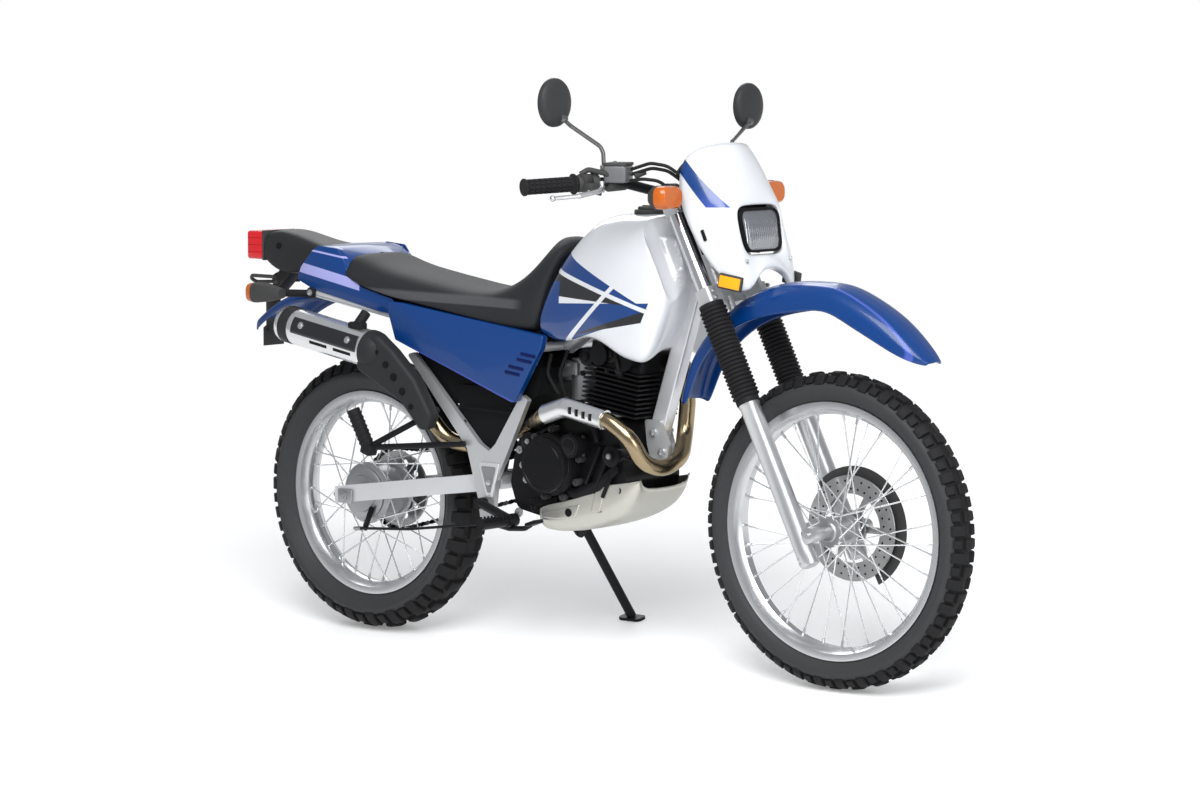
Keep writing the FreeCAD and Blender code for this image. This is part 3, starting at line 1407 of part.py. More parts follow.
def airbox():
    """The air box behind the engine, open underneath for the shock absorber."""
    shares = (
        (0.00, 0.62), (0.06, 0.46), (0.30, 0.02), (0.62, 0.00), (0.86, 0.00), (0.97, 0.20), (1.00, 0.34),
        (1.00, 0.56), (0.92, 0.70), (0.40, 0.97), (0.02, 0.98),
    )
    outline = spots((AIRBOX_REAR_X, AIRBOX_FOOT_Z), (AIRBOX_LENGTH, AIRBOX_HEIGHT), shares)
    box = side_slab(outline, -AIRBOX_HALF_WIDTH, AIRBOX_HALF_WIDTH, OVERRUN)
    room = SHOCK_RADIUS + SHOCK_ROOM
    pocket = block(
        vec(
            SHOCK_FOOT_X - room, -room, AIRBOX_FOOT_Z - OVERRUN
        ), vec(SHOCK_TOP_X + room * 1.2, room, SHOCK_TOP_Z)
    )
    low = AIRBOX_HALF_WIDTH + PANEL_STANDOFF
    high = low + PANEL_WALL
    sheet = side_slab(PANEL_OUTLINE, low, high, OVERRUN)
    flange = block(
        vec(PANEL_OUTLINE[0][0], AIRBOX_HALF_WIDTH - OVERRUN, AIRBOX_FOOT_Z + OVERRUN),
        vec(PANEL_OUTLINE[-1][0], high, PANEL_OUTLINE[0][1]),
    )
    panel = sheet.multiFuse([flange])
    return fused(box.cut(pocket), panel, mirrored(panel))


def brace_top():
    """Height of the top of the swingarm's brace, where the shock absorber stands."""
    brace_z = REAR_TYRE_RADIUS + (PIVOT_Z - REAR_TYRE_RADIUS) * BRACE_X / PIVOT_X
    return brace_z + ARM_HALF_HEIGHT * 0.7


def shock_absorber():
    """The single shock absorber, its spring drawn as a ribbed body."""
    lift = SEAT_GAP + SHOCK_EYE_RADIUS * 0.27
    foot = vec(SHOCK_FOOT_X, 0, brace_top() + lift)
    top = vec(SHOCK_TOP_X, 0, SHOCK_TOP_Z - lift)
    run = top - foot
    length = run.Length
    along = vec(run.x, run.y, run.z)
    along.normalize()
    side = along.cross(Y_AXIS)
    low = length * 0.14
    high = length * 0.86
    pitch = (high - low) / SHOCK_COILS
    eye = SHOCK_EYE_LENGTH
    profile = [
        (0, 0), (SHOCK_EYE_RADIUS, 0), (SHOCK_EYE_RADIUS, eye), (SHOCK_BODY_RADIUS, eye),
        (SHOCK_BODY_RADIUS, low)
    ]
    for k in range(SHOCK_COILS):
        profile.append((SHOCK_RADIUS, low + pitch * (k + 0.3)))
        profile.append((SHOCK_RADIUS, low + pitch * (k + 0.7)))
        profile.append((SHOCK_BODY_RADIUS + OVERRUN, low + pitch * (k + 1)))
    profile += [
        (SHOCK_BODY_RADIUS, high), (SHOCK_BODY_RADIUS, length - eye), (SHOCK_EYE_RADIUS, length - eye)
    ]
    profile += [(SHOCK_EYE_RADIUS, length), (0, length)]
    return turned(profile, foot, along, side)


def muffler_axis():
    """The front of the muffler's body and its direction towards the rear."""
    front = vec(MUFFLER_FRONT_X, -MUFFLER_Y, MUFFLER_FRONT_Z)
    rear = vec(MUFFLER_REAR_X, -MUFFLER_Y, MUFFLER_REAR_Z)
    run = rear - front
    along = vec(run.x, run.y, run.z)
    along.normalize()
    return front, along, run.Length


def header_points():
    """The exhaust pipe's route from the head, round the front and back to the muffler."""
    front, along, _ = muffler_axis()
    port_up = FIN_PITCH * FIN_COUNT + HEADER_RADIUS
    port = cylinder_point(HEAD_LENGTH / 2 + SEAT_GAP, PORT_Y, port_up)
    joint = front - along * (MUFFLER_CONE * 0.8 + SEAT_GAP)
    straight = cylinder_point(HEAD_LENGTH / 2 + HEADER_RADIUS * 2, PORT_Y, port_up)
    lead = joint - along * (HEADER_RADIUS * 1.6)
    return [port, straight] + [vec(*spot) for spot in HEADER_ROUTE] + [lead, joint]


def exhaust_header():
    return pipe(header_points(), HEADER_RADIUS, HEADER_BEND)


def shield_piece(points, radius, wall, half_angle_deg, lift=0):
    """A curved cover outside a pipe, over part of its round."""
    start = points[0]
    along = points[1] - start
    along.normalize()
    outward = vec(0, -1, 0)
    up = along.cross(outward)
    up.normalize()
    outward = up.cross(along)
    spread = math.radians(half_angle_deg)

    def ring_spot(r, angle):
        return start + outward * (r * math.cos(angle)) + up * (r * math.sin(angle))

    outer = Part.Arc(
        ring_spot(radius + wall, -spread), ring_spot(radius + wall, 0), ring_spot(radius + wall, spread)
    )
    inner = Part.Arc(ring_spot(radius, -spread), ring_spot(radius, 0), ring_spot(radius, spread))
    edges = [
        outer.toShape(),
        Part.LineSegment(ring_spot(radius + wall, spread), ring_spot(radius, spread)).toShape(),
        inner.toShape(),
        Part.LineSegment(ring_spot(radius, -spread), ring_spot(radius + wall, -spread)).toShape(),
    ]
    path = Part.Wire(rounded_edges(points, HEADER_BEND, False))
    return path.makePipeShell([Part.Wire(edges)], True, False)


def header_shield():
    """The slotted cover outside the header, between the pipe's two upper bends."""
    points = header_points()
    start = points[8] + (points[9] - points[8]) * 0.1
    end = points[10] + (points[9] - points[10]) * 0.1
    shield = shield_piece([start, points[9], end], HEADER_RADIUS + SEAT_GAP, SHIELD_WALL * 2, 70.0)
    run = points[9] - points[8]
    slots = []
    for k in range(SHIELD_SLOTS):
        spot = points[8] + run * (0.3 + 0.16 * k)
        half = vec(SHIELD_SLOT_LENGTH / 2, 0, SHIELD_SLOT_WIDTH / 2)
        slots.append(block(spot - half - Y_AXIS * HEADER_RADIUS * 2, spot + half))
    return shield.cut(slots)


def heat_shield():
    """The black cover outside the pipe where it climbs to the muffler."""
    points = header_points()
    start = points[15] + (points[16] - points[15]) * 0.1
    end = points[17] + (points[16] - points[17]) * 0.1
    cover = shield_piece([start, points[16], end], HEADER_RADIUS + SEAT_GAP * 2, SHIELD_WALL * 2, 75.0)
    plate = side_slab(SHIELD_OUTLINE, -SHIELD_Y - SHIELD_PLATE, -SHIELD_Y, OVERRUN * 2)
    plate.rotate(vec(SHIELD_OUTLINE[0][0], -SHIELD_Y, 0), Z_AXIS, SHIELD_TURN_DEG)
    spot = points[16] + (points[17] - points[16]) * 0.4
    root = spot - Y_AXIS * (HEADER_RADIUS + SHIELD_WALL * 1.5)
    inward = (root.x - SHIELD_OUTLINE[0][0]) * math.tan(math.radians(SHIELD_TURN_DEG))
    end = vec(root.x, inward - SHIELD_Y - SHIELD_PLATE / 2, root.z)
    stud = rod(root, end, SHIELD_STUD_RADIUS)
    return fused(cover, plate, stud)


def muffler():
    """The muffler: a long round body with a cone in front and its outlet behind."""
    front, along, length = muffler_axis()
    side = along.cross(Y_AXIS)
    side.normalize()
    neck = HEADER_RADIUS + SHIELD_WALL
    profile = [
        (0, -MUFFLER_CONE * 0.8), (neck, -MUFFLER_CONE * 0.8), (MUFFLER_RADIUS * 0.9, -OVERRUN),
        (MUFFLER_RADIUS, 0),
        (MUFFLER_RADIUS, length - MUFFLER_CONE * 0.7), (MUFFLER_RADIUS * 0.72, length),
        (MUFFLER_TIP_RADIUS, length),
        (MUFFLER_TIP_RADIUS, length + OVERRUN * 2), (MUFFLER_TIP_RADIUS - SHIELD_WALL, length + OVERRUN * 2),
        (MUFFLER_TIP_RADIUS - SHIELD_WALL, length - MUFFLER_CONE), (0, length - MUFFLER_CONE),
    ]
    return turned(profile, front, along, side)


def head_point(up):
    return fork_point(-STEERING_BACK, 0, up)


def head_ends():
    """The head tube's lower and upper ends, just inside the two clamps."""
    low = head_point(LOWER_CLAMP_FOOT + LOWER_CLAMP_HEIGHT + HEAD_TUBE_GAP)
    return low, head_point(UPPER_CLAMP_FOOT - HEAD_TUBE_GAP)


def backbone_tube(radius):
    """The backbone, from the head tube down to the front of the seat rails."""
    low, high = head_ends()
    join = low * 0.66 + high * 0.34
    rear = vec(RAIL_FRONT_X, 0, RAIL_FRONT_Z)
    middle = vec(join.x * 0.5 + rear.x * 0.5, 0, join.z * 0.62 + rear.z * 0.38)
    return pipe([join, middle, rear], radius, BACKBONE_RADIUS * 6)


def frame_backbone():
    """The head tube with the backbone that runs under the tank to the seat rails."""
    low, high = head_ends()
    rear = vec(RAIL_FRONT_X, 0, RAIL_FRONT_Z)
    head = rod(low, high, HEAD_TUBE_RADIUS)
    spine = backbone_tube(BACKBONE_RADIUS)
    bore = rod(low - (high - low), high + (high - low), STEM_RADIUS + SHAFT_GAP)
    reach = Y_AXIS * (RAIL_HALF_SPACING - RAIL_RADIUS - SEAT_GAP)
    cross = rod(rear - reach, rear + reach, RAIL_RADIUS)
    return fused(head, spine, cross).cut(bore)


def downtube_ends():
    """The downtube's top, against the head tube's back, and its foot above the engine's lug."""
    lead = -STEERING_BACK - HEAD_TUBE_RADIUS - DOWNTUBE_DEPTH / 2 - SEAT_GAP
    top = fork_point(lead, 0, LOWER_CLAMP_FOOT + LOWER_CLAMP_HEIGHT + DOWNTUBE_DROP)
    return top, vec(DOWNTUBE_FOOT_X, 0, DOWNTUBE_FOOT_Z)


def frame_downtube():
    """The box-section downtube from the head tube to the front of the engine."""
    top, foot = downtube_ends()
    run = foot - top
    along = vec(run.x, run.y, run.z)
    along.normalize()
    across = along.cross(Y_AXIS)
    half = across * (DOWNTUBE_DEPTH / 2)
    wide = Y_AXIS * (DOWNTUBE_HALF_WIDTH - SEAT_GAP)
    bar = closed_face([top - half - wide, top + half - wide, top + half + wide, top - half + wide], OVERRUN)
    return bar.extrude(run).cut(backbone_tube(BACKBONE_RADIUS + SEAT_GAP))


def engine_mount():
    """The two cast plates at the downtube's foot, either side of the crankcase's front lug."""
    shares = (
        (0.00, 1.00), (0.62, 1.00), (1.00, 0.55), (0.96, 0.10), (0.66, 0.00), (0.30, 0.16), (0.10, 0.52)
    )
    low = DOWNTUBE_HALF_WIDTH + SEAT_GAP
    right = spots((MOUNT_X, MOUNT_FOOT_Z), (MOUNT_LENGTH, MOUNT_HEIGHT), shares)
    left = spots((MOUNT_X, MOUNT_FOOT_Z), (MOUNT_LENGTH * 0.62, MOUNT_HEIGHT), shares)
    plates = [
        side_slab(right, -low - MOUNT_WALL, -low, OVERRUN), side_slab(left, low, low + MOUNT_WALL, OVERRUN)
    ]
    return Part.makeCompound(plates)


def pivot_outline():
    """The cast plate seen from the side: a foot, two arms and the fork between them."""
    shares = (
        (0.000, 0.985), (0.055, 1.000), (0.600, 0.470), (0.680, 0.425), (0.735, 0.475), (0.945, 0.790),
        (1.000, 0.760),
        (0.830, 0.420), (0.740, 0.250), (0.710, 0.010), (0.610, 0.000), (0.590, 0.130), (0.530, 0.330),
        (0.500, 0.430), (0.440, 0.500),
    )
    return spots((PLATE_REAR_X, PLATE_FOOT_Z), (PLATE_LENGTH, PLATE_HEIGHT), shares)


def pivot_plates():
    """The two cast pivot plates joined by the swingarm's shaft."""
    low = PLATE_INNER_Y
    plate = side_slab(pivot_outline(), low, low + PLATE_THICKNESS, OVERRUN)
    shaft = rod(
        vec(PIVOT_X, -low - OVERRUN, PIVOT_Z), vec(PIVOT_X, low + OVERRUN, PIVOT_Z), PIVOT_SHAFT_RADIUS
    )
    return fused(plate, mirrored(plate), shaft)


def rail_points(side):
    y = side * RAIL_HALF_SPACING
    return [
        vec(RAIL_FRONT_X, y, RAIL_FRONT_Z), vec(RAIL_KNEE_X, y, RAIL_KNEE_Z),
        vec(RAIL_REAR_X, y, RAIL_REAR_Z)
    ]


def seat_rails():
    """The two seat rails with their cross tubes."""
    rails = [pipe(rail_points(side), RAIL_RADIUS, RAIL_RADIUS * 8) for side in (-1, 1)]
    crosses = []
    for spot in (vec(RAIL_KNEE_X, 0, RAIL_KNEE_Z), rail_cross_spot()):
        reach = Y_AXIS * RAIL_HALF_SPACING
        crosses.append(rod(spot - reach, spot + reach, RAIL_RADIUS * 0.8))
    return fused(rails[0], rails[1], *crosses)


def swingarm():
    """The swingarm: two box-section arms, the pivot tube and a brace ahead of the tyre."""
    arms = []
    for side in (-1, 1):
        rear_y = side * ARM_REAR_Y
        front_y = side * ARM_FRONT_Y
        t = ARM_HALF_THICKNESS
        h = ARM_HALF_HEIGHT
        rear = [
            vec(-ARM_TIP, rear_y + a * t, REAR_TYRE_RADIUS + b * h) for a,
            b in ((-1, -1), (1, -1), (1, 1), (-1, 1))
        ]
        front = [
            vec(PIVOT_X, front_y + a * t, PIVOT_Z + b * h) for a, b in ((-1, -1), (1, -1), (1, 1), (-1, 1))
        ]
        arms.append(loft([rear, front]))
    reach = ARM_FRONT_Y + ARM_HALF_THICKNESS
    pivot = rod(vec(PIVOT_X, -reach, PIVOT_Z), vec(PIVOT_X, reach, PIVOT_Z), ARM_TUBE_RADIUS)
    share = BRACE_X / PIVOT_X
    brace_z = REAR_TYRE_RADIUS + (PIVOT_Z - REAR_TYRE_RADIUS) * share
    brace = block(
        vec(BRACE_X, -ARM_FRONT_Y, brace_z - ARM_HALF_HEIGHT * 0.7),
        vec(BRACE_X + BRACE_LENGTH, ARM_FRONT_Y, brace_z + ARM_HALF_HEIGHT * 0.7),
    )
    bore = rod(
        vec(PIVOT_X, -reach - OVERRUN, PIVOT_Z), vec(PIVOT_X, reach + OVERRUN, PIVOT_Z),
        PIVOT_SHAFT_RADIUS + SEAT_GAP
    )
    axle_y = ARM_REAR_Y + ARM_HALF_THICKNESS + OVERRUN
    hole = rod(REAR_AXLE - Y_AXIS * axle_y, REAR_AXLE + Y_AXIS * axle_y, REAR_AXLE_RADIUS + SEAT_GAP)
    return fused(arms[0], arms[1], pivot, brace).cut(bore).cut(hole)


def rear_axle():
    """The rear axle with its collars and the fixed brake plate on the right."""
    face = ARM_REAR_Y + ARM_HALF_THICKNESS + AXLE_FACE
    end = face + AXLE_END_LENGTH
    tip = REAR_AXLE_END_RADIUS
    taper = (ARM_REAR_Y - ARM_FRONT_Y) * (ARM_TIP + ARM_HALF_HEIGHT) / (PIVOT_X + ARM_TIP)
    arm = ARM_REAR_Y - ARM_HALF_THICKNESS - taper - SEAT_GAP
    shaft = REAR_AXLE_RADIUS
    collar = shaft * 1.8
    hub_right = -REAR_HUB_HALF_WIDTH - SEAT_GAP
    plate = REAR_HUB_BARREL_RADIUS
    sprocket = CHAIN_Y + SPROCKET_THICKNESS / 2 + SEAT_GAP
    profile = [
        (0, -end), (tip, -end), (tip, -face), (shaft, -face), (shaft, -arm), (collar, -arm),
        (collar, hub_right - HUB_FLANGE * 2),
        (plate * 0.8, hub_right - HUB_FLANGE * 2), (plate, hub_right - HUB_FLANGE), (plate, hub_right),
        (shaft, hub_right),
        (shaft, sprocket), (collar, sprocket), (collar, arm), (shaft, arm), (shaft, face), (tip, face),
        (tip, end), (0, end),
    ]
    return turned(profile, REAR_AXLE)


def chain_loop(grow, half):
    """The chain's outline: two straight runs tangent to the arcs round both sprockets."""
    rear = vec(0, half, REAR_TYRE_RADIUS)
    front = vec(DRIVE_X, half, DRIVE_Z)
    run = front - rear
    distance = run.Length
    along = run.normalize()
    normal = vec(-along.z, 0, along.x)
    big = SPROCKET_PITCH_RADIUS + grow
    small = DRIVE_PITCH_RADIUS + grow
    sine = (big - small) / distance
    cosine = math.sqrt(1 - sine**2)
    top = normal * cosine + along * sine
    foot = normal * -cosine + along * sine
    edges = [
        Part.LineSegment(rear + top * big, front + top * small).toShape(),
        Part.Arc(front + top * small, front + along * small, front + foot * small).toShape(),
        Part.LineSegment(front + foot * small, rear + foot * big).toShape(),
        Part.Arc(rear + foot * big, rear - along * big, rear + top * big).toShape(),
    ]
    return Part.Wire(edges)


def drive_chain():
    """The chain as one closed band, its outer edge notched between the links."""
    low = CHAIN_Y - CHAIN_HALF_WIDTH
    outer = Part.Face(chain_loop(CHAIN_HALF_HEIGHT, low)).extrude(vec(0, CHAIN_HALF_WIDTH * 2, 0))
    inner = Part.Face(
        chain_loop(-CHAIN_HALF_HEIGHT, low - OVERRUN)
    ).extrude(vec(0, CHAIN_HALF_WIDTH * 2 + OVERRUN * 2, 0))
    line = chain_loop(CHAIN_HALF_HEIGHT, low - OVERRUN)
    stations = line.discretize(Number=CHAIN_NOTCHES + 1)
    middle = vec(DRIVE_X / 2, low - OVERRUN, (REAR_TYRE_RADIUS + DRIVE_Z) / 2)
    notches = []
    for here, after in zip(stations, stations[1:]):
        along = after - here
        along.normalize()
        inward = along.cross(Y_AXIS)
        if inward.dot(middle - here) < 0:
            inward = inward * -1
        corners = [
            here - along * CHAIN_NOTCH - inward, here + along * CHAIN_NOTCH - inward,
            here + inward * CHAIN_NOTCH
        ]
        notches.append(closed_face(corners).extrude(Y_AXIS * (CHAIN_HALF_WIDTH + OVERRUN) * 2))
    return outer.cut(inner).cut(notches)


def chain_guard():
    """The cover over the front sprocket."""
    radius = DRIVE_PITCH_RADIUS + CHAIN_HALF_HEIGHT * 3
    start = CHAIN_Y + CHAIN_HALF_WIDTH + OVERRUN
    return rod(vec(DRIVE_X, start, DRIVE_Z), vec(DRIVE_X, start + OVERRUN * 2, DRIVE_Z), radius)


def skid_plate():
    """The skid plate: a ribbed trough under the engine, rising in front."""
    shares = (
        (0.00, 0.41), (0.01, 0.06), (0.06, 0.00), (0.24, 0.07), (0.58, 0.24), (0.84, 0.46), (0.985, 0.90),
        (0.98, 1.00), (0.44, 0.87), (0.26, 0.68),
    )
    outer = spots((SKID_REAR_X, SKID_FOOT_Z), (SKID_LENGTH, SKID_HEIGHT), shares)
    solid = side_slab(outer, -SKID_HALF_WIDTH, SKID_HALF_WIDTH, OVERRUN)
    inner = [(x, z + SKID_WALL * 1.6) for x, z in outer]
    top = SKID_FOOT_Z + SKID_HEIGHT * 2
    lifted = inner[1:7] + [
        (inner[6][0], top), (SKID_REAR_X - OVERRUN * 2, top), (SKID_REAR_X - OVERRUN * 2, inner[1][1])
    ]
    room = side_slab(lifted, -SKID_HALF_WIDTH + SKID_WALL, SKID_HALF_WIDTH - SKID_WALL)
    out = SKID_HALF_WIDTH + OVERRUN
    clutch = rod(vec(CRANK_X, 0, CRANK_Z), vec(CRANK_X, -out, CRANK_Z), CLUTCH_RIM_RADIUS + SEAT_GAP)
    magneto = rod(vec(MAGNETO_X, 0, CRANK_Z), vec(MAGNETO_X, out, CRANK_Z), MAGNETO_RADIUS + SEAT_GAP)
    return solid.cut(room).cut(clutch).cut(magneto)


TANK_SIDE_SHARES = (
    (0.00, 0.19), (0.07, 0.60), (0.16, 0.77), (0.28, 0.90), (0.42, 1.00), (0.86, 1.00), (0.93, 0.90),
    (1.00, 0.66),
    (1.00, 0.51), (0.97, 0.34), (0.86, 0.00), (0.66, 0.05), (0.56, 0.12), (0.38, 0.175), (0.20, 0.10),
)


def fuel_tank():
    """The fuel tank with its side scoops, open underneath over the backbone."""
    outline = spots((TANK_REAR_X, TANK_FOOT_Z), (TANK_LENGTH, TANK_HEIGHT), TANK_SIDE_SHARES)
    width = TANK_HALF_WIDTH
    side = side_slab(outline, -width, width, TANK_ROUND)
    front_shares = (
        (0.84, -0.02), (0.97, 0.20), (1.00, 0.45), (0.97, 0.62), (0.84, 0.80), (0.66, 0.93), (0.40, 1.02),
    )
    half = [(width * a, TANK_FOOT_Z + TANK_HEIGHT * b) for a, b in front_shares]
    front = front_slab(
        both_sides(half), TANK_REAR_X - OVERRUN, TANK_REAR_X + TANK_LENGTH + OVERRUN, TANK_ROUND * 3
    )
    plan_shares = ((-0.02, 0.72), (0.25, 0.90), (0.60, 1.00), (0.85, 1.00), (0.97, 0.90), (1.02, 0.70))
    plan_half = [(TANK_REAR_X + TANK_LENGTH * a, width * b) for a, b in plan_shares]
    plan = plan_slab(
        plan_half + [
            (x, -y) for x, y in reversed(plan_half)
        ], TANK_FOOT_Z - OVERRUN, TANK_FOOT_Z + TANK_HEIGHT + OVERRUN, TANK_ROUND * 3
    )
    tunnel = block(
        vec(TANK_REAR_X - OVERRUN, -TANK_TUNNEL_HALF_WIDTH, TANK_FOOT_Z - OVERRUN),
        vec(TANK_REAR_X + TANK_LENGTH + OVERRUN, TANK_TUNNEL_HALF_WIDTH, TANK_FOOT_Z + TANK_HEIGHT * 0.80),
    )
    head_half = HEAD_HALF_WIDTH + ROCKER_LENGTH + TANK_HEAD_ROOM
    head_top = cylinder_foot_z() + FIN_PITCH * FIN_COUNT + HEAD_HEIGHT + TANK_HEAD_ROOM
    head_room = block(
        vec(TANK_REAR_X - OVERRUN, -head_half, TANK_FOOT_Z - OVERRUN),
        vec(TANK_REAR_X + TANK_LENGTH + OVERRUN, head_half, head_top),
    )
    low, high = head_ends()
    head_tube = rod(low, high + (high - low) * 0.2, HEAD_TUBE_RADIUS + STEERING_ROOM)
    return side.common(front).common(plan).cut(tunnel).cut(head_room).cut(head_tube).cut(steering_room())


def steering_room():
    """The space that the fork tubes and the upper clamp pass through at full lock."""
    solids = []
    low = UPPER_CLAMP_FOOT - STEERING_ROOM
    for k in range(-STEERING_STEPS, STEERING_STEPS + 1):
        plate = plan_slab(clamp_outline(STEERING_ROOM), low, TUBE_TOP + STEERING_ROOM * 2)
        legs = []
        for side in (-1, 1):
            foot = vec(-AXLE_LEAD, side * FORK_HALF_SPACING, LOWER_CLAMP_FOOT)
            legs.append(rod(foot, foot + Z_AXIS * (TUBE_TOP - LOWER_CLAMP_FOOT), TUBE_RADIUS + STEERING_ROOM))
        for solid in [plate] + legs:
            solid.rotate(vec(-STEERING_BACK, 0, 0), Z_AXIS, STEERING_LOCK_DEG * k / STEERING_STEPS)
            solids.append(solid)
    return fork_place(solids[0].multiFuse(solids[1:]))


def fuel_cap():
    """The long cap piece on top of the tank."""
    low = TANK_FOOT_Z + TANK_HEIGHT + SEAT_GAP
    outline = [
        (CAP_X - CAP_LENGTH / 2, -CAP_HALF_WIDTH), (CAP_X + CAP_LENGTH / 2, -CAP_HALF_WIDTH),
        (CAP_X + CAP_LENGTH / 2, CAP_HALF_WIDTH), (CAP_X - CAP_LENGTH / 2, CAP_HALF_WIDTH),
    ]
    return plan_slab(outline, low, low + CAP_HEIGHT, CAP_HALF_WIDTH * 0.6)


SEAT_STATIONS = (
    # length along, underside, top, half width at the foot and half width of the top
    (0.0000, 0.5530, 0.5899, 0.750, 0.516),
    (0.0271, 0.5023, 0.7005, 0.875, 0.594),
    (0.0482, 0.4562, 0.7235, 0.922, 0.625),
    (0.1114, 0.3733, 0.6544, 0.969, 0.664),
    (0.2545, 0.2857, 0.5622, 1.000, 0.688),
    (0.4503, 0.1982, 0.4654, 1.000, 0.688),
    (0.5482, 0.1521, 0.4194, 1.000, 0.688),
    (0.6461, 0.1060, 0.4055, 1.000, 0.672),
    (0.7139, 0.0737, 0.4470, 0.992, 0.609),
    (0.7741, 0.0461, 0.5392, 0.977, 0.516),
    (0.8343, 0.0184, 0.7005, 0.969, 0.445),
    (0.8870, 0.0138, 0.8848, 0.961, 0.406),
    (0.9199, 0.0276, 0.9954, 0.953, 0.375),
    (0.9583, 0.6525, 0.9770, 0.781, 0.344),
    (1.0000, 0.8733, 0.9217, 0.547, 0.297),
)


def seat_section(along, low, top, foot_width, top_width):
    """The seat across the motorcycle: upright sides below, rounded in to a flat top."""
    x = SEAT_REAR_X + SEAT_LENGTH * along
    foot = SEAT_FOOT_Z + SEAT_HEIGHT * low
    crown = SEAT_FOOT_Z + SEAT_HEIGHT * top
    wide = SEAT_HALF_WIDTH * foot_width
    flat = SEAT_HALF_WIDTH * top_width
    rise = crown - foot
    half = [
        (wide, foot), (wide, foot + rise * 0.35), (wide * 0.55 + flat * 0.45, crown - rise * 0.28),
        (flat, crown - rise * 0.06), (flat * 0.55, crown),
    ]
    ring = half + [(-y, z) for y, z in reversed(half)]
    return [vec(x, y, z) for y, z in ring]


def seat():
    """The long seat, its nose up the back of the tank."""
    return loft([seat_section(*station) for station in SEAT_STATIONS])


def cover_outline():
    shares = (
        (0.000, 1.000), (1.000, 0.690), (0.985, 0.64), (0.825, 0.000), (0.80, 0.005), (0.045, 0.625),
        (0.00, 0.93),
    )
    return spots((COVER_REAR_X, COVER_FOOT_Z), (COVER_LENGTH, COVER_HEIGHT), shares)


def side_covers():
    """The two side covers, hollow behind, each with bosses to the air box."""
    outline = cover_outline()
    solid = side_slab(outline, COVER_INNER_Y, COVER_OUTER_Y, OVERRUN)
    middle_x = sum(x for x, _ in outline) / len(outline)
    middle_z = sum(z for _, z in outline) / len(outline)
    shrink = 1 - COVER_WALL * 2 / COVER_HEIGHT * 1.6
    inner = [(middle_x + (x - middle_x) * shrink, middle_z + (z - middle_z) * shrink) for x, z in outline]
    room = side_slab(inner, COVER_INNER_Y - OVERRUN, COVER_OUTER_Y - COVER_WALL, OVERRUN)
    bosses = []
    for along, up in ((0.22, 0.66), (0.72, 0.30)):
        x = COVER_REAR_X + COVER_LENGTH * along
        z = COVER_FOOT_Z + COVER_HEIGHT * up
        bosses.append(
            rod(
                vec(x, AIRBOX_HALF_WIDTH + SEAT_GAP, z), vec(x, COVER_OUTER_Y - COVER_WALL / 2, z),
                COVER_BOSS_RADIUS
            )
        )
    vents = []
    for k in range(COVER_VENTS):
        x = COVER_REAR_X + COVER_LENGTH * (0.66 + 0.055 * k)
        z = COVER_FOOT_Z + COVER_HEIGHT * 0.50
        slant = [
            (x, z), (x + COVER_VENT_WIDTH, z), (x + COVER_VENT_WIDTH * 3, z + COVER_VENT_HEIGHT),
            (x + COVER_VENT_WIDTH * 2, z + COVER_VENT_HEIGHT),
        ]
        vents.append(side_slab(slant, COVER_OUTER_Y - COVER_WALL / 2, COVER_OUTER_Y + COVER_WALL / 2))
    return pair(fused(solid.cut(room), *bosses, *vents))


def tail_cowl():
    """The tail cowl behind the seat, a channel open underneath and behind."""
    shares = (
        (1.00, 0.00), (1.00, 0.09), (0.93, 0.12), (0.72, 0.28), (0.54, 0.56), (0.51, 0.86), (0.26, 1.00),
        (0.08, 0.42), (0.00, 0.22), (0.09, 0.20), (0.62, 0.16),
    )
    outline = spots((TAIL_REAR_X, TAIL_FOOT_Z), (TAIL_LENGTH, TAIL_HEIGHT), shares)
    half = tail_half_width()
    solid = side_slab(outline, -half, half, OVERRUN)
    inner = [(x, z - TAIL_WALL * 1.4) for x, z in outline]
    low = TAIL_FOOT_Z - OVERRUN * 4
    room_outline = [
        (TAIL_REAR_X + TAIL_LENGTH + OVERRUN, low), (TAIL_REAR_X + TAIL_LENGTH + OVERRUN, inner[1][1])
    ]
    room_outline += inner[2:9] + [(TAIL_REAR_X - OVERRUN, inner[8][1]), (TAIL_REAR_X - OVERRUN, low)]
    room = side_slab(room_outline, -half + TAIL_WALL, half - TAIL_WALL)
    return solid.common(tail_front(0)).cut(room.common(tail_front(TAIL_WALL)))


def tail_front(wall):
    """The tail cowl seen from behind, upright beside the rails and narrower above them."""
    half = tail_half_width() - wall
    low = TAIL_FOOT_Z - OVERRUN * 5
    shares = ((1.00, 0.36), (0.90, 0.70), (0.74, 1.05))
    outline = [(half, low)] + [(half * a, TAIL_FOOT_Z + TAIL_HEIGHT * b) for a, b in shares]
    return front_slab(
        both_sides(outline), TAIL_REAR_X - OVERRUN * 2, TAIL_REAR_X + TAIL_LENGTH + OVERRUN * 2, OVERRUN
    )


def tail_half_width():
    """Half the tail cowl's width, its walls just outside the seat rails."""
    return RAIL_HALF_SPACING + RAIL_RADIUS + SEAT_GAP + TAIL_WALL


def rail_cross_spot():
    """The middle of the rear cross tube between the seat rails."""
    share = RAIL_RADIUS * 2 / (RAIL_KNEE_X - RAIL_REAR_X)
    return vec(RAIL_REAR_X + RAIL_RADIUS * 2, 0, RAIL_REAR_Z + (RAIL_KNEE_Z - RAIL_REAR_Z) * share)


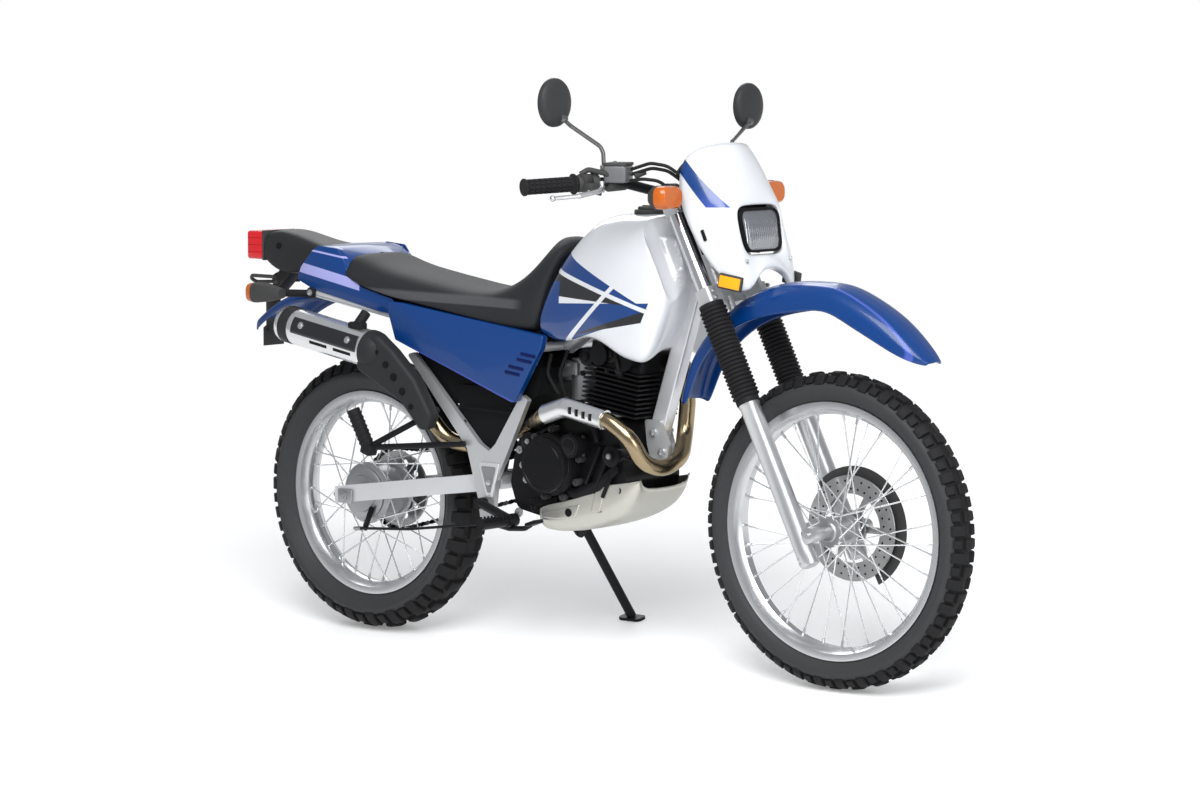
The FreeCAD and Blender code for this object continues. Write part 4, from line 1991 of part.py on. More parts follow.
def mudguard():
    """The rear mudguard, an arch under the tail that slopes down behind the wheel."""
    cross = rail_cross_spot()
    slope = math.atan2(cross.z - RAIL_RADIUS - MUDGUARD_REAR_Z, cross.x - MUDGUARD_REAR_X)
    seat_z = cross.z - (RAIL_RADIUS * 0.8 + SEAT_GAP) / math.cos(slope)
    seat_share = (MUDGUARD_FRONT_X - cross.x) / (MUDGUARD_FRONT_X - MUDGUARD_REAR_X)
    drop = (seat_z - MUDGUARD_REAR_Z) / (1 - seat_share)
    sections = []
    for share in (0.0, seat_share, 0.6, 1.0):
        x = MUDGUARD_FRONT_X + (MUDGUARD_REAR_X - MUDGUARD_FRONT_X) * share
        z = MUDGUARD_REAR_Z + drop * (1 - share)
        sections.append(
            arch_section(vec(x, 0, z), 0, MUDGUARD_HALF_WIDTH * (1 - share * 0.2), MUDGUARD_DEPTH, TAIL_WALL)
        )
    return loft(sections)


def tail_piece():
    """The black tail end that carries the tail light."""
    shares = (
        (0.993, 0.64), (0.54, 0.85), (0.14, 1.00), (0.02, 0.97), (0.00, 0.90), (0.00, 0.26), (0.18, 0.24),
        (0.40, 0.16),
        (0.56, 0.00), (0.80, 0.18),
    )
    outline = spots((TAILPIECE_REAR_X, TAILPIECE_FOOT_Z), (TAILPIECE_LENGTH, TAILPIECE_HEIGHT), shares)
    return side_slab(outline, -TAILPIECE_HALF_WIDTH, TAILPIECE_HALF_WIDTH, OVERRUN)


def tail_light():
    rear = TAILPIECE_REAR_X - SEAT_GAP - LENS_LENGTH
    outline = [
        (-LENS_HALF_WIDTH, LENS_FOOT_Z), (LENS_HALF_WIDTH, LENS_FOOT_Z),
        (LENS_HALF_WIDTH, LENS_FOOT_Z + LENS_HEIGHT), (-LENS_HALF_WIDTH, LENS_FOOT_Z + LENS_HEIGHT),
    ]
    return front_slab(outline, rear, rear + LENS_LENGTH, OVERRUN)


def rear_signals():
    """The rear turn signals, each on a stalk from the tail cowl's side."""
    pieces = []
    for side in (-1, 1):
        centre = vec(REAR_SIGNAL_X, side * REAR_SIGNAL_Y, REAR_SIGNAL_Z)
        body = signal_body(centre, REAR_SIGNAL_LENGTH, REAR_SIGNAL_HEIGHT, REAR_SIGNAL_WIDTH)
        stalk_y = RAIL_HALF_SPACING + RAIL_RADIUS + SIGNAL_STALK_RADIUS * 0.8 + SEAT_GAP
        stalk = vec(RAIL_REAR_X + RAIL_RADIUS, side * stalk_y, REAR_SIGNAL_Z)
        pieces.append(fused(body, rod(centre, stalk, SIGNAL_STALK_RADIUS)))
    return Part.makeCompound(pieces)


def plate_bracket():
    """The plate bracket and mud flap below the tail light."""
    shares = (
        (1.00, 1.00), (0.94, 1.00), (0.33, 0.73), (0.08, 0.58), (0.00, 0.00), (0.04, 0.00), (0.12, 0.57),
        (0.36, 0.71)
    )
    top = TAILPIECE_FOOT_Z + TAILPIECE_HEIGHT * 0.20 - SEAT_GAP / 2
    outline = spots(
        (BRACKET_TOP_X - BRACKET_LENGTH, top - BRACKET_HEIGHT), (BRACKET_LENGTH, BRACKET_HEIGHT), shares
    )
    return side_slab(outline, -BRACKET_HALF_WIDTH, BRACKET_HALF_WIDTH)


def foot_pegs():
    """The rider's pegs on their arms and the passenger's pegs on triangular stays."""
    pieces = []
    for side in (-1, 1):
        start = vec(PEG_X, side * PEG_INNER_Y, PEG_Z)
        free = start + Y_AXIS * side * (PEG_LENGTH - PEG_FREE_LENGTH)
        peg = fused(
            rod(start, free, PEG_ROOT_RADIUS), rod(free, start + Y_AXIS * side * PEG_LENGTH, PEG_RADIUS)
        )
        outer = side * (PLATE_INNER_Y + PLATE_THICKNESS + SEAT_GAP)
        root = vec(PIVOT_X - PEG_RADIUS * 1.4, outer, PLATE_FOOT_Z + PEG_RADIUS * 3)
        arm = rod(root + Y_AXIS * side * PEG_RADIUS, start + Y_AXIS * side * PEG_RADIUS, PEG_RADIUS * 0.8)
        foot = rod(root, root + Y_AXIS * side * PEG_RADIUS * 1.8, PEG_RADIUS)
        pieces.append(fused(peg, arm, foot))
        outer = side * (PLATE_INNER_Y + PLATE_THICKNESS + SEAT_GAP + STAY_RADIUS)
        upper = vec(PLATE_REAR_X + PLATE_LENGTH * 0.28, outer, PLATE_FOOT_Z + PLATE_HEIGHT * 0.66)
        lower = vec(PLATE_REAR_X + PLATE_LENGTH * 0.50, outer, PLATE_FOOT_Z + PLATE_HEIGHT * 0.46)
        end = vec(REAR_PEG_X, side * REAR_PEG_Y, REAR_PEG_Z)
        peg = rod(
            end, end + vec(-REAR_PEG_LENGTH * 0.3, side * REAR_PEG_LENGTH * 0.2, REAR_PEG_LENGTH * 0.9),
            REAR_PEG_RADIUS
        )
        pieces.append(fused(rod(upper, end, STAY_RADIUS), rod(lower, end, STAY_RADIUS), peg))
    return Part.makeCompound(pieces)


def stand_frame():
    """The stand's hinge axis and its leg's direction as it stands."""
    splay = math.radians(STAND_SPLAY_DEG)
    forward = math.radians(STAND_FORWARD_DEG)
    axis = vec(0, math.cos(splay), math.sin(splay))
    down = vec(0, math.sin(splay), -math.cos(splay))
    leg = X_AXIS * math.sin(forward) + down * math.cos(forward)
    return axis, leg


def ground_height(y):
    """Height of the leaned floor in the upright frame, beside the tyres' contact line."""
    lean = math.radians(LEAN_DEG)
    crown = (FRONT_CROWN_RADIUS + REAR_CROWN_RADIUS) / 2
    return (y * math.sin(lean) - crown * (1 - math.cos(lean))) / math.cos(lean)


def side_stand():
    """The side stand on the left, its foot flat on the floor as the motorcycle leans."""
    axis, leg = stand_frame()
    pivot = vec(STAND_PIVOT_X, STAND_PIVOT_Y, STAND_PIVOT_Z)
    lean = math.radians(LEAN_DEG)
    drop = -leg.z + leg.y * math.tan(lean)
    clear = pivot.z - ground_height(pivot.y) - STAND_FOOT_THICKNESS / math.cos(lean)
    length = clear / drop
    end = pivot + leg * length
    shank = rod(pivot + leg * STAND_RADIUS, end, STAND_RADIUS)
    eye = rod(pivot - axis * STAND_EAR, pivot + axis * STAND_EAR, STAND_RADIUS * 1.3)
    up = vec(0, -math.sin(lean), math.cos(lean))
    side = vec(0, math.cos(lean), math.sin(lean))
    half_x = X_AXIS * (STAND_FOOT_LENGTH / 2)
    half_y = side * (STAND_FOOT_WIDTH / 2)
    low = end - up * (STAND_FOOT_THICKNESS)
    corners = [low - half_x - half_y, low + half_x - half_y, low + half_x + half_y, low - half_x + half_y]
    foot = closed_face(corners, OVERRUN * 2).extrude(up * STAND_FOOT_THICKNESS)
    floor = closed_face(
        [low - half_x * 3 - half_y * 3, low + half_x * 3 - half_y * 3, low + half_x * 3 + half_y * 3, low - half_x * 3 + half_y * 3]
    ).extrude(up * -STAND_FOOT_LENGTH)
    return fused(shank, eye, foot).cut(floor)


def stand_bracket():
    """The bracket that carries the stand's pin, on the left pivot plate's foot."""
    axis, leg = stand_frame()
    pivot = vec(STAND_PIVOT_X, STAND_PIVOT_Y, STAND_PIVOT_Z)
    inner = pivot - axis * (STAND_EAR + SEAT_GAP)
    boss = rod(inner - axis * STAND_EAR, inner, STAND_RADIUS * 1.3)
    face = PLATE_INNER_Y + PLATE_THICKNESS + SEAT_GAP
    root = vec(PIVOT_X - STAND_EAR * 2, face, PLATE_FOOT_Z + STAND_EAR * 1.3)
    foot = rod(root, root + Y_AXIS * STAND_EAR, STAND_EAR)
    arm = rod(root + Y_AXIS * STAND_EAR, inner - axis * (STAND_EAR / 2), STAND_EAR)
    room = rod(inner + axis * SEAT_GAP / 2, inner + axis * STAND_EAR * 4, STAND_RADIUS * 5)
    return fused(boss, arm, foot).cut(room)


def lean_place(shape):
    """Leans a shape to the left by the parking angle."""
    moved = shape.copy()
    moved.rotate(vec(0, 0, 0), X_AXIS, -LEAN_DEG)
    return moved


def build_pieces():
    """Every node by name, upright."""
    return {
        "front_tyre": tyre_shape(FRONT_AXLE, FRONT_TYRE_RADIUS, FRONT_TYRE_HALF_WIDTH, FRONT_CROWN_RADIUS,
                                 FRONT_RIM_RADIUS, FRONT_RIM_HALF_WIDTH, FRONT_TREAD_ROWS),
        "front_rim": rim_shape(FRONT_AXLE, FRONT_RIM_RADIUS, FRONT_RIM_HALF_WIDTH),
        "front_hub": front_hub(),
        "front_disc": front_disc(),
        "rear_tyre": tyre_shape(REAR_AXLE, REAR_TYRE_RADIUS, REAR_TYRE_HALF_WIDTH, REAR_CROWN_RADIUS,
                                REAR_RIM_RADIUS, REAR_RIM_HALF_WIDTH, REAR_TREAD_ROWS),
        "rear_rim": rim_shape(REAR_AXLE, REAR_RIM_RADIUS, REAR_RIM_HALF_WIDTH),
        "rear_hub": rear_hub(),
        "rear_sprocket": rear_sprocket(),
        "front_axle": front_axle(),
        "fork_clamps": fork_clamps(),
        "fork_tubes": fork_tubes(),
        "fork_sliders": fork_sliders(),
        "fork_gaiters": fork_gaiters(),
        "handlebar": handlebar(),
        "handle_grips": handle_grips(),
        "hand_controls": hand_controls(),
        "mirrors": mirrors(),
        "headlight_cowl": headlight_cowl(),
        "headlight": headlight(),
        "lamp_stays": lamp_stays(),
        "instruments": instruments(),
        "front_fender": front_fender(),
        "front_signals": front_signals(),
        "fork_reflectors": fork_reflectors(),
        "brake_caliper": brake_caliper(),
        "disc_guard": disc_guard(),
        "engine_cases": engine_cases(),
        "engine_top_end": engine_top_end(),
        "carburettor": carburettor(),
        "airbox": airbox(),
        "shock_absorber": shock_absorber(),
        "exhaust_header": exhaust_header(),
        "header_shield": header_shield(),
        "heat_shield": heat_shield(),
        "muffler": muffler(),
        "frame_backbone": frame_backbone(),
        "frame_downtube": frame_downtube(),
        "engine_mount": engine_mount(),
        "pivot_plates": pivot_plates(),
        "seat_rails": seat_rails(),
        "swingarm": swingarm(),
        "rear_axle": rear_axle(),
        "drive_chain": drive_chain(),
        "chain_guard": chain_guard(),
        "skid_plate": skid_plate(),
        "fuel_tank": fuel_tank(),
        "fuel_cap": fuel_cap(),
        "seat": seat(),
        "side_covers": side_covers(),
        "tail_cowl": tail_cowl(),
        "rear_fender": mudguard(),
        "tail_piece": tail_piece(),
        "tail_light": tail_light(),
        "rear_signals": rear_signals(),
        "plate_bracket": plate_bracket(),
        "foot_pegs": foot_pegs(),
        "stand_bracket": stand_bracket(),
        "side_stand": side_stand(),
    }


def parked(pieces):
    """The pieces leaned on the stand, with the middle of their floor area at the origin."""
    leaned = {name: lean_place(shape) for name, shape in pieces.items()}
    boxes = [shape.optimalBoundingBox(False, False) for shape in leaned.values()]
    middle_x = (min(b.XMin for b in boxes) + max(b.XMax for b in boxes)) / 2
    middle_y = (min(b.YMin for b in boxes) + max(b.YMax for b in boxes)) / 2
    shift = vec(-middle_x, -middle_y, -min(b.ZMin for b in boxes))
    for shape in leaned.values():
        shape.translate(shift)
    return leaned, shift


def main():
    os.makedirs("parts", exist_ok=True)
    leaned, shift = parked(build_pieces())
    for name, shape in leaned.items():
        shape.exportStep(os.path.join("parts", name + ".step"))
    print("parked by a shift of", [round(value, 3) for value in shift])
    return leaned, shift


if __name__ == "__main__":
    main()
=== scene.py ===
"""A dual sport motorcycle leaning on its side stand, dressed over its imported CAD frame.

Every sub-assembly is a dataclass whose fields are its sizes in millimetres, in the upright
frame: X = 0 at the rear axle and +X forward, +Y to the rider's left, Z = 0 at the ground.
The finished meshes are carried to the parked place and ride on the CAD bodies.
"""

import json
import logging
import math
from dataclasses import dataclass
from enum import Enum
from typing import Callable, Optional, Sequence

import bmesh
import bpy
from bmesh.types import BMesh
from bpy.types import Material, Node, NodeSocket, NodeTree, Object
from mathutils import Matrix, Vector


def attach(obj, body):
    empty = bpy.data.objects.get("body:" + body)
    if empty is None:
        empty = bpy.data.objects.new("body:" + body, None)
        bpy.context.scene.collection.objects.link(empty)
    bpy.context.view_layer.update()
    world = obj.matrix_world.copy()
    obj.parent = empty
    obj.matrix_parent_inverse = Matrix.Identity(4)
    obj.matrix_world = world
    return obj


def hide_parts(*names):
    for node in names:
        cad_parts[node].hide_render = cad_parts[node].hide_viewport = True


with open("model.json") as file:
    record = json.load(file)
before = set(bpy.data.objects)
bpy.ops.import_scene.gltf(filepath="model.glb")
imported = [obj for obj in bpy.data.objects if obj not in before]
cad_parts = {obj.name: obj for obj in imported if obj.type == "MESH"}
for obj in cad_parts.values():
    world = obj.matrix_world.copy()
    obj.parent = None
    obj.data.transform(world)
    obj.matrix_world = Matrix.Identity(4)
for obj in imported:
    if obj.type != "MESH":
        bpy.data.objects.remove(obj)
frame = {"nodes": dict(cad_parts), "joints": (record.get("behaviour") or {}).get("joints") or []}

LOG = logging.getLogger("motorcycle")
LEAN = math.radians(10.0)
WHEELBASE = 1350.0
RAKE_DEG = 26.5
RAKE = math.radians(RAKE_DEG)
FRONT_RADIUS = 345.0
REAR_RADIUS = 325.0
AXLE_LEAD = 37.0
STEERING_BACK = 63.0
FORK_HALF = 88.0
MM = 0.001
UP = Vector((0, 0, 1))
PLACE = "place"
BLUE_RGB = (0.0, 0.036, 0.175)
WHITE_RGB = (0.64, 0.66, 0.69)

Point = Sequence[float]


class Body(Enum):
    """The CAD bodies that a piece can ride on."""

    CHASSIS = "chassis"
    STEERING = "steering"
    FRONT_WHEEL = "front_wheel"
    REAR_WHEEL = "rear_wheel"
    STAND = "side_stand"


class Plane(Enum):
    """The plane in which an outline is drawn."""

    SIDE = "xz"
    FRONT = "yz"


def parked_matrix() -> Matrix:
    """The matrix from upright millimetres to the parked row frame in metres.

    Returns:
        The matrix, found from the rear wheel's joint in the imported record.
    """
    spots = {joint["name"]: joint for joint in frame["joints"]}
    axle = Vector(spots["rear_wheel_spin"]["pos_m"])
    turn = Matrix.Rotation(-LEAN, 4, "X")
    shift = axle - turn @ Vector((0, 0, REAR_RADIUS * MM))
    return Matrix.Translation(shift) @ turn @ Matrix.Scale(MM, 4)


PARKED = parked_matrix()
PARKED_TURN = Matrix.Rotation(-LEAN, 4, "X")


def fork_point(lead: float, y: float, up: float) -> Vector:
    """A point ahead of the front axle and up along the fork, in the upright frame.

    Args:
        lead: Distance ahead of the axle, square to the legs.
        y: Distance to the left of the middle plane.
        up: Distance up along the legs.

    Returns:
        The point in upright millimetres.
    """
    x = lead * math.cos(RAKE) - up * math.sin(RAKE)
    z = lead * math.sin(RAKE) + up * math.cos(RAKE)
    return Vector((WHEELBASE + x, y, FRONT_RADIUS + z))


class Nodes:
    """A short way to write shader nodes."""

    def __init__(self, tree: NodeTree) -> None:
        """Clears the tree and links a new shader to a new output.

        Args:
            tree: The material's tree.
        """
        self.tree = tree
        tree.nodes.clear()
        self.output = tree.nodes.new("ShaderNodeOutputMaterial")
        self.shader = tree.nodes.new("ShaderNodeBsdfPrincipled")
        tree.links.new(self.shader.outputs["BSDF"], self.output.inputs["Surface"])

    def add(self, kind: str, inputs: Optional[dict] = None, **settings: object) -> Node:
        """Adds a node.

        Args:
            kind: Its type.
            inputs: Its inputs by key, each a socket or a plain value.
            **settings: Its other settings.

        Returns:
            The node.
        """
        node = self.tree.nodes.new(kind)
        for key, value in settings.items():
            setattr(node, key, value)
        for key, value in (inputs or {}).items():
            self.set(node, key, value)
        return node

    def set(self, node: Node, key: object, value: object) -> None:
        """Links a socket to an input, or writes a plain value on it.

        Args:
            node: The node.
            key: The input's name or number.
            value: The socket or the value.
        """
        if isinstance(value, NodeSocket):
            self.tree.links.new(value, node.inputs[key])
        else:
            node.inputs[key].default_value = value

    def math(self, operation: str, a: object, b: object = 0.0, clamp: bool = False) -> NodeSocket:
        """The result of a math node."""
        node = self.add("ShaderNodeMath", {0: a, 1: b}, operation=operation, use_clamp=clamp)
        return node.outputs[0]

    def times(self, a: object, b: object) -> NodeSocket:
        """The product of two values."""
        return self.math("MULTIPLY", a, b)

    def plus(self, a: object, b: object) -> NodeSocket:
        """The sum of two values."""
        return self.math("ADD", a, b)

    def minus(self, a: object, b: object) -> NodeSocket:
        """The first value less the second."""
        return self.math("SUBTRACT", a, b)

    def inverse(self, share: object) -> NodeSocket:
        """What is left of 1 after a share."""
        return self.math("SUBTRACT", 1.0, share)

    def slope(self, value: object, start: float, rate: float, base: float) -> NodeSocket:
        """A straight line: its base at the start, changing by the rate."""
        return self.plus(self.times(self.minus(value, start), rate), base)

    def size(self, value: object) -> NodeSocket:
        """A value without its sign."""
        return self.math("ABSOLUTE", value)

    def band(self, value: object, low: object, high: object, soft: float) -> NodeSocket:
        """1 between two limits, 0 outside them."""
        return self.times(self.edge(value, low, soft), self.inverse(self.edge(value, high, soft)))

    def paint(self, color: object) -> None:
        """Sets the surface's colour."""
        self.set(self.shader, "Base Color", color)

    def mix(self, share: object, a: object, b: object) -> NodeSocket:
        """A colour between a and b.

        Args:
            share: Share of b.
            a: A socket, or a colour of three parts.
            b: The same.

        Returns:
            The mixed colour's socket.
        """
        node = self.tree.nodes.new("ShaderNodeMix")
        node.data_type = "RGBA"
        self.set(node, 0, share)
        for key, color in ((6, a), (7, b)):
            self.set(node, key, color if isinstance(color, NodeSocket) else (*color, 1.0))
        return node.outputs[2]

    def place(self) -> tuple:
        """The place of the shaded point.

        Returns:
            Its upright X, Y and Z, in metres.
        """
        spot = self.add("ShaderNodeAttribute", attribute_name=PLACE)
        split = self.add("ShaderNodeSeparateXYZ", {0: spot.outputs["Vector"]})
        return split.outputs[0], split.outputs[1], split.outputs[2]

    def edge(self, value: object, limit: object, soft: float = 0.0006) -> NodeSocket:
        """1 where the value passes the limit, 0 below it, with a thin soft edge."""
        gap = self.math("SUBTRACT", value, limit)
        return self.math("ADD", self.math("DIVIDE", gap, soft), 0.5, clamp=True)


@dataclass(frozen=True)
class Finish:
    """The look of a surface.

    Attributes:
        name: The material's name.
        color: Linear base colour.
        slot: The record's material slot.
        metallic: Share of metal.
        roughness: Roughness of the reflection.
        coat: Weight of a clear coat.
        grain: Size of the surface grain, in metres, or 0 for none.
        bump: Height of the grain, in metres.
        mottle: Share by which the grain darkens the colour.
        glow: Strength of its own light.
        paint: Adds a pattern to the shader.
    """

    name: str
    color: tuple
    slot: str
    metallic: float = 0.0
    roughness: float = 0.5
    coat: float = 0.0
    grain: float = 0.0
    bump: float = 0.0
    mottle: float = 0.0
    glow: float = 0.0
    paint: Optional[Callable] = None

    def material(self) -> Material:
        """The material, built once.

        Returns:
            The new or known material.
        """
        known = bpy.data.materials.get(self.name)
        if known is not None:
            return known
        made = bpy.data.materials.new(self.name)
        made.use_nodes = True
        nodes = Nodes(made.node_tree)
        values = {"Base Color": (*self.color, 1.0), "Metallic": self.metallic, "Roughness": self.roughness,
                  "Coat Weight": self.coat, "Coat Roughness": 0.06, "Specular IOR Level": self._specular()}
        if self.glow:
            values.update({"Emission Color": (*self.color, 1.0), "Emission Strength": self.glow})
        for key, value in values.items():
            nodes.set(nodes.shader, key, value)
        if self.grain:
            self._grain(nodes)
        if self.paint is not None:
            self.paint(nodes)
        return made

    def _specular(self) -> float:
        """The strength of the plain reflection, weaker on dark colours."""
        dark = 0.3 if max(self.color) > 0.1 else 0.13
        return 0.5 if min(self.color) > 0.05 else dark

    def _grain(self, nodes: Nodes) -> None:
        """Adds the surface grain to the shader.

        Args:
            nodes: The finish's shader.
        """
        spot = nodes.add("ShaderNodeTexCoord")
        noise = nodes.add("ShaderNodeTexNoise", {"Vector": spot.outputs["Object"],
                                                 "Scale": 1 / self.grain, "Detail": 4.0})
        if self.bump:
            bump = nodes.add("ShaderNodeBump", {"Height": noise.outputs["Fac"],
                                                "Distance": self.bump, "Strength": 1.0})
            nodes.set(nodes.shader, "Normal", bump.outputs["Normal"])
        if self.mottle:
            dark = tuple(part * (1 - self.mottle) for part in self.color)
            nodes.paint(nodes.mix(noise.outputs["Fac"], dark, self.color))


class Look:
    """Every finish of the motorcycle."""

    TYRE = Finish("tyre", (0.016, 0.016, 0.017), "tyre_rubber", roughness=0.62, grain=0.004,
                  bump=0.0002, mottle=0.3)
    SIDEWALL = Finish("sidewall", (0.045, 0.046, 0.048), "tyre_rubber", roughness=0.5,
                      grain=0.006, mottle=0.2)
    RIM = Finish("rim", (0.56, 0.57, 0.58), "rim_silver", metallic=0.95, roughness=0.27)
    SPOKE = Finish("spoke", (0.80, 0.81, 0.82), "rim_silver", metallic=0.9, roughness=0.22)
    HUB = Finish("hub", (0.40, 0.41, 0.42), "hub_grey", metallic=0.85, roughness=0.42,
                 grain=0.004, mottle=0.15)
    DISC = Finish("disc", (0.42, 0.42, 0.42), "disc_steel", metallic=1.0, roughness=0.3)
    BLACK = Finish("black_plastic", (0.010, 0.010, 0.011), "black_plastic", roughness=0.42)
    SATIN_BLACK = Finish("satin_black", (0.009, 0.009, 0.010), "black_steel", roughness=0.36)
    # A darker copy of the black plastic for parts that sit in shade under the seat: painted shade.
    SHADE_BLACK = Finish("shade_black", (0.0045, 0.005, 0.0055), "black_plastic", roughness=0.62)
    GREY_PLASTIC = Finish("grey_plastic", (0.024, 0.0245, 0.026), "black_plastic", roughness=0.48,
                          grain=0.002, bump=0.0001)
    RUBBER = Finish("rubber", (0.014, 0.014, 0.015), "black_rubber", roughness=0.6)
    FORK = Finish("fork", (0.54, 0.55, 0.56), "fork_silver", metallic=0.9, roughness=0.32)
    PLATED = Finish("plated", (0.70, 0.71, 0.73), "plated_steel", metallic=1.0, roughness=0.2)
    ALLOY = Finish("alloy", (0.62, 0.63, 0.64), "lever_alloy", metallic=0.9, roughness=0.32)
    CAST = Finish("cast", (0.60, 0.61, 0.62), "cast_silver", metallic=0.7, roughness=0.42,
                  grain=0.003, mottle=0.12)
    WHITE = Finish("white", WHITE_RGB, "cowl_white", roughness=0.28, coat=0.6)
    BLUE = Finish("blue", BLUE_RGB, "blue_plastic", roughness=0.38, coat=0.3)
    AMBER = Finish("amber", (0.46, 0.10, 0.006), "amber_lens", roughness=0.22, coat=0.5, glow=0.03)
    # Amber of the side reflectors, with a glow of its own: painted light, as they are no lamps.
    AMBER_PAINTED_GLOW = Finish("amber_painted_glow", (0.85, 0.33, 0.01), "amber_lens", roughness=0.3, glow=0.15)
    RED = Finish("red", (0.55, 0.006, 0.012), "red_lens", roughness=0.22, coat=0.5, glow=0.12)
    ENGINE = Finish("engine", (0.008, 0.008, 0.009), "engine_black", metallic=0.1, roughness=0.28,
                    grain=0.003, bump=0.00008)
    ENGINE_GREY = Finish("engine_grey", (0.05, 0.05, 0.052), "engine_black", metallic=0.3, roughness=0.36)
    BRONZE = Finish("bronze", (0.33, 0.26, 0.16), "header_bronze", metallic=1.0, roughness=0.22)
    MUFFLER = Finish("muffler", (0.72, 0.73, 0.74), "muffler_silver", metallic=0.9, roughness=0.26)
    FRAME = Finish("frame", (0.68, 0.69, 0.71), "frame_silver", metallic=0.55, roughness=0.34, coat=0.2)
    SKID = Finish("skid", (0.56, 0.55, 0.50), "skid_alloy", metallic=0.8, roughness=0.36,
                  grain=0.02, mottle=0.1)
    CHAIN = Finish("chain", (0.10, 0.10, 0.10), "chain_steel", metallic=0.8, roughness=0.4)
    SEAT = Finish("seat", (0.040, 0.041, 0.044), "seat_vinyl", roughness=0.42, grain=0.0018, bump=0.00012)
    AXLE = Finish("axle", (0.50, 0.51, 0.52), "axle_steel", metallic=0.9, roughness=0.3)
    BOLT = Finish("bolt", (0.55, 0.56, 0.57), "axle_steel", metallic=0.9, roughness=0.3)
    # Flat black for the lamp's bezel, and as painted shade in holes, slots and recesses.
    DARK = Finish("dark", (0.006, 0.006, 0.006), "black_plastic", roughness=0.7)
    CHROME = Finish("chrome", (0.82, 0.83, 0.85), "lamp_clear", metallic=1.0, roughness=0.12)
    COVER_BLACK = Finish("cover_black", (0.009, 0.009, 0.010), "engine_black", metallic=0.2, roughness=0.2)
    # Dark chrome of the muffler's guard: a painted reflection of dark surroundings.
    GUARD_PAINTED_REFLECTION = Finish("guard_painted_reflection", (0.09, 0.09, 0.10), "muffler_silver", metallic=1.0, roughness=0.16)
    PIVOT_SHADE = Finish("pivot_shade", (0.26, 0.265, 0.28), "cast_silver", metallic=0.6, roughness=0.45)
    CYLINDER_GREY = Finish("cylinder_grey", (0.12, 0.122, 0.13), "black_plastic", roughness=0.38)
    MIRROR_BACK = Finish("mirror_back", (0.035, 0.036, 0.038), "black_plastic", roughness=0.42)
    MIRROR_STEM = Finish("mirror_stem", (0.16, 0.16, 0.165), "black_steel", metallic=0.8, roughness=0.35)
    CLOCK_FACE = Finish("clock_face", (0.03, 0.032, 0.036), "black_plastic", roughness=0.08, coat=1.0)
    # Darker blue in the side covers' slots: painted shade.
    SLOT_SHADE_BLUE = Finish("slot_shade_blue", (0.002, 0.009, 0.07), "blue_plastic", roughness=0.4)
    RED_DEEP = Finish("red_deep", (0.28, 0.003, 0.006), "red_lens", roughness=0.3)


def turned(deg: float, axis: str = "Y") -> Matrix:
    """A turn by degrees about an axis."""
    return Matrix.Rotation(math.radians(deg), 3, axis)


def spoke(turn: float) -> Vector:
    """A direction square to the wheels' axles, turned from +X upwards."""
    return Vector((math.cos(turn), 0, math.sin(turn)))


def rounded(points: Sequence[Point], radius: float, closed: bool = False, steps: int = 5) -> list:
    """Straight runs joined by arcs.

    Args:
        points: Corners, in two or three sizes each.
        radius: Largest radius of an arc.
        closed: True if the last corner joins the first.
        steps: Number of chords in an arc.

    Returns:
        The points along the runs and arcs.
    """
    corners = [Vector(p).to_3d() for p in points]
    count = len(corners)
    line = []
    for i, here in enumerate(corners):
        if not closed and i in (0, count - 1):
            line.append(here)
            continue
        before = corners[i - 1] - here
        after = corners[(i + 1) % count] - here
        angle = math.pi - before.angle(after)
        if angle < 0.02 or radius <= 0:
            line.append(here)
            continue
        cut = min(radius * math.tan(angle / 2), 0.45 * min(before.length, after.length))
        start = here + before.normalized() * cut
        end = here + after.normalized() * cut
        for k in range(steps + 1):
            share = k / steps
            line.append(start.lerp(here, share).lerp(here.lerp(end, share), share))
    return line


def skin(bm: BMesh, rings: Sequence[Sequence[Point]], wrap: bool = True, ends: bool = False) -> list:
    """A surface over rows of points.

    Args:
        bm: The mesh that gets the surface.
        rings: Rows with the same number of points.
        wrap: True if each row closes on itself.
        ends: True to close the first and last row.

    Returns:
        The rows of vertices.
    """
    rows = [[bm.verts.new(Vector(p).to_3d()) for p in ring] for ring in rings]
    count = len(rows[0])
    for low, high in zip(rows, rows[1:]):
        for i in range(count if wrap else count - 1):
            j = (i + 1) % count
            bm.faces.new((low[i], low[j], high[j], high[i]))
    if ends:
        bm.faces.new(list(reversed(rows[0])))
        bm.faces.new(rows[-1])
    return rows


def revolve(bm: BMesh, profile: Sequence[Point], centre: Point, axis: Point, steps: int = 72) -> None:
    """A profile spun once round an axis.

    Args:
        bm: The mesh that gets the surface.
        profile: Radius and place along the axis of each corner.
        centre: Where the axis starts.
        axis: Its direction.
        steps: Number of chords round it.
    """
    along = Vector(axis).normalized()
    helper = Vector((1, 0, 0)) if abs(along.x) < 0.9 else UP
    side = along.cross(helper).normalized()
    middle = Vector(centre)
    verts = [bm.verts.new(middle + side * r + along * a) for r, a in profile]
    edges = [bm.edges.new(ends) for ends in zip(verts, verts[1:])]
    bmesh.ops.spin(bm, geom=verts + edges, cent=middle, axis=along, angle=math.tau,
                   steps=steps, use_merge=True)
    bmesh.ops.remove_doubles(bm, verts=bm.verts, dist=0.001)


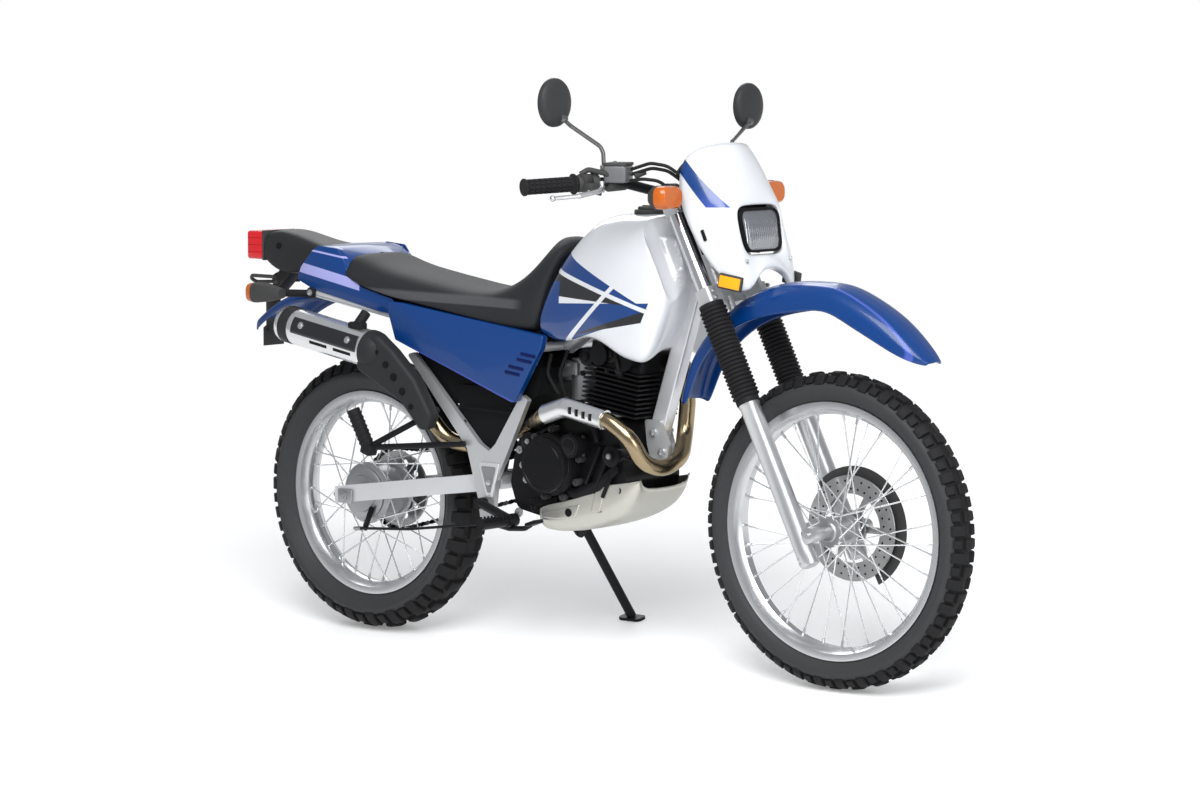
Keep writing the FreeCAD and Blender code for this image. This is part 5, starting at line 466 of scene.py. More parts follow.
def sweep(bm: BMesh, line: Sequence[Point], radius: object, sides: int = 14) -> None:
    """A round tube along a line of points, with closed ends.

    Args:
        bm: The mesh that gets the tube.
        line: Points along the middle of the tube.
        radius: One radius, or one for each point.
        sides: Number of sides.
    """
    spots = [Vector(p) for p in line]
    radii = radius if isinstance(radius, (list, tuple)) else [radius] * len(spots)
    along = (spots[1] - spots[0]).normalized()
    helper = UP if abs(along.z) < 0.9 else Vector((1, 0, 0))
    side = along.cross(helper).normalized()
    rings = []
    for i, spot in enumerate(spots):
        ahead = spots[min(i + 1, len(spots) - 1)] - spots[max(i - 1, 0)]
        along = ahead.normalized()
        side = (side - along * side.dot(along)).normalized()
        up = along.cross(side)
        ring = []
        for k in range(sides):
            angle = math.tau * k / sides
            ring.append(spot + (side * math.cos(angle) + up * math.sin(angle)) * radii[i])
        rings.append(ring)
    skin(bm, rings, ends=True)


def slab(bm: BMesh, outline: Sequence[Point], low: float, high: float, plane: Plane = Plane.SIDE,
         bevel: float = 0.0, segments: int = 2) -> list:
    """An outline pushed out square to its plane, with rounded rims.

    Args:
        bm: The mesh that gets the slab.
        outline: Corners in the two sizes of the plane.
        low: Where it starts, in the third size.
        high: Where it ends.
        plane: The plane of the outline.
        bevel: Width of the rounded rims.
        segments: Number of chords in a rim.

    Returns:
        The slab's vertices.
    """
    def spot(point: Point, depth: float) -> Vector:
        """The place of a corner at a depth."""
        a, b = point[:2]
        return Vector((a, depth, b) if plane is Plane.SIDE else (depth, a, b))

    face = bm.faces.new([bm.verts.new(spot(p, low)) for p in outline])
    pushed = bmesh.ops.extrude_face_region(bm, geom=[face])
    verts = [item for item in pushed["geom"] if isinstance(item, bmesh.types.BMVert)]
    faces = [item for item in pushed["geom"] if isinstance(item, bmesh.types.BMFace)]
    bmesh.ops.translate(bm, verts=verts, vec=spot((0, 0), high - low))
    if bevel:
        rims = dict.fromkeys(edge for f in [face] + faces for edge in f.edges)
        soften(bm, list(rims), bevel, segments)
    return verts


def soften(bm: BMesh, edges: list, width: float, segments: int) -> None:
    """Rounds edges to a width, with a number of chords."""
    bmesh.ops.bevel(bm, geom=edges, offset=width, offset_type="OFFSET", segments=segments, profile=0.5,
                    affect="EDGES", clamp_overlap=True, material=-1)


def box(bm: BMesh, centre: Point, size: Point, turn: Optional[Matrix] = None, bevel: float = 0.0,
        segments: int = 2, taper: float = 1.0) -> None:
    """A block with rounded edges.

    Args:
        bm: The mesh that gets the block.
        centre: Its middle.
        size: Its three sizes.
        turn: Its turn about the middle.
        bevel: Width of the rounded edges.
        segments: Number of chords in an edge.
        taper: Share of its width that is left at the top.
    """
    made = bmesh.ops.create_cube(bm, size=1.0)
    verts = made["verts"]
    for vert in verts:
        share = taper if vert.co.z > 0 else 1.0
        vert.co = Vector((vert.co.x * size[0] * share, vert.co.y * size[1] * share, vert.co.z * size[2]))
    matrix = Matrix.Translation(Vector(centre))
    if turn is not None:
        matrix = matrix @ turn.to_4x4()
    bmesh.ops.transform(bm, matrix=matrix, verts=verts)
    if bevel:
        edges = dict.fromkeys(edge for vert in verts for edge in vert.link_edges)
        soften(bm, list(edges), bevel, segments)


def rod(bm: BMesh, start: Point, end: Point, radius: float, sides: int = 20, bevel: float = 0.0) -> None:
    """A round bar between two points.

    Args:
        bm: The mesh that gets the bar.
        start: Middle of its first end.
        end: Middle of its other end.
        radius: Its radius.
        sides: Number of sides.
        bevel: Width of the rounded rims.
    """
    along = Vector(end) - Vector(start)
    length = along.length
    profile = [(0, 0), (radius, 0), (radius, length), (0, length)]
    if bevel:
        profile = [(0, 0), (radius - bevel, 0), (radius - bevel * 0.3, bevel * 0.3), (radius, bevel),
                   (radius, length - bevel), (radius - bevel * 0.3, length - bevel * 0.3),
                   (radius - bevel, length), (0, length)]
    part = bmesh.new()
    revolve(part, profile, start, along, sides)
    merge(bm, part)


def merge(bm: BMesh, part: BMesh, outward: bool = False) -> None:
    """Adds a finished part to a mesh.

    Args:
        bm: The mesh that gets the part.
        part: The part, which is used up.
        outward: True to turn its faces outwards first.
    """
    if outward:
        bmesh.ops.recalc_face_normals(part, faces=part.faces)
    scratch = bpy.data.meshes.new("scratch")
    part.to_mesh(scratch)
    part.free()
    bm.from_mesh(scratch)
    bpy.data.meshes.remove(scratch)


def outward(bm: BMesh, build: Callable, *sizes: object, **more: object) -> None:
    """Adds a form made on its own, with its faces turned outwards.

    Args:
        bm: The mesh that gets the form.
        build: The function that makes it.
        *sizes: What that function takes after its mesh.
        **more: What it takes by name.
    """
    part = bmesh.new()
    build(part, *sizes, **more)
    merge(bm, part, outward=True)


def bolt(bm: BMesh, centre: Point, axis: Point, radius: float, height: float) -> None:
    """A six-sided bolt head on a thin washer.

    Args:
        bm: The mesh that gets the bolt.
        centre: Middle of its seat.
        axis: Where it points.
        radius: Radius of the head.
        height: Its height.
    """
    along = Vector(axis).normalized()
    low = Vector(centre)
    rod(bm, low, low + along * (height * 0.25), radius * 1.25, 16)
    rod(bm, low, low + along * height, radius, 6, bevel=radius * 0.12)


@dataclass
class Piece:
    """A mesh on its way to becoming a finished object.

    Attributes:
        name: Name of the object.
        finish: Its finish.
        body: The CAD body that it rides on.
        levels: Levels of smooth subdivision.
        wall: Thickness given to a thin skin, in millimetres.
        sharp_deg: Edges that turn more than this stay sharp.
        hides: The CAD node that it stands for, or nothing.
        others: Further finishes, for faces with a higher material index.
        room: Moves each smoothed point, in upright millimetres, clear of something else.
    """

    name: str
    finish: Finish
    body: Body = Body.CHASSIS
    levels: int = 0
    wall: float = 0.0
    sharp_deg: float = 38.0
    hides: str = ""
    others: tuple = ()
    room: Optional[Callable] = None

    def make(self, bm: BMesh, clean: bool = False) -> Object:
        """Turns the mesh into an object at its parked place.

        Args:
            bm: The mesh in upright millimetres, which is used up.
            clean: True to merge doubles and turn the normals outwards.

        Returns:
            The object.
        """
        if clean:
            bmesh.ops.remove_doubles(bm, verts=bm.verts, dist=0.002)
            bmesh.ops.recalc_face_normals(bm, faces=bm.faces)
        bmesh.ops.transform(bm, matrix=PARKED, verts=bm.verts)
        mesh = bpy.data.meshes.new(self.name)
        bm.to_mesh(mesh)
        bm.free()
        if self.levels:
            mesh = self._smoothed(mesh)
        back = PARKED.inverted()
        if self.room:
            for vert in mesh.vertices:
                vert.co = PARKED @ self.room(back @ vert.co)
        spots = mesh.attributes.new(PLACE, "FLOAT_VECTOR", "POINT")
        for item, vert in zip(spots.data, mesh.vertices):
            item.vector = back @ vert.co * MM
        for finish in (self.finish, *self.others):
            mesh.materials.append(finish.material())
        mesh.polygons.foreach_set("use_smooth", [True] * len(mesh.polygons))
        if not self.levels:
            mesh.set_sharp_from_angle(angle=math.radians(self.sharp_deg))
        obj = bpy.data.objects.new(self.name, mesh)
        bpy.context.scene.collection.objects.link(obj)
        if self.wall:
            solid = obj.modifiers.new("wall", "SOLIDIFY")
            solid.thickness = self.wall * MM
            solid.offset = -1.0
        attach(obj, self.body.value)
        if self.hides:
            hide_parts(self.hides)
        LOG.info("piece %s on %s", self.name, self.body.value)
        return obj

    def form(self, build: Callable, *sizes: object, **more: object) -> Object:
        """Makes the object from one form, with merged doubles and outward normals.

        Args:
            build: The function that makes the form.
            *sizes: What that function takes after its mesh.
            **more: What it takes by name.

        Returns:
            The object.
        """
        bm = bmesh.new()
        build(bm, *sizes, **more)
        return self.make(bm, clean=True)

    def _smoothed(self, mesh: bpy.types.Mesh) -> bpy.types.Mesh:
        """Subdivides a mesh smoothly.

        Args:
            mesh: The mesh, which is used up.

        Returns:
            The mesh after its levels of subdivision.
        """
        scratch = bpy.data.objects.new("scratch", mesh)
        bpy.context.scene.collection.objects.link(scratch)
        smooth = scratch.modifiers.new("smooth", "SUBSURF")
        smooth.levels = smooth.render_levels = self.levels
        bpy.context.view_layer.update()
        seen = scratch.evaluated_get(bpy.context.evaluated_depsgraph_get())
        made = bpy.data.meshes.new_from_object(seen)
        bpy.data.objects.remove(scratch)
        bpy.data.meshes.remove(mesh)
        made.name = self.name
        return made


def dress(node: str, finish: Finish) -> None:
    """Gives a CAD node its finish and smooth shading.

    Args:
        node: The node's name.
        finish: Its finish.
    """
    obj = frame["nodes"][node]
    obj.data.materials.clear()
    obj.data.materials.append(finish.material())
    obj.data.polygons.foreach_set("use_smooth", [True] * len(obj.data.polygons))
    obj.data.set_sharp_from_angle(angle=math.radians(30))


NODE_FINISHES = (
    (Look.TYRE, "front_tyre rear_tyre"),
    (Look.RIM, "front_rim rear_rim"),
    (Look.HUB, "front_hub rear_hub brake_caliper carburettor rear_axle"),
    (Look.DISC, "front_disc rear_sprocket"),
    (Look.AXLE, "front_axle"),
    (Look.CAST, "fork_clamps engine_mount pivot_plates"),
    (Look.PLATED, "fork_tubes"),
    (Look.FORK, "fork_sliders"),
    (Look.RUBBER, "fork_gaiters handle_grips"),
    (Look.SATIN_BLACK, "handlebar lamp_stays shock_absorber foot_pegs stand_bracket side_stand"),
    (Look.ALLOY, "hand_controls"),
    (Look.BLACK, "mirrors instruments disc_guard chain_guard fuel_cap plate_bracket"),
    (Look.WHITE, "headlight_cowl fuel_tank"),
    (Look.CHROME, "headlight"),
    (Look.BLUE, "front_fender side_covers tail_cowl rear_fender"),
    (Look.AMBER, "front_signals rear_signals"),
    (Look.AMBER_PAINTED_GLOW, "fork_reflectors"),
    (Look.ENGINE, "engine_cases engine_top_end"),
    # The air box takes the darker black of painted shade.
    (Look.SHADE_BLACK, "airbox"),
    (Look.BRONZE, "exhaust_header"),
    (Look.MUFFLER, "header_shield muffler"),
    (Look.GREY_PLASTIC, "heat_shield tail_piece"),
    (Look.FRAME, "frame_backbone frame_downtube seat_rails swingarm"),
    (Look.CHAIN, "drive_chain"),
    (Look.SKID, "skid_plate"),
    (Look.SEAT, "seat"),
    (Look.RED, "tail_light"),
)


@dataclass
class PhotoCamera:
    """The camera, fitted to the photo in the motorcycle's own upright frame.

    Attributes:
        place: The camera's place in millimetres.
        yaw_deg: Its heading, from +X towards +Y.
        pitch_deg: Its rise above the horizon.
        focal_px: Focal length in pixels.
        width_px: Width of the picture.
        height_px: Height of the picture.
    """

    place: tuple = (6106.0, -6540.0, 1420.0)
    yaw_deg: float = 129.66
    pitch_deg: float = -5.61
    focal_px: float = 3781.0
    width_px: int = 1200
    height_px: int = 800

    def build(self) -> Object:
        """Makes the camera and sets it on the scene.

        Returns:
            The camera.
        """
        yaw, pitch = math.radians(self.yaw_deg), math.radians(self.pitch_deg)
        ahead = Vector((math.cos(pitch) * math.cos(yaw), math.cos(pitch) * math.sin(yaw), math.sin(pitch)))
        right = ahead.cross(UP).normalized()
        up = right.cross(ahead)
        turn = Matrix((right, up, -ahead)).transposed().to_4x4()
        data = bpy.data.cameras.new("photo_camera")
        data.sensor_width = 36.0
        data.lens = self.focal_px / self.width_px * data.sensor_width
        data.clip_end = 60.0
        data.dof.use_dof = False
        camera = bpy.data.objects.new("photo_camera", data)
        camera.matrix_world = Matrix.Translation(PARKED @ Vector(self.place)) @ PARKED_TURN @ turn
        scene = bpy.context.scene
        scene.collection.objects.link(camera)
        scene.camera = camera
        scene.render.resolution_x = self.width_px
        scene.render.resolution_y = self.height_px
        scene.view_settings.view_transform = "Standard"
        return camera


@dataclass
class Studio:
    """A seamless pale floor and soft lamps.

    Attributes:
        half: Half the floor's size in metres.
        key: Power of the large lamp overhead, in watts.
        fill: Power of the lamp beside the camera.
        glow: Strength of the near floor's own light.
        clear: Where the floor begins to turn white, in metres.
        blend: Width of that change.
        sky: Strength of the light all round.
    """

    half: float = 14.0
    key: float = 290.0
    fill: float = 85.0
    glow: float = 0.20
    clear: float = 1.5
    blend: float = 1.6
    sky: float = 0.42

    def build(self) -> None:
        """Makes the floor, the backdrop's light and the lamps."""
        self._floor()
        self._world()
        self._lamp("key", (2.2, -2.4, 4.6), (0.1, 0.0, 0.6), 3.4, self.key)
        self._lamp("fill", (5.2, -2.2, 1.9), (0.2, 0.0, 0.7), 2.6, self.fill)
        self._lamp("back", (-3.2, 3.6, 3.2), (0.0, 0.0, 0.7), 2.8, self.fill)

    def _floor(self) -> None:
        """Makes the floor, which glows white away from the motorcycle."""
        bm = bmesh.new()
        bmesh.ops.create_grid(bm, x_segments=1, y_segments=1, size=self.half)
        mesh = bpy.data.meshes.new("floor")
        bm.to_mesh(mesh)
        bm.free()
        paint = bpy.data.materials.new("floor_white")
        paint.use_nodes = True
        nodes = Nodes(paint.node_tree)
        nodes.paint((0.86, 0.86, 0.86, 1))
        nodes.set(nodes.shader, "Roughness", 0.9)
        near = nodes.add("ShaderNodeEmission", {"Color": (1, 1, 1, 1), "Strength": self.glow})
        lit = nodes.add("ShaderNodeAddShader", {0: nodes.shader.outputs[0], 1: near.outputs[0]})
        far = nodes.add("ShaderNodeEmission", {"Color": (1, 1, 1, 1), "Strength": 1.0})
        spot = nodes.add("ShaderNodeTexCoord")
        reach = nodes.add("ShaderNodeVectorMath", {0: spot.outputs["Object"]}, operation="LENGTH")
        share = nodes.math("DIVIDE", nodes.minus(reach.outputs["Value"], self.clear), self.blend, clamp=True)
        mixed = nodes.add("ShaderNodeMixShader", {0: share, 1: lit.outputs[0], 2: far.outputs[0]})
        nodes.set(nodes.output, "Surface", mixed.outputs[0])
        mesh.materials.append(paint)
        floor = bpy.data.objects.new("floor", mesh)
        bpy.context.scene.collection.objects.link(floor)

    def _world(self) -> None:
        """Makes the light all round and the white that the camera sees."""
        world = bpy.data.worlds.new("studio")
        world.use_nodes = True
        tree = world.node_tree
        tree.nodes.clear()
        ray = tree.nodes.new("ShaderNodeLightPath")
        pick = tree.nodes.new("ShaderNodeMixShader")
        out = tree.nodes.new("ShaderNodeOutputWorld")
        tree.links.new(ray.outputs["Is Camera Ray"], pick.inputs[0])
        for at, strength, color in ((1, self.sky, (0.93, 0.96, 1.0, 1)), (2, 1.0, (1, 1, 1, 1))):
            light = tree.nodes.new("ShaderNodeBackground")
            light.inputs["Strength"].default_value = strength
            light.inputs["Color"].default_value = color
            tree.links.new(light.outputs[0], pick.inputs[at])
        tree.links.new(pick.outputs[0], out.inputs["Surface"])
        bpy.context.scene.world = world

    def _lamp(self, name: str, place: Point, aim: Point, size: float, power: float) -> None:
        """Makes an area lamp.

        Args:
            name: Its name.
            place: Where it stands, in metres.
            aim: Where it points.
            size: Its width.
            power: Its power in watts.
        """
        data = bpy.data.lights.new(name, "AREA")
        data.size = size
        data.energy = power
        lamp = bpy.data.objects.new(name, data)
        lamp.location = place
        lamp.rotation_euler = (Vector(aim) - Vector(place)).to_track_quat("-Z", "Y").to_euler()
        bpy.context.scene.collection.objects.link(lamp)


def dress_nodes() -> None:
    """Gives every CAD node its finish, shown or not."""
    for finish, names in NODE_FINISHES:
        for node in names.split():
            dress(node, finish)


def both(points: Sequence[Point]) -> list:
    """A closed ring from its right half, given from the top down, and its mirror image."""
    back = [(p[0], -p[1], p[2]) for p in reversed(points) if abs(p[1]) > 0.01]
    return [tuple(p) for p in points] + back


def arch(right: Sequence[Point], middle: Point) -> list:
    """An open row: its right half, its middle point and the right half's mirror image."""
    return [*right, middle, *[(p[0], -p[1], p[2]) for p in reversed(right)]]


def ring_x(x: float, half: Sequence[Point]) -> list:
    """A closed ring across the motorcycle at X, from half an outline in Y and Z."""
    return both([(x, -y, z) for y, z in half])


@dataclass
class Wheel:
    """A spoked wheel with its knobby tyre.

    Attributes:
        name: Front of every piece's name.
        body: The CAD body that it rides on.
        axle: X and Z of the axle.
        radius: Outer radius of the tyre.
        half_width: Half the tyre's width.
        crown: Radius of the arc across the tread.
        rim: Radius of the rim's flanges.
        rim_half: Half the rim's width.
        flange: Radius of the hub's spoke flanges.
        flange_y: Place of the flanges.
        rows: Rows of tread blocks.
        depth: Depth of the tread.
        spokes: Number of spokes on each side.
    """

    name: str
    body: Body
    axle: tuple
    radius: float
    half_width: float
    crown: float
    rim: float
    rim_half: float
    flange: float
    flange_y: float
    rows: int
    depth: float = 8.0
    spokes: int = 18

    def build(self) -> None:
        """Makes the tyre, the rim and the spokes."""
        self._carcass()
        self._blocks()
        self._rim()
        self._spokes()

    def _centre(self) -> Vector:
        """The middle of the wheel."""
        return Vector((self.axle[0], 0.0, self.axle[1]))

    def _shoulder(self) -> float:
        """Half the tread's angle, seen from the middle of the crown's arc."""
        return math.asin(self.half_width * 0.9 / self.crown)

    def _crown_spot(self, reach: float, angle: float) -> tuple:
        """Radius and width of a point, given from the middle of the crown's arc."""
        return (self.radius - self.crown + reach * math.cos(angle), reach * math.sin(angle))

    def _carcass(self) -> None:
        """Makes the ground of the tread and both sidewalls."""
        groove = self.crown - self.depth
        shoulder = self._shoulder()
        bead = self.rim - 14
        widest = bead + (self.radius - bead) * 0.46
        top = [self._crown_spot(groove, shoulder * k / 8) for k in range(-8, 9)]
        bm = bmesh.new()
        revolve(bm, top, self._centre(), (0, 1, 0), 120)
        Piece(self.name + "_tread_base", Look.TYRE, self.body).make(bm)
        edge = top[-1]
        side = [(bead, self.rim_half - 4), (self.rim + 1, self.rim_half - 3.6),
                (self.rim + 5, self.rim_half + 3)]
        side += [((self.rim + 5) * (1 - t) + widest * t,
                  (self.rim_half + 3) * (1 - t) + self.half_width * t) for t in (0.4, 0.8)]
        side += [(widest + 2, self.half_width), (widest * 0.6 + edge[0] * 0.4, self.half_width * 0.985),
                 (widest * 0.25 + edge[0] * 0.75, self.half_width * 0.93), edge]
        bm = bmesh.new()
        for flip in (1, -1):
            part = bmesh.new()
            revolve(part, [(r, a * flip) for r, a in side], self._centre(), (0, 1, 0), 120)
            merge(bm, part)
        Piece(self.name + "_sidewalls", Look.SIDEWALL, self.body, sharp_deg=60,
              hides=self.name + "_tyre").make(bm, clean=True)

    def _blocks(self) -> None:
        """Makes the tread blocks, in rows of one and of three."""
        bm = bmesh.new()
        shoulder = self._shoulder()
        pitch = math.tau / self.rows
        inner = math.radians(20)
        for row in range(self.rows):
            turn = pitch * row
            if row % 2:
                for flip in (1, -1):
                    self._block(bm, turn, pitch * 0.37, flip * math.radians(24), flip * shoulder * 1.17, 4)
            else:
                self._block(bm, turn, pitch * 0.36, -inner, inner, 4)
                for flip in (1, -1):
                    self._block(bm, turn, pitch * 0.30, flip * (shoulder * 0.62), flip * shoulder * 1.06, 2)
        Piece(self.name + "_tread_blocks", Look.TYRE, self.body, sharp_deg=30).make(bm)

    def _block(self, bm: BMesh, turn: float, half_turn: float, low: float, high: float, parts: int) -> None:
        """Makes one block: a grid across the crown, its foot a little larger than its top.

        Args:
            bm: The mesh that gets the block.
            turn: Its place round the wheel.
            half_turn: Half its angle round the wheel.
            low: Where it starts across the crown, as an angle.
            high: Where it ends.
            parts: Number of faces across.
        """
        centre = self._centre()
        foot = self.crown - self.depth - 1
        rows = []
        for reach, grow in ((foot, 1.16), (self.crown - 0.8, 1.0), (self.crown, 0.88)):
            ring = []
            across = [low + (high - low) * (0.5 + (k / parts - 0.5) * grow) for k in range(parts + 1)]
            for sign, walk in ((1, across), (-1, list(reversed(across)))):
                for angle in walk:
                    r, y = self._crown_spot(reach, angle)
                    spin = turn + sign * half_turn * grow
                    ring.append(centre + Vector((r * math.cos(spin), y, r * math.sin(spin))))
            rows.append(ring)
        made = skin(bm, rows)
        top = made[-1]
        for k in range(parts):
            bm.faces.new((top[k], top[k + 1], top[-2 - k], top[-1 - k]))

    def _rim(self) -> None:
        """Makes the rim with its flanges and its well."""
        r, h = self.rim, self.rim_half
        half = [(r - 25, 0), (r - 25, h * 0.3), (r - 22, h * 0.42), (r - 15, h * 0.62), (r - 14, h * 0.8),
                (r - 13, h - 4), (r - 4, h - 3.4), (r - 1, h - 3), (r, h - 1.6), (r - 1, h),
                (r - 4, h + 0.4), (r - 16, h - 0.6), (r - 19, h * 0.75), (r - 24, h * 0.5),
                (r - 28.5, h * 0.34), (r - 29, 0)]
        profile = half + [(a, -b) for a, b in reversed(half[1:-1])] + [half[0]]
        Piece(self.name + "_rim_shape", Look.RIM, self.body,
              hides=self.name + "_rim").form(revolve, profile, self._centre(), (0, 1, 0), 120)

    def _spokes(self) -> None:
        """Makes the crossed spokes and their nipples."""
        bm = bmesh.new()
        centre = self._centre()
        step = math.tau / self.spokes
        for side in (1, -1):
            for k in range(self.spokes):
                lead = 1 if k % 2 else -1
                hub = k * step + (step / 2 if side > 0 else 0)
                rim = hub + lead * math.radians(58)
                y = side * (self.flange_y + lead * 2.4)
                a = centre + Vector((math.cos(hub) * self.flange, y, math.sin(hub) * self.flange))
                reach = self.rim - 28
                b = centre + Vector((math.cos(rim) * reach, side * 4.0, math.sin(rim) * reach))
                rod(bm, a, b, 1.7, 8)
                along = (a - b).normalized()
                rod(bm, b, b + along * 14, 3.2, 8)
        Piece(self.name + "_spokes", Look.SPOKE, self.body).make(bm)


@dataclass
class Hubs:
    """Both hubs and the front disc with its drilled band.

    Attributes:
        disc: Radius of the disc.
        disc_y: Its middle, to the left of the hub's.
        arms: Number of arms that carry it.
        holes: Number of holes in each row.
    """

    disc: float = 115.0
    disc_y: float = 50.0
    arms: int = 6
    holes: int = 30

    def build(self) -> None:
        """Makes the hubs and the disc with its arms, and dark discs as painted shade in its holes."""
        front = Vector((WHEELBASE, 0, FRONT_RADIUS))
        rear = Vector((0, 0, REAR_RADIUS))
        bm = bmesh.new()
        profile = [(9, -40), (19, -40), (22, -37), (22, -36), (33, -35.5), (34, -34), (33, -32), (24, -30),
                   (20, -24), (18, 0), (20, 24), (24, 30), (33, 32), (34, 34), (33, 36), (26, 37),
                   (26, 47.5), (9, 47.5)]
        revolve(bm, profile, front, (0, 1, 0), 48)
        Piece("front_hub_shape", Look.HUB, Body.FRONT_WHEEL, hides="front_hub").make(bm, clean=True)
        bm = bmesh.new()
        profile = [(10, -46), (58, -46), (62, -44), (64, -42), (71, -41), (73, -39), (71, -37), (63, -36),
                   (60, -30), (59, 0), (60, 30), (63, 36), (71, 37), (73, 39), (71, 42), (60, 44), (48, 46),
                   (46, 70.5), (10, 70.5)]
        revolve(bm, profile, rear, (0, 1, 0), 72)
        Piece("rear_hub_shape", Look.HUB, Body.REAR_WHEEL, hides="rear_hub").make(bm, clean=True)
        bm = bmesh.new()
        profile = [(76, 48), (115, 48), (115.5, 48.5), (115.5, 51.5), (115, 52), (76, 52), (75.5, 51.5),
                   (75.5, 48.5), (76, 48)]
        revolve(bm, profile, front, (0, 1, 0), 96)
        for k in range(self.arms):
            turn = math.tau * k / self.arms
            box(bm, front + spoke(turn) * 56 + Vector((0, self.disc_y, 0)), (48, 3.4, 15),
                Matrix.Rotation(-turn, 3, "Y"), bevel=0.8)
        rod(bm, front + Vector((0, 48.2, 0)), front + Vector((0, 52.6, 0)), 40, 40, bevel=0.8)
        Piece("disc_shape", Look.DISC, Body.FRONT_WHEEL, hides="front_disc").make(bm, clean=True)
        # Dark discs in the disc's holes: painted shade.
        bm = bmesh.new()
        for k in range(self.holes):
            turn = math.tau * k / self.holes
            for share in (0.75, 0.90):
                out = spoke(turn + share) * (self.disc * share)
                rod(bm, front + out + Vector((0, 47.6, 0)), front + out + Vector((0, 52.4, 0)), 2.6, 8)
        Piece("disc_hole_shade", Look.DARK, Body.FRONT_WHEEL).make(bm)


@dataclass
class Fork:
    """The fork legs, their pleated gaiters and the axle clamps.

    Attributes:
        pleats: Pleats of a gaiter.
        top: Where the gaiter ends under the lower clamp.
        foot: Where it starts on the slider.
    """

    pleats: int = 23
    top: float = 555.0
    foot: float = 322.0

    def build(self) -> None:
        """Makes both legs with their gaiters and bolts."""
        along = (fork_point(0, 0, 1) - fork_point(0, 0, 0)).normalized()
        legs = bmesh.new()
        gaiters = bmesh.new()
        pitch = (self.top - self.foot - 22) / self.pleats
        profile = [(22.8, self.foot - 2), (25.5, self.foot - 2), (26.3, self.foot), (26.3, self.foot + 9),
                   (25.2, self.foot + 11)]
        for k in range(self.pleats):
            start = self.foot + 11 + pitch * k
            profile += [(26.0, start), (30.2, start + pitch * 0.34), (30.9, start + pitch * 0.5),
                        (30.2, start + pitch * 0.66)]
        profile += [(26.0, self.top - 11), (27.4, self.top - 10), (27.4, self.top), (18.5, self.top)]
        slider = [(0, -60), (12, -60), (20.5, -56), (22.4, -50), (22.5, -24), (22.5, 312), (24.0, 314),
                  (24.2, 330), (22.5, 332)]
        for side in (-1, 1):
            origin = fork_point(-AXLE_LEAD, side * FORK_HALF, 0)
            part = bmesh.new()
            revolve(part, slider, origin, along, 48)
            merge(legs, part)
            part = bmesh.new()
            revolve(part, profile, origin, along, 48)
            merge(gaiters, part)
            axle = fork_point(0, side * FORK_HALF, 0)
            rod(legs, axle - Vector((0, 20, 0)), axle + Vector((0, 20, 0)), 16.5, 32, bevel=1.5)
            tilt = turned(-RAKE_DEG)
            box(legs, fork_point(-AXLE_LEAD / 2, side * FORK_HALF, 0), (AXLE_LEAD, 31, 31), tilt, bevel=3)
            box(legs, fork_point(-AXLE_LEAD, side * FORK_HALF, -42), (26, 36, 22), tilt, bevel=4)
        Piece("fork_slider_shapes", Look.FORK, Body.STEERING, hides="fork_sliders").make(legs)
        Piece("gaiter_shapes", Look.RUBBER, Body.STEERING, sharp_deg=60, hides="fork_gaiters").make(gaiters)
        bolts = bmesh.new()
        for side in (-1, 1):
            for up in (-48, -36):
                spot = fork_point(-AXLE_LEAD - 10, side * (FORK_HALF + 17.5), up)
                bolt(bolts, spot, (0, side, 0), 4.0, 4.0)
            for up in (562, 578, 776, 790):
                spot = fork_point(-AXLE_LEAD + 25, side * (FORK_HALF + 10), up)
                bolt(bolts, spot, spoke(RAKE), 4.6, 5.0)
        Piece("fork_bolts", Look.BOLT, Body.STEERING).make(bolts)


def fender_paint(nodes: Nodes) -> None:
    """Pale violet highlights along the fender's ridges.

    Args:
        nodes: The finish's shader.
    """
    x, y, _ = nodes.place()
    side = nodes.size(y)
    spread = nodes.times(nodes.minus(x, 1.20), 0.030)
    low = nodes.plus(spread, 0.030)
    band = nodes.band(side, low, nodes.plus(low, 0.006), 0.002)
    ahead = nodes.edge(x, 1.24, 0.03)
    share = nodes.times(band, ahead)
    nodes.paint(nodes.mix(share, BLUE_RGB, (0.05, 0.09, 0.38)))


@dataclass
class FrontFender:
    """The high fender: a ridged arch from the flap behind the fork to the tip.

    Attributes:
        stations: X, top Z, slope in degrees, half width and depth at each section.
    """

    stations: tuple = (
        (941, 606, 64, 43, 26), (953, 650, 67, 45, 32), (966, 690, 66, 46, 36), (999, 742, 56, 48, 38),
        (1058, 800, 42, 50, 44), (1125, 848, 28, 52, 60), (1217, 879, 4, 56, 70), (1328, 880, -4, 62, 56),
        (1376, 875, -8, 62, 56), (1440, 848, -24, 62, 58), (1507, 811, -33, 60, 54),
        (1560, 765, -42, 52, 40), (1590, 735, -48, 40, 22), (1602, 723, -52, 26, 12),
    )

    def build(self) -> None:
        """Makes the fender."""
        rings = []
        across = ((1.0, 1.0), (0.985, 0.72), (0.95, 0.42), (0.80, 0.20), (0.66, 0.09), (0.56, 0.075),
                  (0.42, 0.02), (0.22, 0.0))
        for x, z, slope, half, depth in self.stations:
            tilt = math.radians(slope)
            down = Vector((math.sin(tilt), 0, -math.cos(tilt)))
            right = [Vector((x, -y * half, z)) + down * (depth * d) for y, d in across]
            rings.append(arch(right, (x, 0, z + 1.5)))
        finish = Finish("fender_blue", BLUE_RGB, "blue_plastic", roughness=0.34,
                        coat=0.35, paint=fender_paint)
        Piece("front_fender_shape", finish, Body.STEERING, levels=2, wall=3.0,
              hides="front_fender").form(skin, rings, wrap=False)


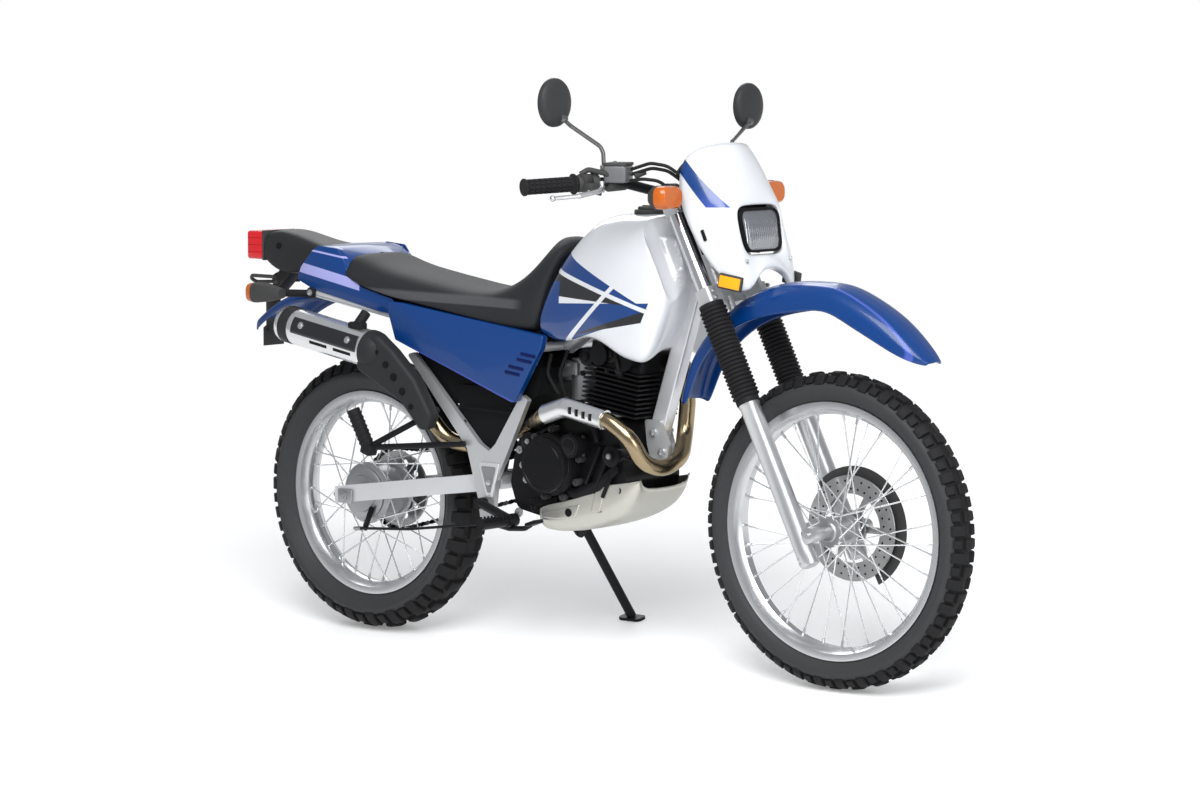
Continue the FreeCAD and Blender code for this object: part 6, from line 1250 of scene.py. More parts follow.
def cowl_paint(nodes: Nodes) -> None:
    """The blue wings with a violet lower end.

    Args:
        nodes: The finish's shader.
    """
    x, y, z = nodes.place()
    run = nodes.slope(z, 1.034, -1.02, 1.120)
    gap = nodes.minus(x, run)
    wide = nodes.slope(z, 1.034, -0.10, 0.040)
    inside = nodes.band(gap, nodes.times(wide, -1.0), 0.004, 0.001)
    tall = nodes.band(z, 1.036, 1.146, 0.002)
    off = nodes.edge(nodes.size(y), 0.066, 0.002)
    wing = nodes.times(nodes.times(inside, tall), off)
    fade = nodes.math("DIVIDE", nodes.minus(z, 1.036), 0.04, clamp=True)
    blue = nodes.mix(fade, (0.03, 0.07, 0.34), BLUE_RGB)
    nodes.paint(nodes.mix(wing, WHITE_RGB, blue))


@dataclass
class HeadlightCowl:
    """The white cowl: half loops of X, Y and Z, with the same number of points each.

    Attributes:
        rear: The rear edge.
        bulge: The widest loop.
        face: The rim of the front face.
        lamp: The lamp's opening.
    """

    rear: tuple = (
        (1065, 0, 1174), (1050, 50, 1171), (1038, 91, 1164), (1013, 118, 1142), (1008, 127, 1085),
        (1021, 128, 1022), (1077, 127, 934), (1111, 112, 893), (1136, 100, 862), (1158, 74, 853),
        (1162, 60, 870), (1156, 44, 892), (1150, 0, 904),
    )
    bulge: tuple = (
        (1088, 0, 1141), (1080, 50, 1137), (1068, 92, 1128), (1056, 117, 1103), (1062, 124, 1063),
        (1072, 126, 1016), (1114, 121, 938), (1138, 113, 896), (1160, 99, 860), (1170, 77, 856),
        (1172, 60, 874), (1170, 42, 896), (1168, 0, 906),
    )
    face: tuple = (
        (1112, 0, 1086), (1109, 46, 1083), (1103, 80, 1076), (1102, 98, 1058), (1108, 105, 1038),
        (1116, 104, 1008), (1142, 100, 946), (1157, 96, 910), (1169, 84, 884), (1173, 68, 880),
        (1174, 54, 890), (1174, 38, 904), (1173, 0, 912),
    )
    lamp: tuple = (
        (1133, 0, 1039), (1133, 40, 1039), (1134, 64, 1036), (1135, 73, 1027), (1137, 75, 1012),
        (1141, 74, 990), (1147, 71, 958), (1151, 66, 944), (1153, 54, 935), (1154, 40, 933), (1154, 27, 933),
        (1154, 13, 933), (1154, 0, 933),
    )

    def build(self) -> None:
        """Makes the shell, dark marks as painted shade in its slots, and its screws."""
        def loop(points: Sequence[Point], inset: float = 0.0) -> list:
            """A whole loop from its half, set back by the inset."""
            return both([(x - inset, -y, z) for x, y, z in points])

        middle = [tuple((a + b) / 2 for a, b in zip(p, q)) for p, q in zip(self.face, self.lamp)]
        lifted = [(x + 3, y, z) for x, y, z in middle]
        rings = [loop(self.rear), loop(self.bulge), loop(self.face), loop(lifted),
                 loop(self.lamp), loop(self.lamp, 14)]
        finish = Finish("cowl_paint", WHITE_RGB, "cowl_white", roughness=0.28, coat=0.6, paint=cowl_paint)
        Piece("cowl_shape", finish, Body.STEERING, levels=2, wall=3.0,
              hides="headlight_cowl").form(skin, rings)
        bm = bmesh.new()
        for y in (-78, 78):
            bolt(bm, (1160, y, 921), (1, 0, -0.2), 4.0, 3.0)
        Piece("cowl_screws", Look.BOLT, Body.STEERING).make(bm)
        # Dark marks in the cowl's slots: painted shade.
        bm = bmesh.new()
        for side in (-1, 1):
            box(bm, (1078, side * 124.5, 976), (26, 6, 8), turned(66), bevel=2.4)
        Piece("cowl_slot_shade", Look.DARK, Body.STEERING).make(bm)


def flute_paint(nodes: Nodes) -> None:
    """Upright flutes across the lamp's glass.

    Args:
        nodes: The finish's shader.
    """
    _, y, z = nodes.place()
    wave = nodes.math("SINE", nodes.times(y, 900.0))
    across = nodes.math("SINE", nodes.times(z, 300.0))
    height = nodes.plus(wave, nodes.times(across, 0.35))
    bump = nodes.add("ShaderNodeBump", {"Height": height, "Distance": 0.0008, "Strength": 0.6})
    nodes.set(nodes.shader, "Normal", bump.outputs["Normal"])


@dataclass
class Headlight:
    """The lamp: a black bezel round a fluted glass over a bright bowl.

    Attributes:
        top: Z of its upper edge.
        foot: Z of its lower edge.
        half: Half its width.
    """

    top: float = 1033.0
    foot: float = 938.0
    half: float = 71.0

    def _loop(self, shrink: float, depth: float) -> list:
        """A loop of the lamp's rounded outline.

        Args:
            shrink: How far it lies inside the outline.
            depth: How far it is set back.

        Returns:
            The loop's points.
        """
        corners = [(self.half - shrink, self.top - shrink), (self.half * 0.87 - shrink, self.foot + shrink),
                   (-self.half * 0.87 + shrink, self.foot + shrink),
                   (-self.half + shrink, self.top - shrink)]
        line = rounded([(y, z, 0) for y, z in corners], 24, closed=True, steps=7)
        height = self.top - self.foot
        return [Vector((1151 - 19 * (p.y - self.foot) / height - depth, p.x, p.y)) for p in line]

    def build(self) -> None:
        """Makes the bezel, the bowl and the glass."""
        loops = [self._loop(*spot) for spot in ((0, 30), (0, 1), (1.0, -1), (3.6, -1), (4.6, 1), (4.6, 12))]
        Piece("lamp_bezel", Look.DARK, Body.STEERING, hides="headlight").form(skin, loops)
        bm = bmesh.new()
        rows = skin(bm, [self._loop(4.4, 6), self._loop(14, 22), self._loop(24, 34), self._loop(38, 40)])
        bm.faces.new(rows[-1])
        rod(bm, (1100, 0, 985), (1122, 0, 985), 15, 24, bevel=4)
        Piece("lamp_bowl", Look.CHROME, Body.STEERING).make(bm, clean=True)
        bm = bmesh.new()
        rows = skin(bm, [self._loop(4.4, 3), self._loop(10, 0.5), self._loop(24, -2.5), self._loop(38, -4)])
        bm.faces.new(rows[-1])
        glass = Finish("lamp_glass", (0.34, 0.36, 0.39), "lamp_clear", metallic=0.85, roughness=0.2,
                       coat=1.0, paint=flute_paint)
        Piece("lamp_glass", glass, Body.STEERING).make(bm, clean=True)
        bm = bmesh.new()
        for side in (-1, 1):
            outline = [(1000, 1010), (1030, 930), (1082, 930), (1100, 990), (1096, 1080), (1050, 1140),
                       (1016, 1146), (1004, 1080)]
            slab(bm, outline, side * 67, side * 70.5, bevel=1.0)
        Piece("lamp_brackets", Look.SATIN_BLACK, Body.STEERING, hides="lamp_stays").make(bm, clean=True)


@dataclass
class Signals:
    """The four turn signals and the two side reflectors.

    Attributes:
        front: Middle of the left front signal.
        rear: Middle of the left rear signal.
    """

    front: tuple = (1014, 184, 1058)
    rear: tuple = (-236, 160, 797)

    def build(self) -> None:
        """Makes lenses, bodies, stalks and reflectors."""
        lens, back, stalks = bmesh.new(), bmesh.new(), bmesh.new()
        for side in (-1, 1):
            self._lamp(lens, back, self._place(self.front, side), 1, 76, 50, 28, 30)
            rod(stalks, (996, side * 72, 1056), (996, side * 145, 1056), 7, 20)
            box(stalks, (996, side * 79, 1056), (24, 10, 26), bevel=4)
        Piece("front_signal_lenses", Look.AMBER, Body.STEERING, hides="front_signals").make(lens)
        Piece("front_signal_backs", Look.BLACK, Body.STEERING).make(back)
        Piece("front_signal_stalks", Look.RUBBER, Body.STEERING).make(stalks)
        lens, back, stalks = bmesh.new(), bmesh.new(), bmesh.new()
        for side in (-1, 1):
            self._lamp(lens, back, self._place(self.rear, side), -1, 56, 46, 22, 78)
            rod(stalks, (-110, side * 112, 797), (-180, side * 140, 797), 9, 20)
        Piece("rear_signal_lenses", Look.AMBER, hides="rear_signals").make(lens)
        Piece("rear_signal_backs", Look.BLACK).make(back)
        Piece("rear_signal_stalks", Look.RUBBER).make(stalks)
        lens, back = bmesh.new(), bmesh.new()
        for side in (-1, 1):
            turn = turned(-side * 14, "Z") @ turned(10)
            box(back, (1140, side * 110, 876), (56, 10, 33), turn, bevel=2.5)
            # The reflector lenses glow: painted light.
            box(lens, (1140.5, side * 114, 876), (49, 6, 25), turn, bevel=1.5)
        Piece("reflector_frames", Look.BLACK, Body.STEERING, hides="fork_reflectors").make(back)
        Piece("reflector_lenses", Look.AMBER_PAINTED_GLOW, Body.STEERING).make(lens)

    @staticmethod
    def _place(spot: Point, side: int) -> Vector:
        """A place on the left, or its mirror image where the side is -1."""
        return Vector((spot[0], side * spot[1], spot[2]))

    @staticmethod
    def _lamp(lens: BMesh, back: BMesh, centre: Vector, way: int, wide: float, high: float,
              lens_deep: float, back_deep: float) -> None:
        """Makes one signal: a domed lens on a tapering black body.

        Args:
            lens: The mesh that gets the lens.
            back: The mesh that gets the body.
            centre: Middle of the joint between them.
            way: 1 if the lens points forward, -1 if it points back.
            wide: Width of the lens.
            high: Its height.
            lens_deep: Depth of the lens.
            back_deep: Depth of the body.
        """
        def loop(grow: float, x: float) -> list:
            """A loop of the signal's outline.

            Args:
                grow: Its size as a share of the outline.
                x: Its distance ahead of the joint.

            Returns:
                The loop's points.
            """
            corners = [(-wide / 2, -high / 2), (wide / 2, -high / 2), (wide / 2, high / 2),
                       (-wide / 2, high / 2)]
            line = rounded([(y, z, 0) for y, z in corners], high * 0.42, closed=True, steps=6)
            return [centre + Vector((x * way, p.x * grow, p.y * grow)) for p in line]

        outward(lens, skin, [loop(1.0, 0), loop(1.0, lens_deep * 0.5), loop(0.94, lens_deep * 0.8),
                             loop(0.78, lens_deep)], ends=True)
        outward(back, skin, [loop(1.04, 1.5), loop(1.04, -4), loop(0.90, -back_deep * 0.4),
                             loop(0.6, -back_deep * 0.85), loop(0.45, -back_deep)], ends=True)


def tank_paint(nodes: Nodes) -> None:
    """The tank's bands: blue, white and black, as sloping edges in X and Z.

    Args:
        nodes: The finish's shader.
    """
    x, y, z = nodes.place()
    blue, black, white = BLUE_RGB, (0.010, 0.010, 0.012), WHITE_RGB

    def above(x1: float, z1: float, x2: float, z2: float) -> NodeSocket:
        """1 above the line through two points, 0 below it."""
        return nodes.edge(z, nodes.slope(x, x1, (z2 - z1) / (x2 - x1), z1), 0.0008)

    def between(low: NodeSocket, high: NodeSocket) -> NodeSocket:
        """What is above the first line and not above the second."""
        return nodes.times(low, nodes.inverse(high))

    top_band = between(above(0.694, 0.878, 0.951, 0.800), above(0.694, 0.918, 0.930, 0.806))
    white_line = between(above(0.694, 0.868, 0.951, 0.790), above(0.694, 0.878, 0.951, 0.800))
    dark = between(above(0.650, 0.828, 0.951, 0.810), above(0.694, 0.868, 0.951, 0.790))
    swoosh = between(above(0.689, 0.727, 0.921, 0.793), above(0.690, 0.812, 0.923, 0.822))
    low_dark = between(above(0.740, 0.748, 0.945, 0.785), above(0.689, 0.737, 0.945, 0.812))
    ends = nodes.inverse(nodes.edge(x, nodes.plus(nodes.times(z, 0.4), 0.598), 0.001))
    white_line, low_dark = nodes.times(white_line, ends), nodes.times(low_dark, ends)
    color = nodes.mix(nodes.times(swoosh, ends), white, blue)
    color = nodes.mix(low_dark, color, black)
    color = nodes.mix(dark, color, black)
    color = nodes.mix(white_line, color, white)
    color = nodes.mix(top_band, color, blue)
    slant = nodes.band(x, nodes.slope(z, 0.867, 1.115, 0.838), nodes.slope(z, 0.867, 1.115, 0.853), 0.0008)
    color = nodes.mix(slant, color, white)
    rear = nodes.times(nodes.inverse(nodes.edge(x, 0.672, 0.001)), nodes.inverse(nodes.edge(z, 0.86, 0.001)))
    color = nodes.mix(rear, color, blue)
    nodes.paint(color)


@dataclass(frozen=True)
class SteeringRoom:
    """The space behind the fork that the tank has to leave free at full lock.

    Attributes:
        tube: Radius of the room round a fork tube.
        lock_deg: Where a tube stands at full lock, round the steering axis from straight ahead.
        clamp_foot: Place up the fork where the upper clamp's room begins.
        clamp_fade: Height over which that room grows to its full depth.
        clamp_back: Its depth behind the steering axis, in the middle plane.
        clamp_spread: How much deeper it gets with the distance to the side.
        ahead: A lead that no point of the tank reaches.
    """

    tube: float = 36.0
    lock_deg: float = 113.5
    clamp_foot: float = 732.0
    clamp_fade: float = 24.0
    clamp_back: float = 41.0
    clamp_spread: float = 0.37
    ahead: float = 400.0

    def clear(self, point: Vector) -> Vector:
        """Moves a point of the tank back out of the room.

        Args:
            point: A point in upright millimetres.

        Returns:
            The point, moved back square to the steering axis where it has to be.
        """
        x, z = point.x - WHEELBASE, point.z - FRONT_RADIUS
        lead = x * math.cos(RAKE) + z * math.sin(RAKE) + STEERING_BACK
        up = z * math.cos(RAKE) - x * math.sin(RAKE)
        reach, across = math.hypot(STEERING_BACK - AXLE_LEAD, FORK_HALF), abs(point.y)
        moved = 0.0
        if across < reach:
            share = min(1.0, max(0.0, (up - self.clamp_foot) / self.clamp_fade))
            moved = share * max(0.0, lead + self.clamp_back + self.clamp_spread * across)
        lock = math.radians(self.lock_deg)
        side, back = reach * math.sin(lock), reach * math.cos(lock)
        limit = self.ahead
        if abs(across - side) < self.tube:
            limit = back - math.sqrt(self.tube ** 2 - (across - side) ** 2)
        elif side < across < reach + self.tube:
            limit = -math.sqrt((reach + self.tube) ** 2 - across ** 2)
        moved += max(0.0, lead - moved - limit)
        return point - spoke(RAKE) * moved


@dataclass
class FuelTank:
    """The tank as sections across the motorcycle, with its cap.

    Attributes:
        stations: X, underside, top and half width of each section.
    """

    stations: tuple = (
        (601, 742, 790, 118), (612, 738, 822, 122), (626, 733, 868, 125), (656, 721, 930, 129),
        (700, 723, 975, 132), (740, 737, 1004, 134), (780, 730, 1011, 137), (815, 713, 1012, 138),
        (845, 696, 1012, 138), (880, 688, 1012, 137), (905, 684, 1008, 135), (925, 706, 994, 130),
        (942, 752, 966, 120), (955, 800, 930, 106), (961, 832, 908, 94),
    )

    def build(self) -> None:
        """Makes the tank and its cap."""
        rings = []
        for x, low, top, half in self.stations:
            rise = top - low
            shape = [(0, top), (half * 0.26, top - rise * 0.004), (half * 0.50, top - rise * 0.035),
                     (half * 0.74, top - rise * 0.12), (half * 0.92, top - rise * 0.27),
                     (half * 0.99, top - rise * 0.45), (half, low + rise * 0.30),
                     (half * 0.985, low + rise * 0.12), (half * 0.94, low), (half * 0.70, low + 4),
                     (half * 0.4, low + 30)]
            rings.append(ring_x(x, shape))
        finish = Finish("tank_paint", WHITE_RGB, "tank_white", roughness=0.24, coat=0.8, paint=tank_paint)
        Piece("tank_shape", finish, levels=3, hides="fuel_tank",
              room=SteeringRoom().clear).form(skin, rings, ends=True)
        bm = bmesh.new()
        rod(bm, (826, 0, 1008), (826, 0, 1020), 33, 40, bevel=3)
        rod(bm, (826, 0, 1018), (826, 0, 1027), 25, 40, bevel=3)
        box(bm, (826, 0, 1028), (34, 8, 3), bevel=1)
        Piece("cap_shape", Look.BLACK, hides="fuel_cap").make(bm)


def seat_paint(nodes: Nodes) -> None:
    """A lighter band along the seat's crease.

    Args:
        nodes: The finish's shader.
    """
    x, _, z = nodes.place()
    line = nodes.slope(x, 0.30, -0.02, 0.806)
    low = nodes.edge(z, nodes.minus(line, 0.010), 0.003)
    high = nodes.edge(z, nodes.plus(line, 0.010), 0.006)
    share = nodes.times(low, nodes.inverse(high))
    band = nodes.times(share, nodes.inverse(nodes.edge(x, 0.54, 0.03)))
    nodes.paint(nodes.mix(band, (0.022, 0.023, 0.025), (0.07, 0.07, 0.075)))


@dataclass
class Seat:
    """The long padded seat.

    Attributes:
        stations: X, underside, top, half width at the foot and of the top.
    """

    stations: tuple = (
        (-9, 860, 870, 104, 72), (-6, 851, 884, 112, 80), (4, 844, 892, 118, 85), (20, 836, 895, 121, 87),
        (60, 820, 881, 125, 88), (110, 809, 868, 126, 87), (155, 800, 860, 128, 88),
        (220, 790, 849, 128, 88), (285, 781, 839, 128, 88), (350, 771, 829, 128, 88),
        (415, 761, 826, 128, 86), (460, 754, 835, 127, 78), (500, 748, 855, 125, 66),
        (540, 743, 890, 124, 57), (575, 742, 930, 123, 52), (596, 746, 954, 121, 48),
        (622, 881, 952, 98, 44), (646, 924, 940, 68, 38),
    )

    def build(self) -> None:
        """Makes the cushion."""
        rings = []
        for x, low, top, foot, flat in self.stations:
            rise = top - low
            shape = [(0, top + 0.5), (flat * 0.5, top), (flat * 0.92, top - rise * 0.05),
                     (foot * 0.5 + flat * 0.5, top - rise * 0.22),
                     (foot * 0.84 + flat * 0.16, low + rise * 0.52), (foot * 0.96, low + rise * 0.40),
                     (foot, low + rise * 0.30), (foot, low + rise * 0.08), (foot * 0.97, low),
                     (foot * 0.4, low + 1)]
            rings.append(ring_x(x, shape))
        finish = Finish("seat_cover", (0.022, 0.023, 0.025), "seat_vinyl", roughness=0.56, grain=0.0016,
                        bump=0.0001, paint=seat_paint)
        made = Piece("seat_shape", finish, levels=2, hides="seat").form(skin, rings, ends=True)


def arc_panel(bm: BMesh, start: Point, end: Point, radius: float, wall: float, low_deg: float,
              high_deg: float, steps: int = 16) -> None:
    """A curved plate round an axis.

    Args:
        bm: The mesh that gets the plate.
        start: Where its axis starts.
        end: Where it ends.
        radius: Outer radius.
        wall: Thickness.
        low_deg: First angle, measured from the right side upwards.
        high_deg: Last angle.
        steps: Number of chords.
    """
    a, b = Vector(start), Vector(end)
    along = (b - a).normalized()
    out = Vector((0, -1, 0))
    out = (out - along * out.dot(along)).normalized()
    up = (UP - along * UP.dot(along) - out * UP.dot(out)).normalized()
    turns = [math.radians(low_deg + (high_deg - low_deg) * k / steps) for k in range(steps + 1)]
    rings = []
    for spot, grow in ((a, -1.0), (a, 0.0), (b, 0.0), (b, -1.0)):
        reach = radius + grow * wall
        rings.append([spot + out * math.cos(t) * reach + up * math.sin(t) * reach for t in turns])
    rings.append(rings[0])
    part = bmesh.new()
    skin(part, rings, wrap=False)
    bmesh.ops.remove_doubles(part, verts=part.verts, dist=0.001)
    bmesh.ops.holes_fill(part, edges=part.edges, sides=0)
    merge(bm, part, outward=True)


@dataclass
class Engine:
    """Covers, ribs, bolts and small castings over the engine's CAD bodies.

    Attributes:
        crank: X and Z of the crankshaft.
        clutch: Radius of the large cover's rim.
        side: Right face of the cases.
        ribs: X, Z, length and lean of each rib.
        head_bosses: X and Z of the large round covers on the head.
        front_mounts: X and Z of the bolts of the front engine plates.
        frame_mounts: X and Z of the bolts of the pivot plates and rails.
    """

    crank: tuple = (640.0, 447.0)
    clutch: float = 70.0
    side: float = -96.0
    ribs: tuple = (
        (752, 452, 96, 26), (776, 436, 104, 26), (800, 424, 96, 26), (588, 388, 50, -40), (610, 520, 46, 60),
    )
    head_bosses: tuple = ((706, 690), (778, 700))
    front_mounts: tuple = ((853, 462), (886, 484), (862, 526))
    frame_mounts: tuple = ((455, 392), (542, 330), (232, 556), (560, 640))

    def build(self) -> None:
        """Makes both sides and the top."""
        self._covers()
        self._ribs()
        self._bolts()
        self._top()
        self._mounts()

    def _covers(self) -> None:
        """Makes the round covers on both sides and their bright rings."""
        bm = bmesh.new()
        r = self.clutch
        right = [(r + 0.6, -112), (r + 0.6, -129), (r - 1.5, -132.4), (r - 5.5, -133.2), (r - 6.8, -137),
                 (r - 7.2, -147), (r - 9.5, -150.6), (r - 15, -151.2), (r - 16.2, -150.2),
                 (r - 18.2, -150.2), (r - 19.4, -151.2), (0, -151.6)]
        revolve(bm, right, (self.crank[0], 0, self.crank[1]), (0, 1, 0), 96)
        small = [(27.6, -105), (27.6, -139), (25.5, -142.4), (19, -142.7), (18, -144.8),
                 (16, -145.6), (0, -146)]
        revolve(bm, small, (710, 0, 494), (0, 1, 0), 56)
        left = [(74.6, 100), (74.6, 121), (72, 125.4), (66, 127), (52, 127.6), (50, 126.4), (40, 126.4),
                (38, 127.8), (0, 128)]
        revolve(bm, left, (690, 0, self.crank[1]), (0, 1, 0), 96)
        Piece("engine_covers", Look.COVER_BLACK).make(bm, clean=True)
        bm = bmesh.new()
        ring = [(r - 5.6, -133.0), (r - 5.8, -134.6), (r - 7.4, -134.6), (r - 7.2, -133.0)]
        revolve(bm, ring + [ring[0]], (self.crank[0], 0, self.crank[1]), (0, 1, 0), 96)
        revolve(bm, [(19.5, -142.4), (19.5, -143.4), (17.9, -143.4), (17.9, -142.4), (19.5, -142.4)],
                (710, 0, 494), (0, 1, 0), 56)
        Piece("cover_rings", Look.ENGINE_GREY).make(bm, clean=True)

    def _ribs(self) -> None:
        """Makes the ribs and bosses cast on the right side."""
        bm = bmesh.new()
        for x, z, long, lean in self.ribs:
            box(bm, (x, self.side - 6, z), (9, 16, long), turned(lean), bevel=2.4)
        rod(bm, (806, -60, 476), (806, -112, 476), 25, 32, bevel=3)
        rod(bm, (806, -60, 476), (806, -118, 476), 12, 24, bevel=2)
        rod(bm, (560, -80, 492), (560, -108, 492), 20, 28, bevel=3)
        slab(bm, [(566, 398), (700, 372), (768, 392), (824, 440), (820, 462), (760, 418), (698, 396),
                  (600, 416)], self.side, self.side - 12, bevel=3)
        slab(bm, [(560, 524), (604, 548), (700, 552), (742, 534), (756, 500), (770, 506), (758, 548),
                  (720, 566), (600, 562), (552, 536)], self.side, self.side - 14, bevel=3)
        box(bm, (602, -88, 352), (84, 24, 34), turned(-8), bevel=5)
        Piece("engine_ribs", Look.COVER_BLACK).make(bm)

    def _bolts(self) -> None:
        """Makes the bolts of the covers and of the cases."""
        dark, bright = bmesh.new(), bmesh.new()
        for k in range(9):
            turn = math.tau * (k + 0.3) / 9
            x, z = self.crank[0] + math.cos(turn) * 78, self.crank[1] + math.sin(turn) * 78
            rod(dark, (x, -92, z), (x, -118, z), 8.5, 20, bevel=1.5)
            bolt(dark, (x, -118, z), (0, -1, 0), 4.6, 4.5)
        for x, z in ((692, 515), (729, 474), (728, 513)):
            bolt(dark, (x, -112, z), (0, -1, 0), 4.2, 5)
        for k in range(7):
            turn = math.tau * k / 7
            x, z = 690 + math.cos(turn) * 80, self.crank[1] + math.sin(turn) * 80
            bolt(dark, (x, 112, z), (0, 1, 0), 4.6, 5)
        for x, z in ((806, 476), (560, 492)):
            bolt(bright, (x, -118 if x > 700 else -108, z), (0, -1, 0), 5.0, 4)
        for x, z in ((538, 436), (548, 404), (556, 470), (528, 470)):
            rod(bright, (x, -84, z), (x, -100, z), 9, 20, bevel=1.5)
            bolt(bright, (x, -100, z), (0, -1, 0), 5, 5)
        Piece("case_bolts", Look.ENGINE_GREY).make(dark)
        Piece("case_bright_bolts", Look.HUB).make(bright)

    def _top(self) -> None:
        """Makes the head's covers, the leads and the carburettor's details."""
        lean = turned(-8)
        bm = bmesh.new()
        for x, z in self.head_bosses:
            rod(bm, (x, -50, z), (x, -76, z), 21, 32, bevel=3)
            bolt(bm, (x, -76, z), (0, -1, 0), 9, 5)
        for k in range(4):
            spot = (694 + 36 * k, -68, 652 + 5 * k)
            rod(bm, spot, (spot[0], -74, spot[2]), 6.5, 16, bevel=1)
            bolt(bm, (spot[0], -74, spot[2]), (0, -1, 0), 5, 4)
        box(bm, (742, 0, 734), (70, 52, 16), lean, bevel=4)
        Piece("head_covers", Look.COVER_BLACK).make(bm)
        bm = bmesh.new()
        line = rounded([(800, -70, 655), (812, -92, 672), (794, -84, 716), (740, -60, 742)], 26)
        sweep(bm, line, 4.0, 12)
        rod(bm, (798, -62, 650), (806, -84, 666), 9, 20, bevel=2)
        for low, high in (((612, -60, 600), (596, -66, 690)), ((628, -52, 590), (640, -60, 700))):
            middle = ((low[0] + high[0]) / 2 - 14, low[1] - 14, (low[2] + high[2]) / 2)
            sweep(bm, rounded([low, middle, high], 30), 4.5, 10)
        Piece("engine_leads", Look.RUBBER).make(bm)
        bm = bmesh.new()
        for side in (-1, 1):
            box(bm, (630, side * 34, 656), (38, 8, 30), bevel=3)
            bolt(bm, (622, side * 38, 664), (0, side, 0), 4, 4)
            bolt(bm, (638, side * 38, 648), (0, side, 0), 4, 4)
        Piece("carburettor_details", Look.HUB).make(bm)

    def _mounts(self) -> None:
        """Makes the bolts that hold the engine and the frame's parts."""
        bm = bmesh.new()
        for x, z in self.front_mounts:
            for side in (-1, 1):
                rod(bm, (x, side * 24, z), (x, side * 31, z), 9, 20, bevel=1)
                bolt(bm, (x, side * 31, z), (0, side, 0), 7, 6)
        for x, z in self.frame_mounts:
            for side in (-1, 1):
                rod(bm, (x, side * 114, z), (x, side * 118, z), 11, 24, bevel=1)
                bolt(bm, (x, side * 118, z), (0, side, 0), 8, 6)
        Piece("frame_bolts", Look.BOLT).make(bm)


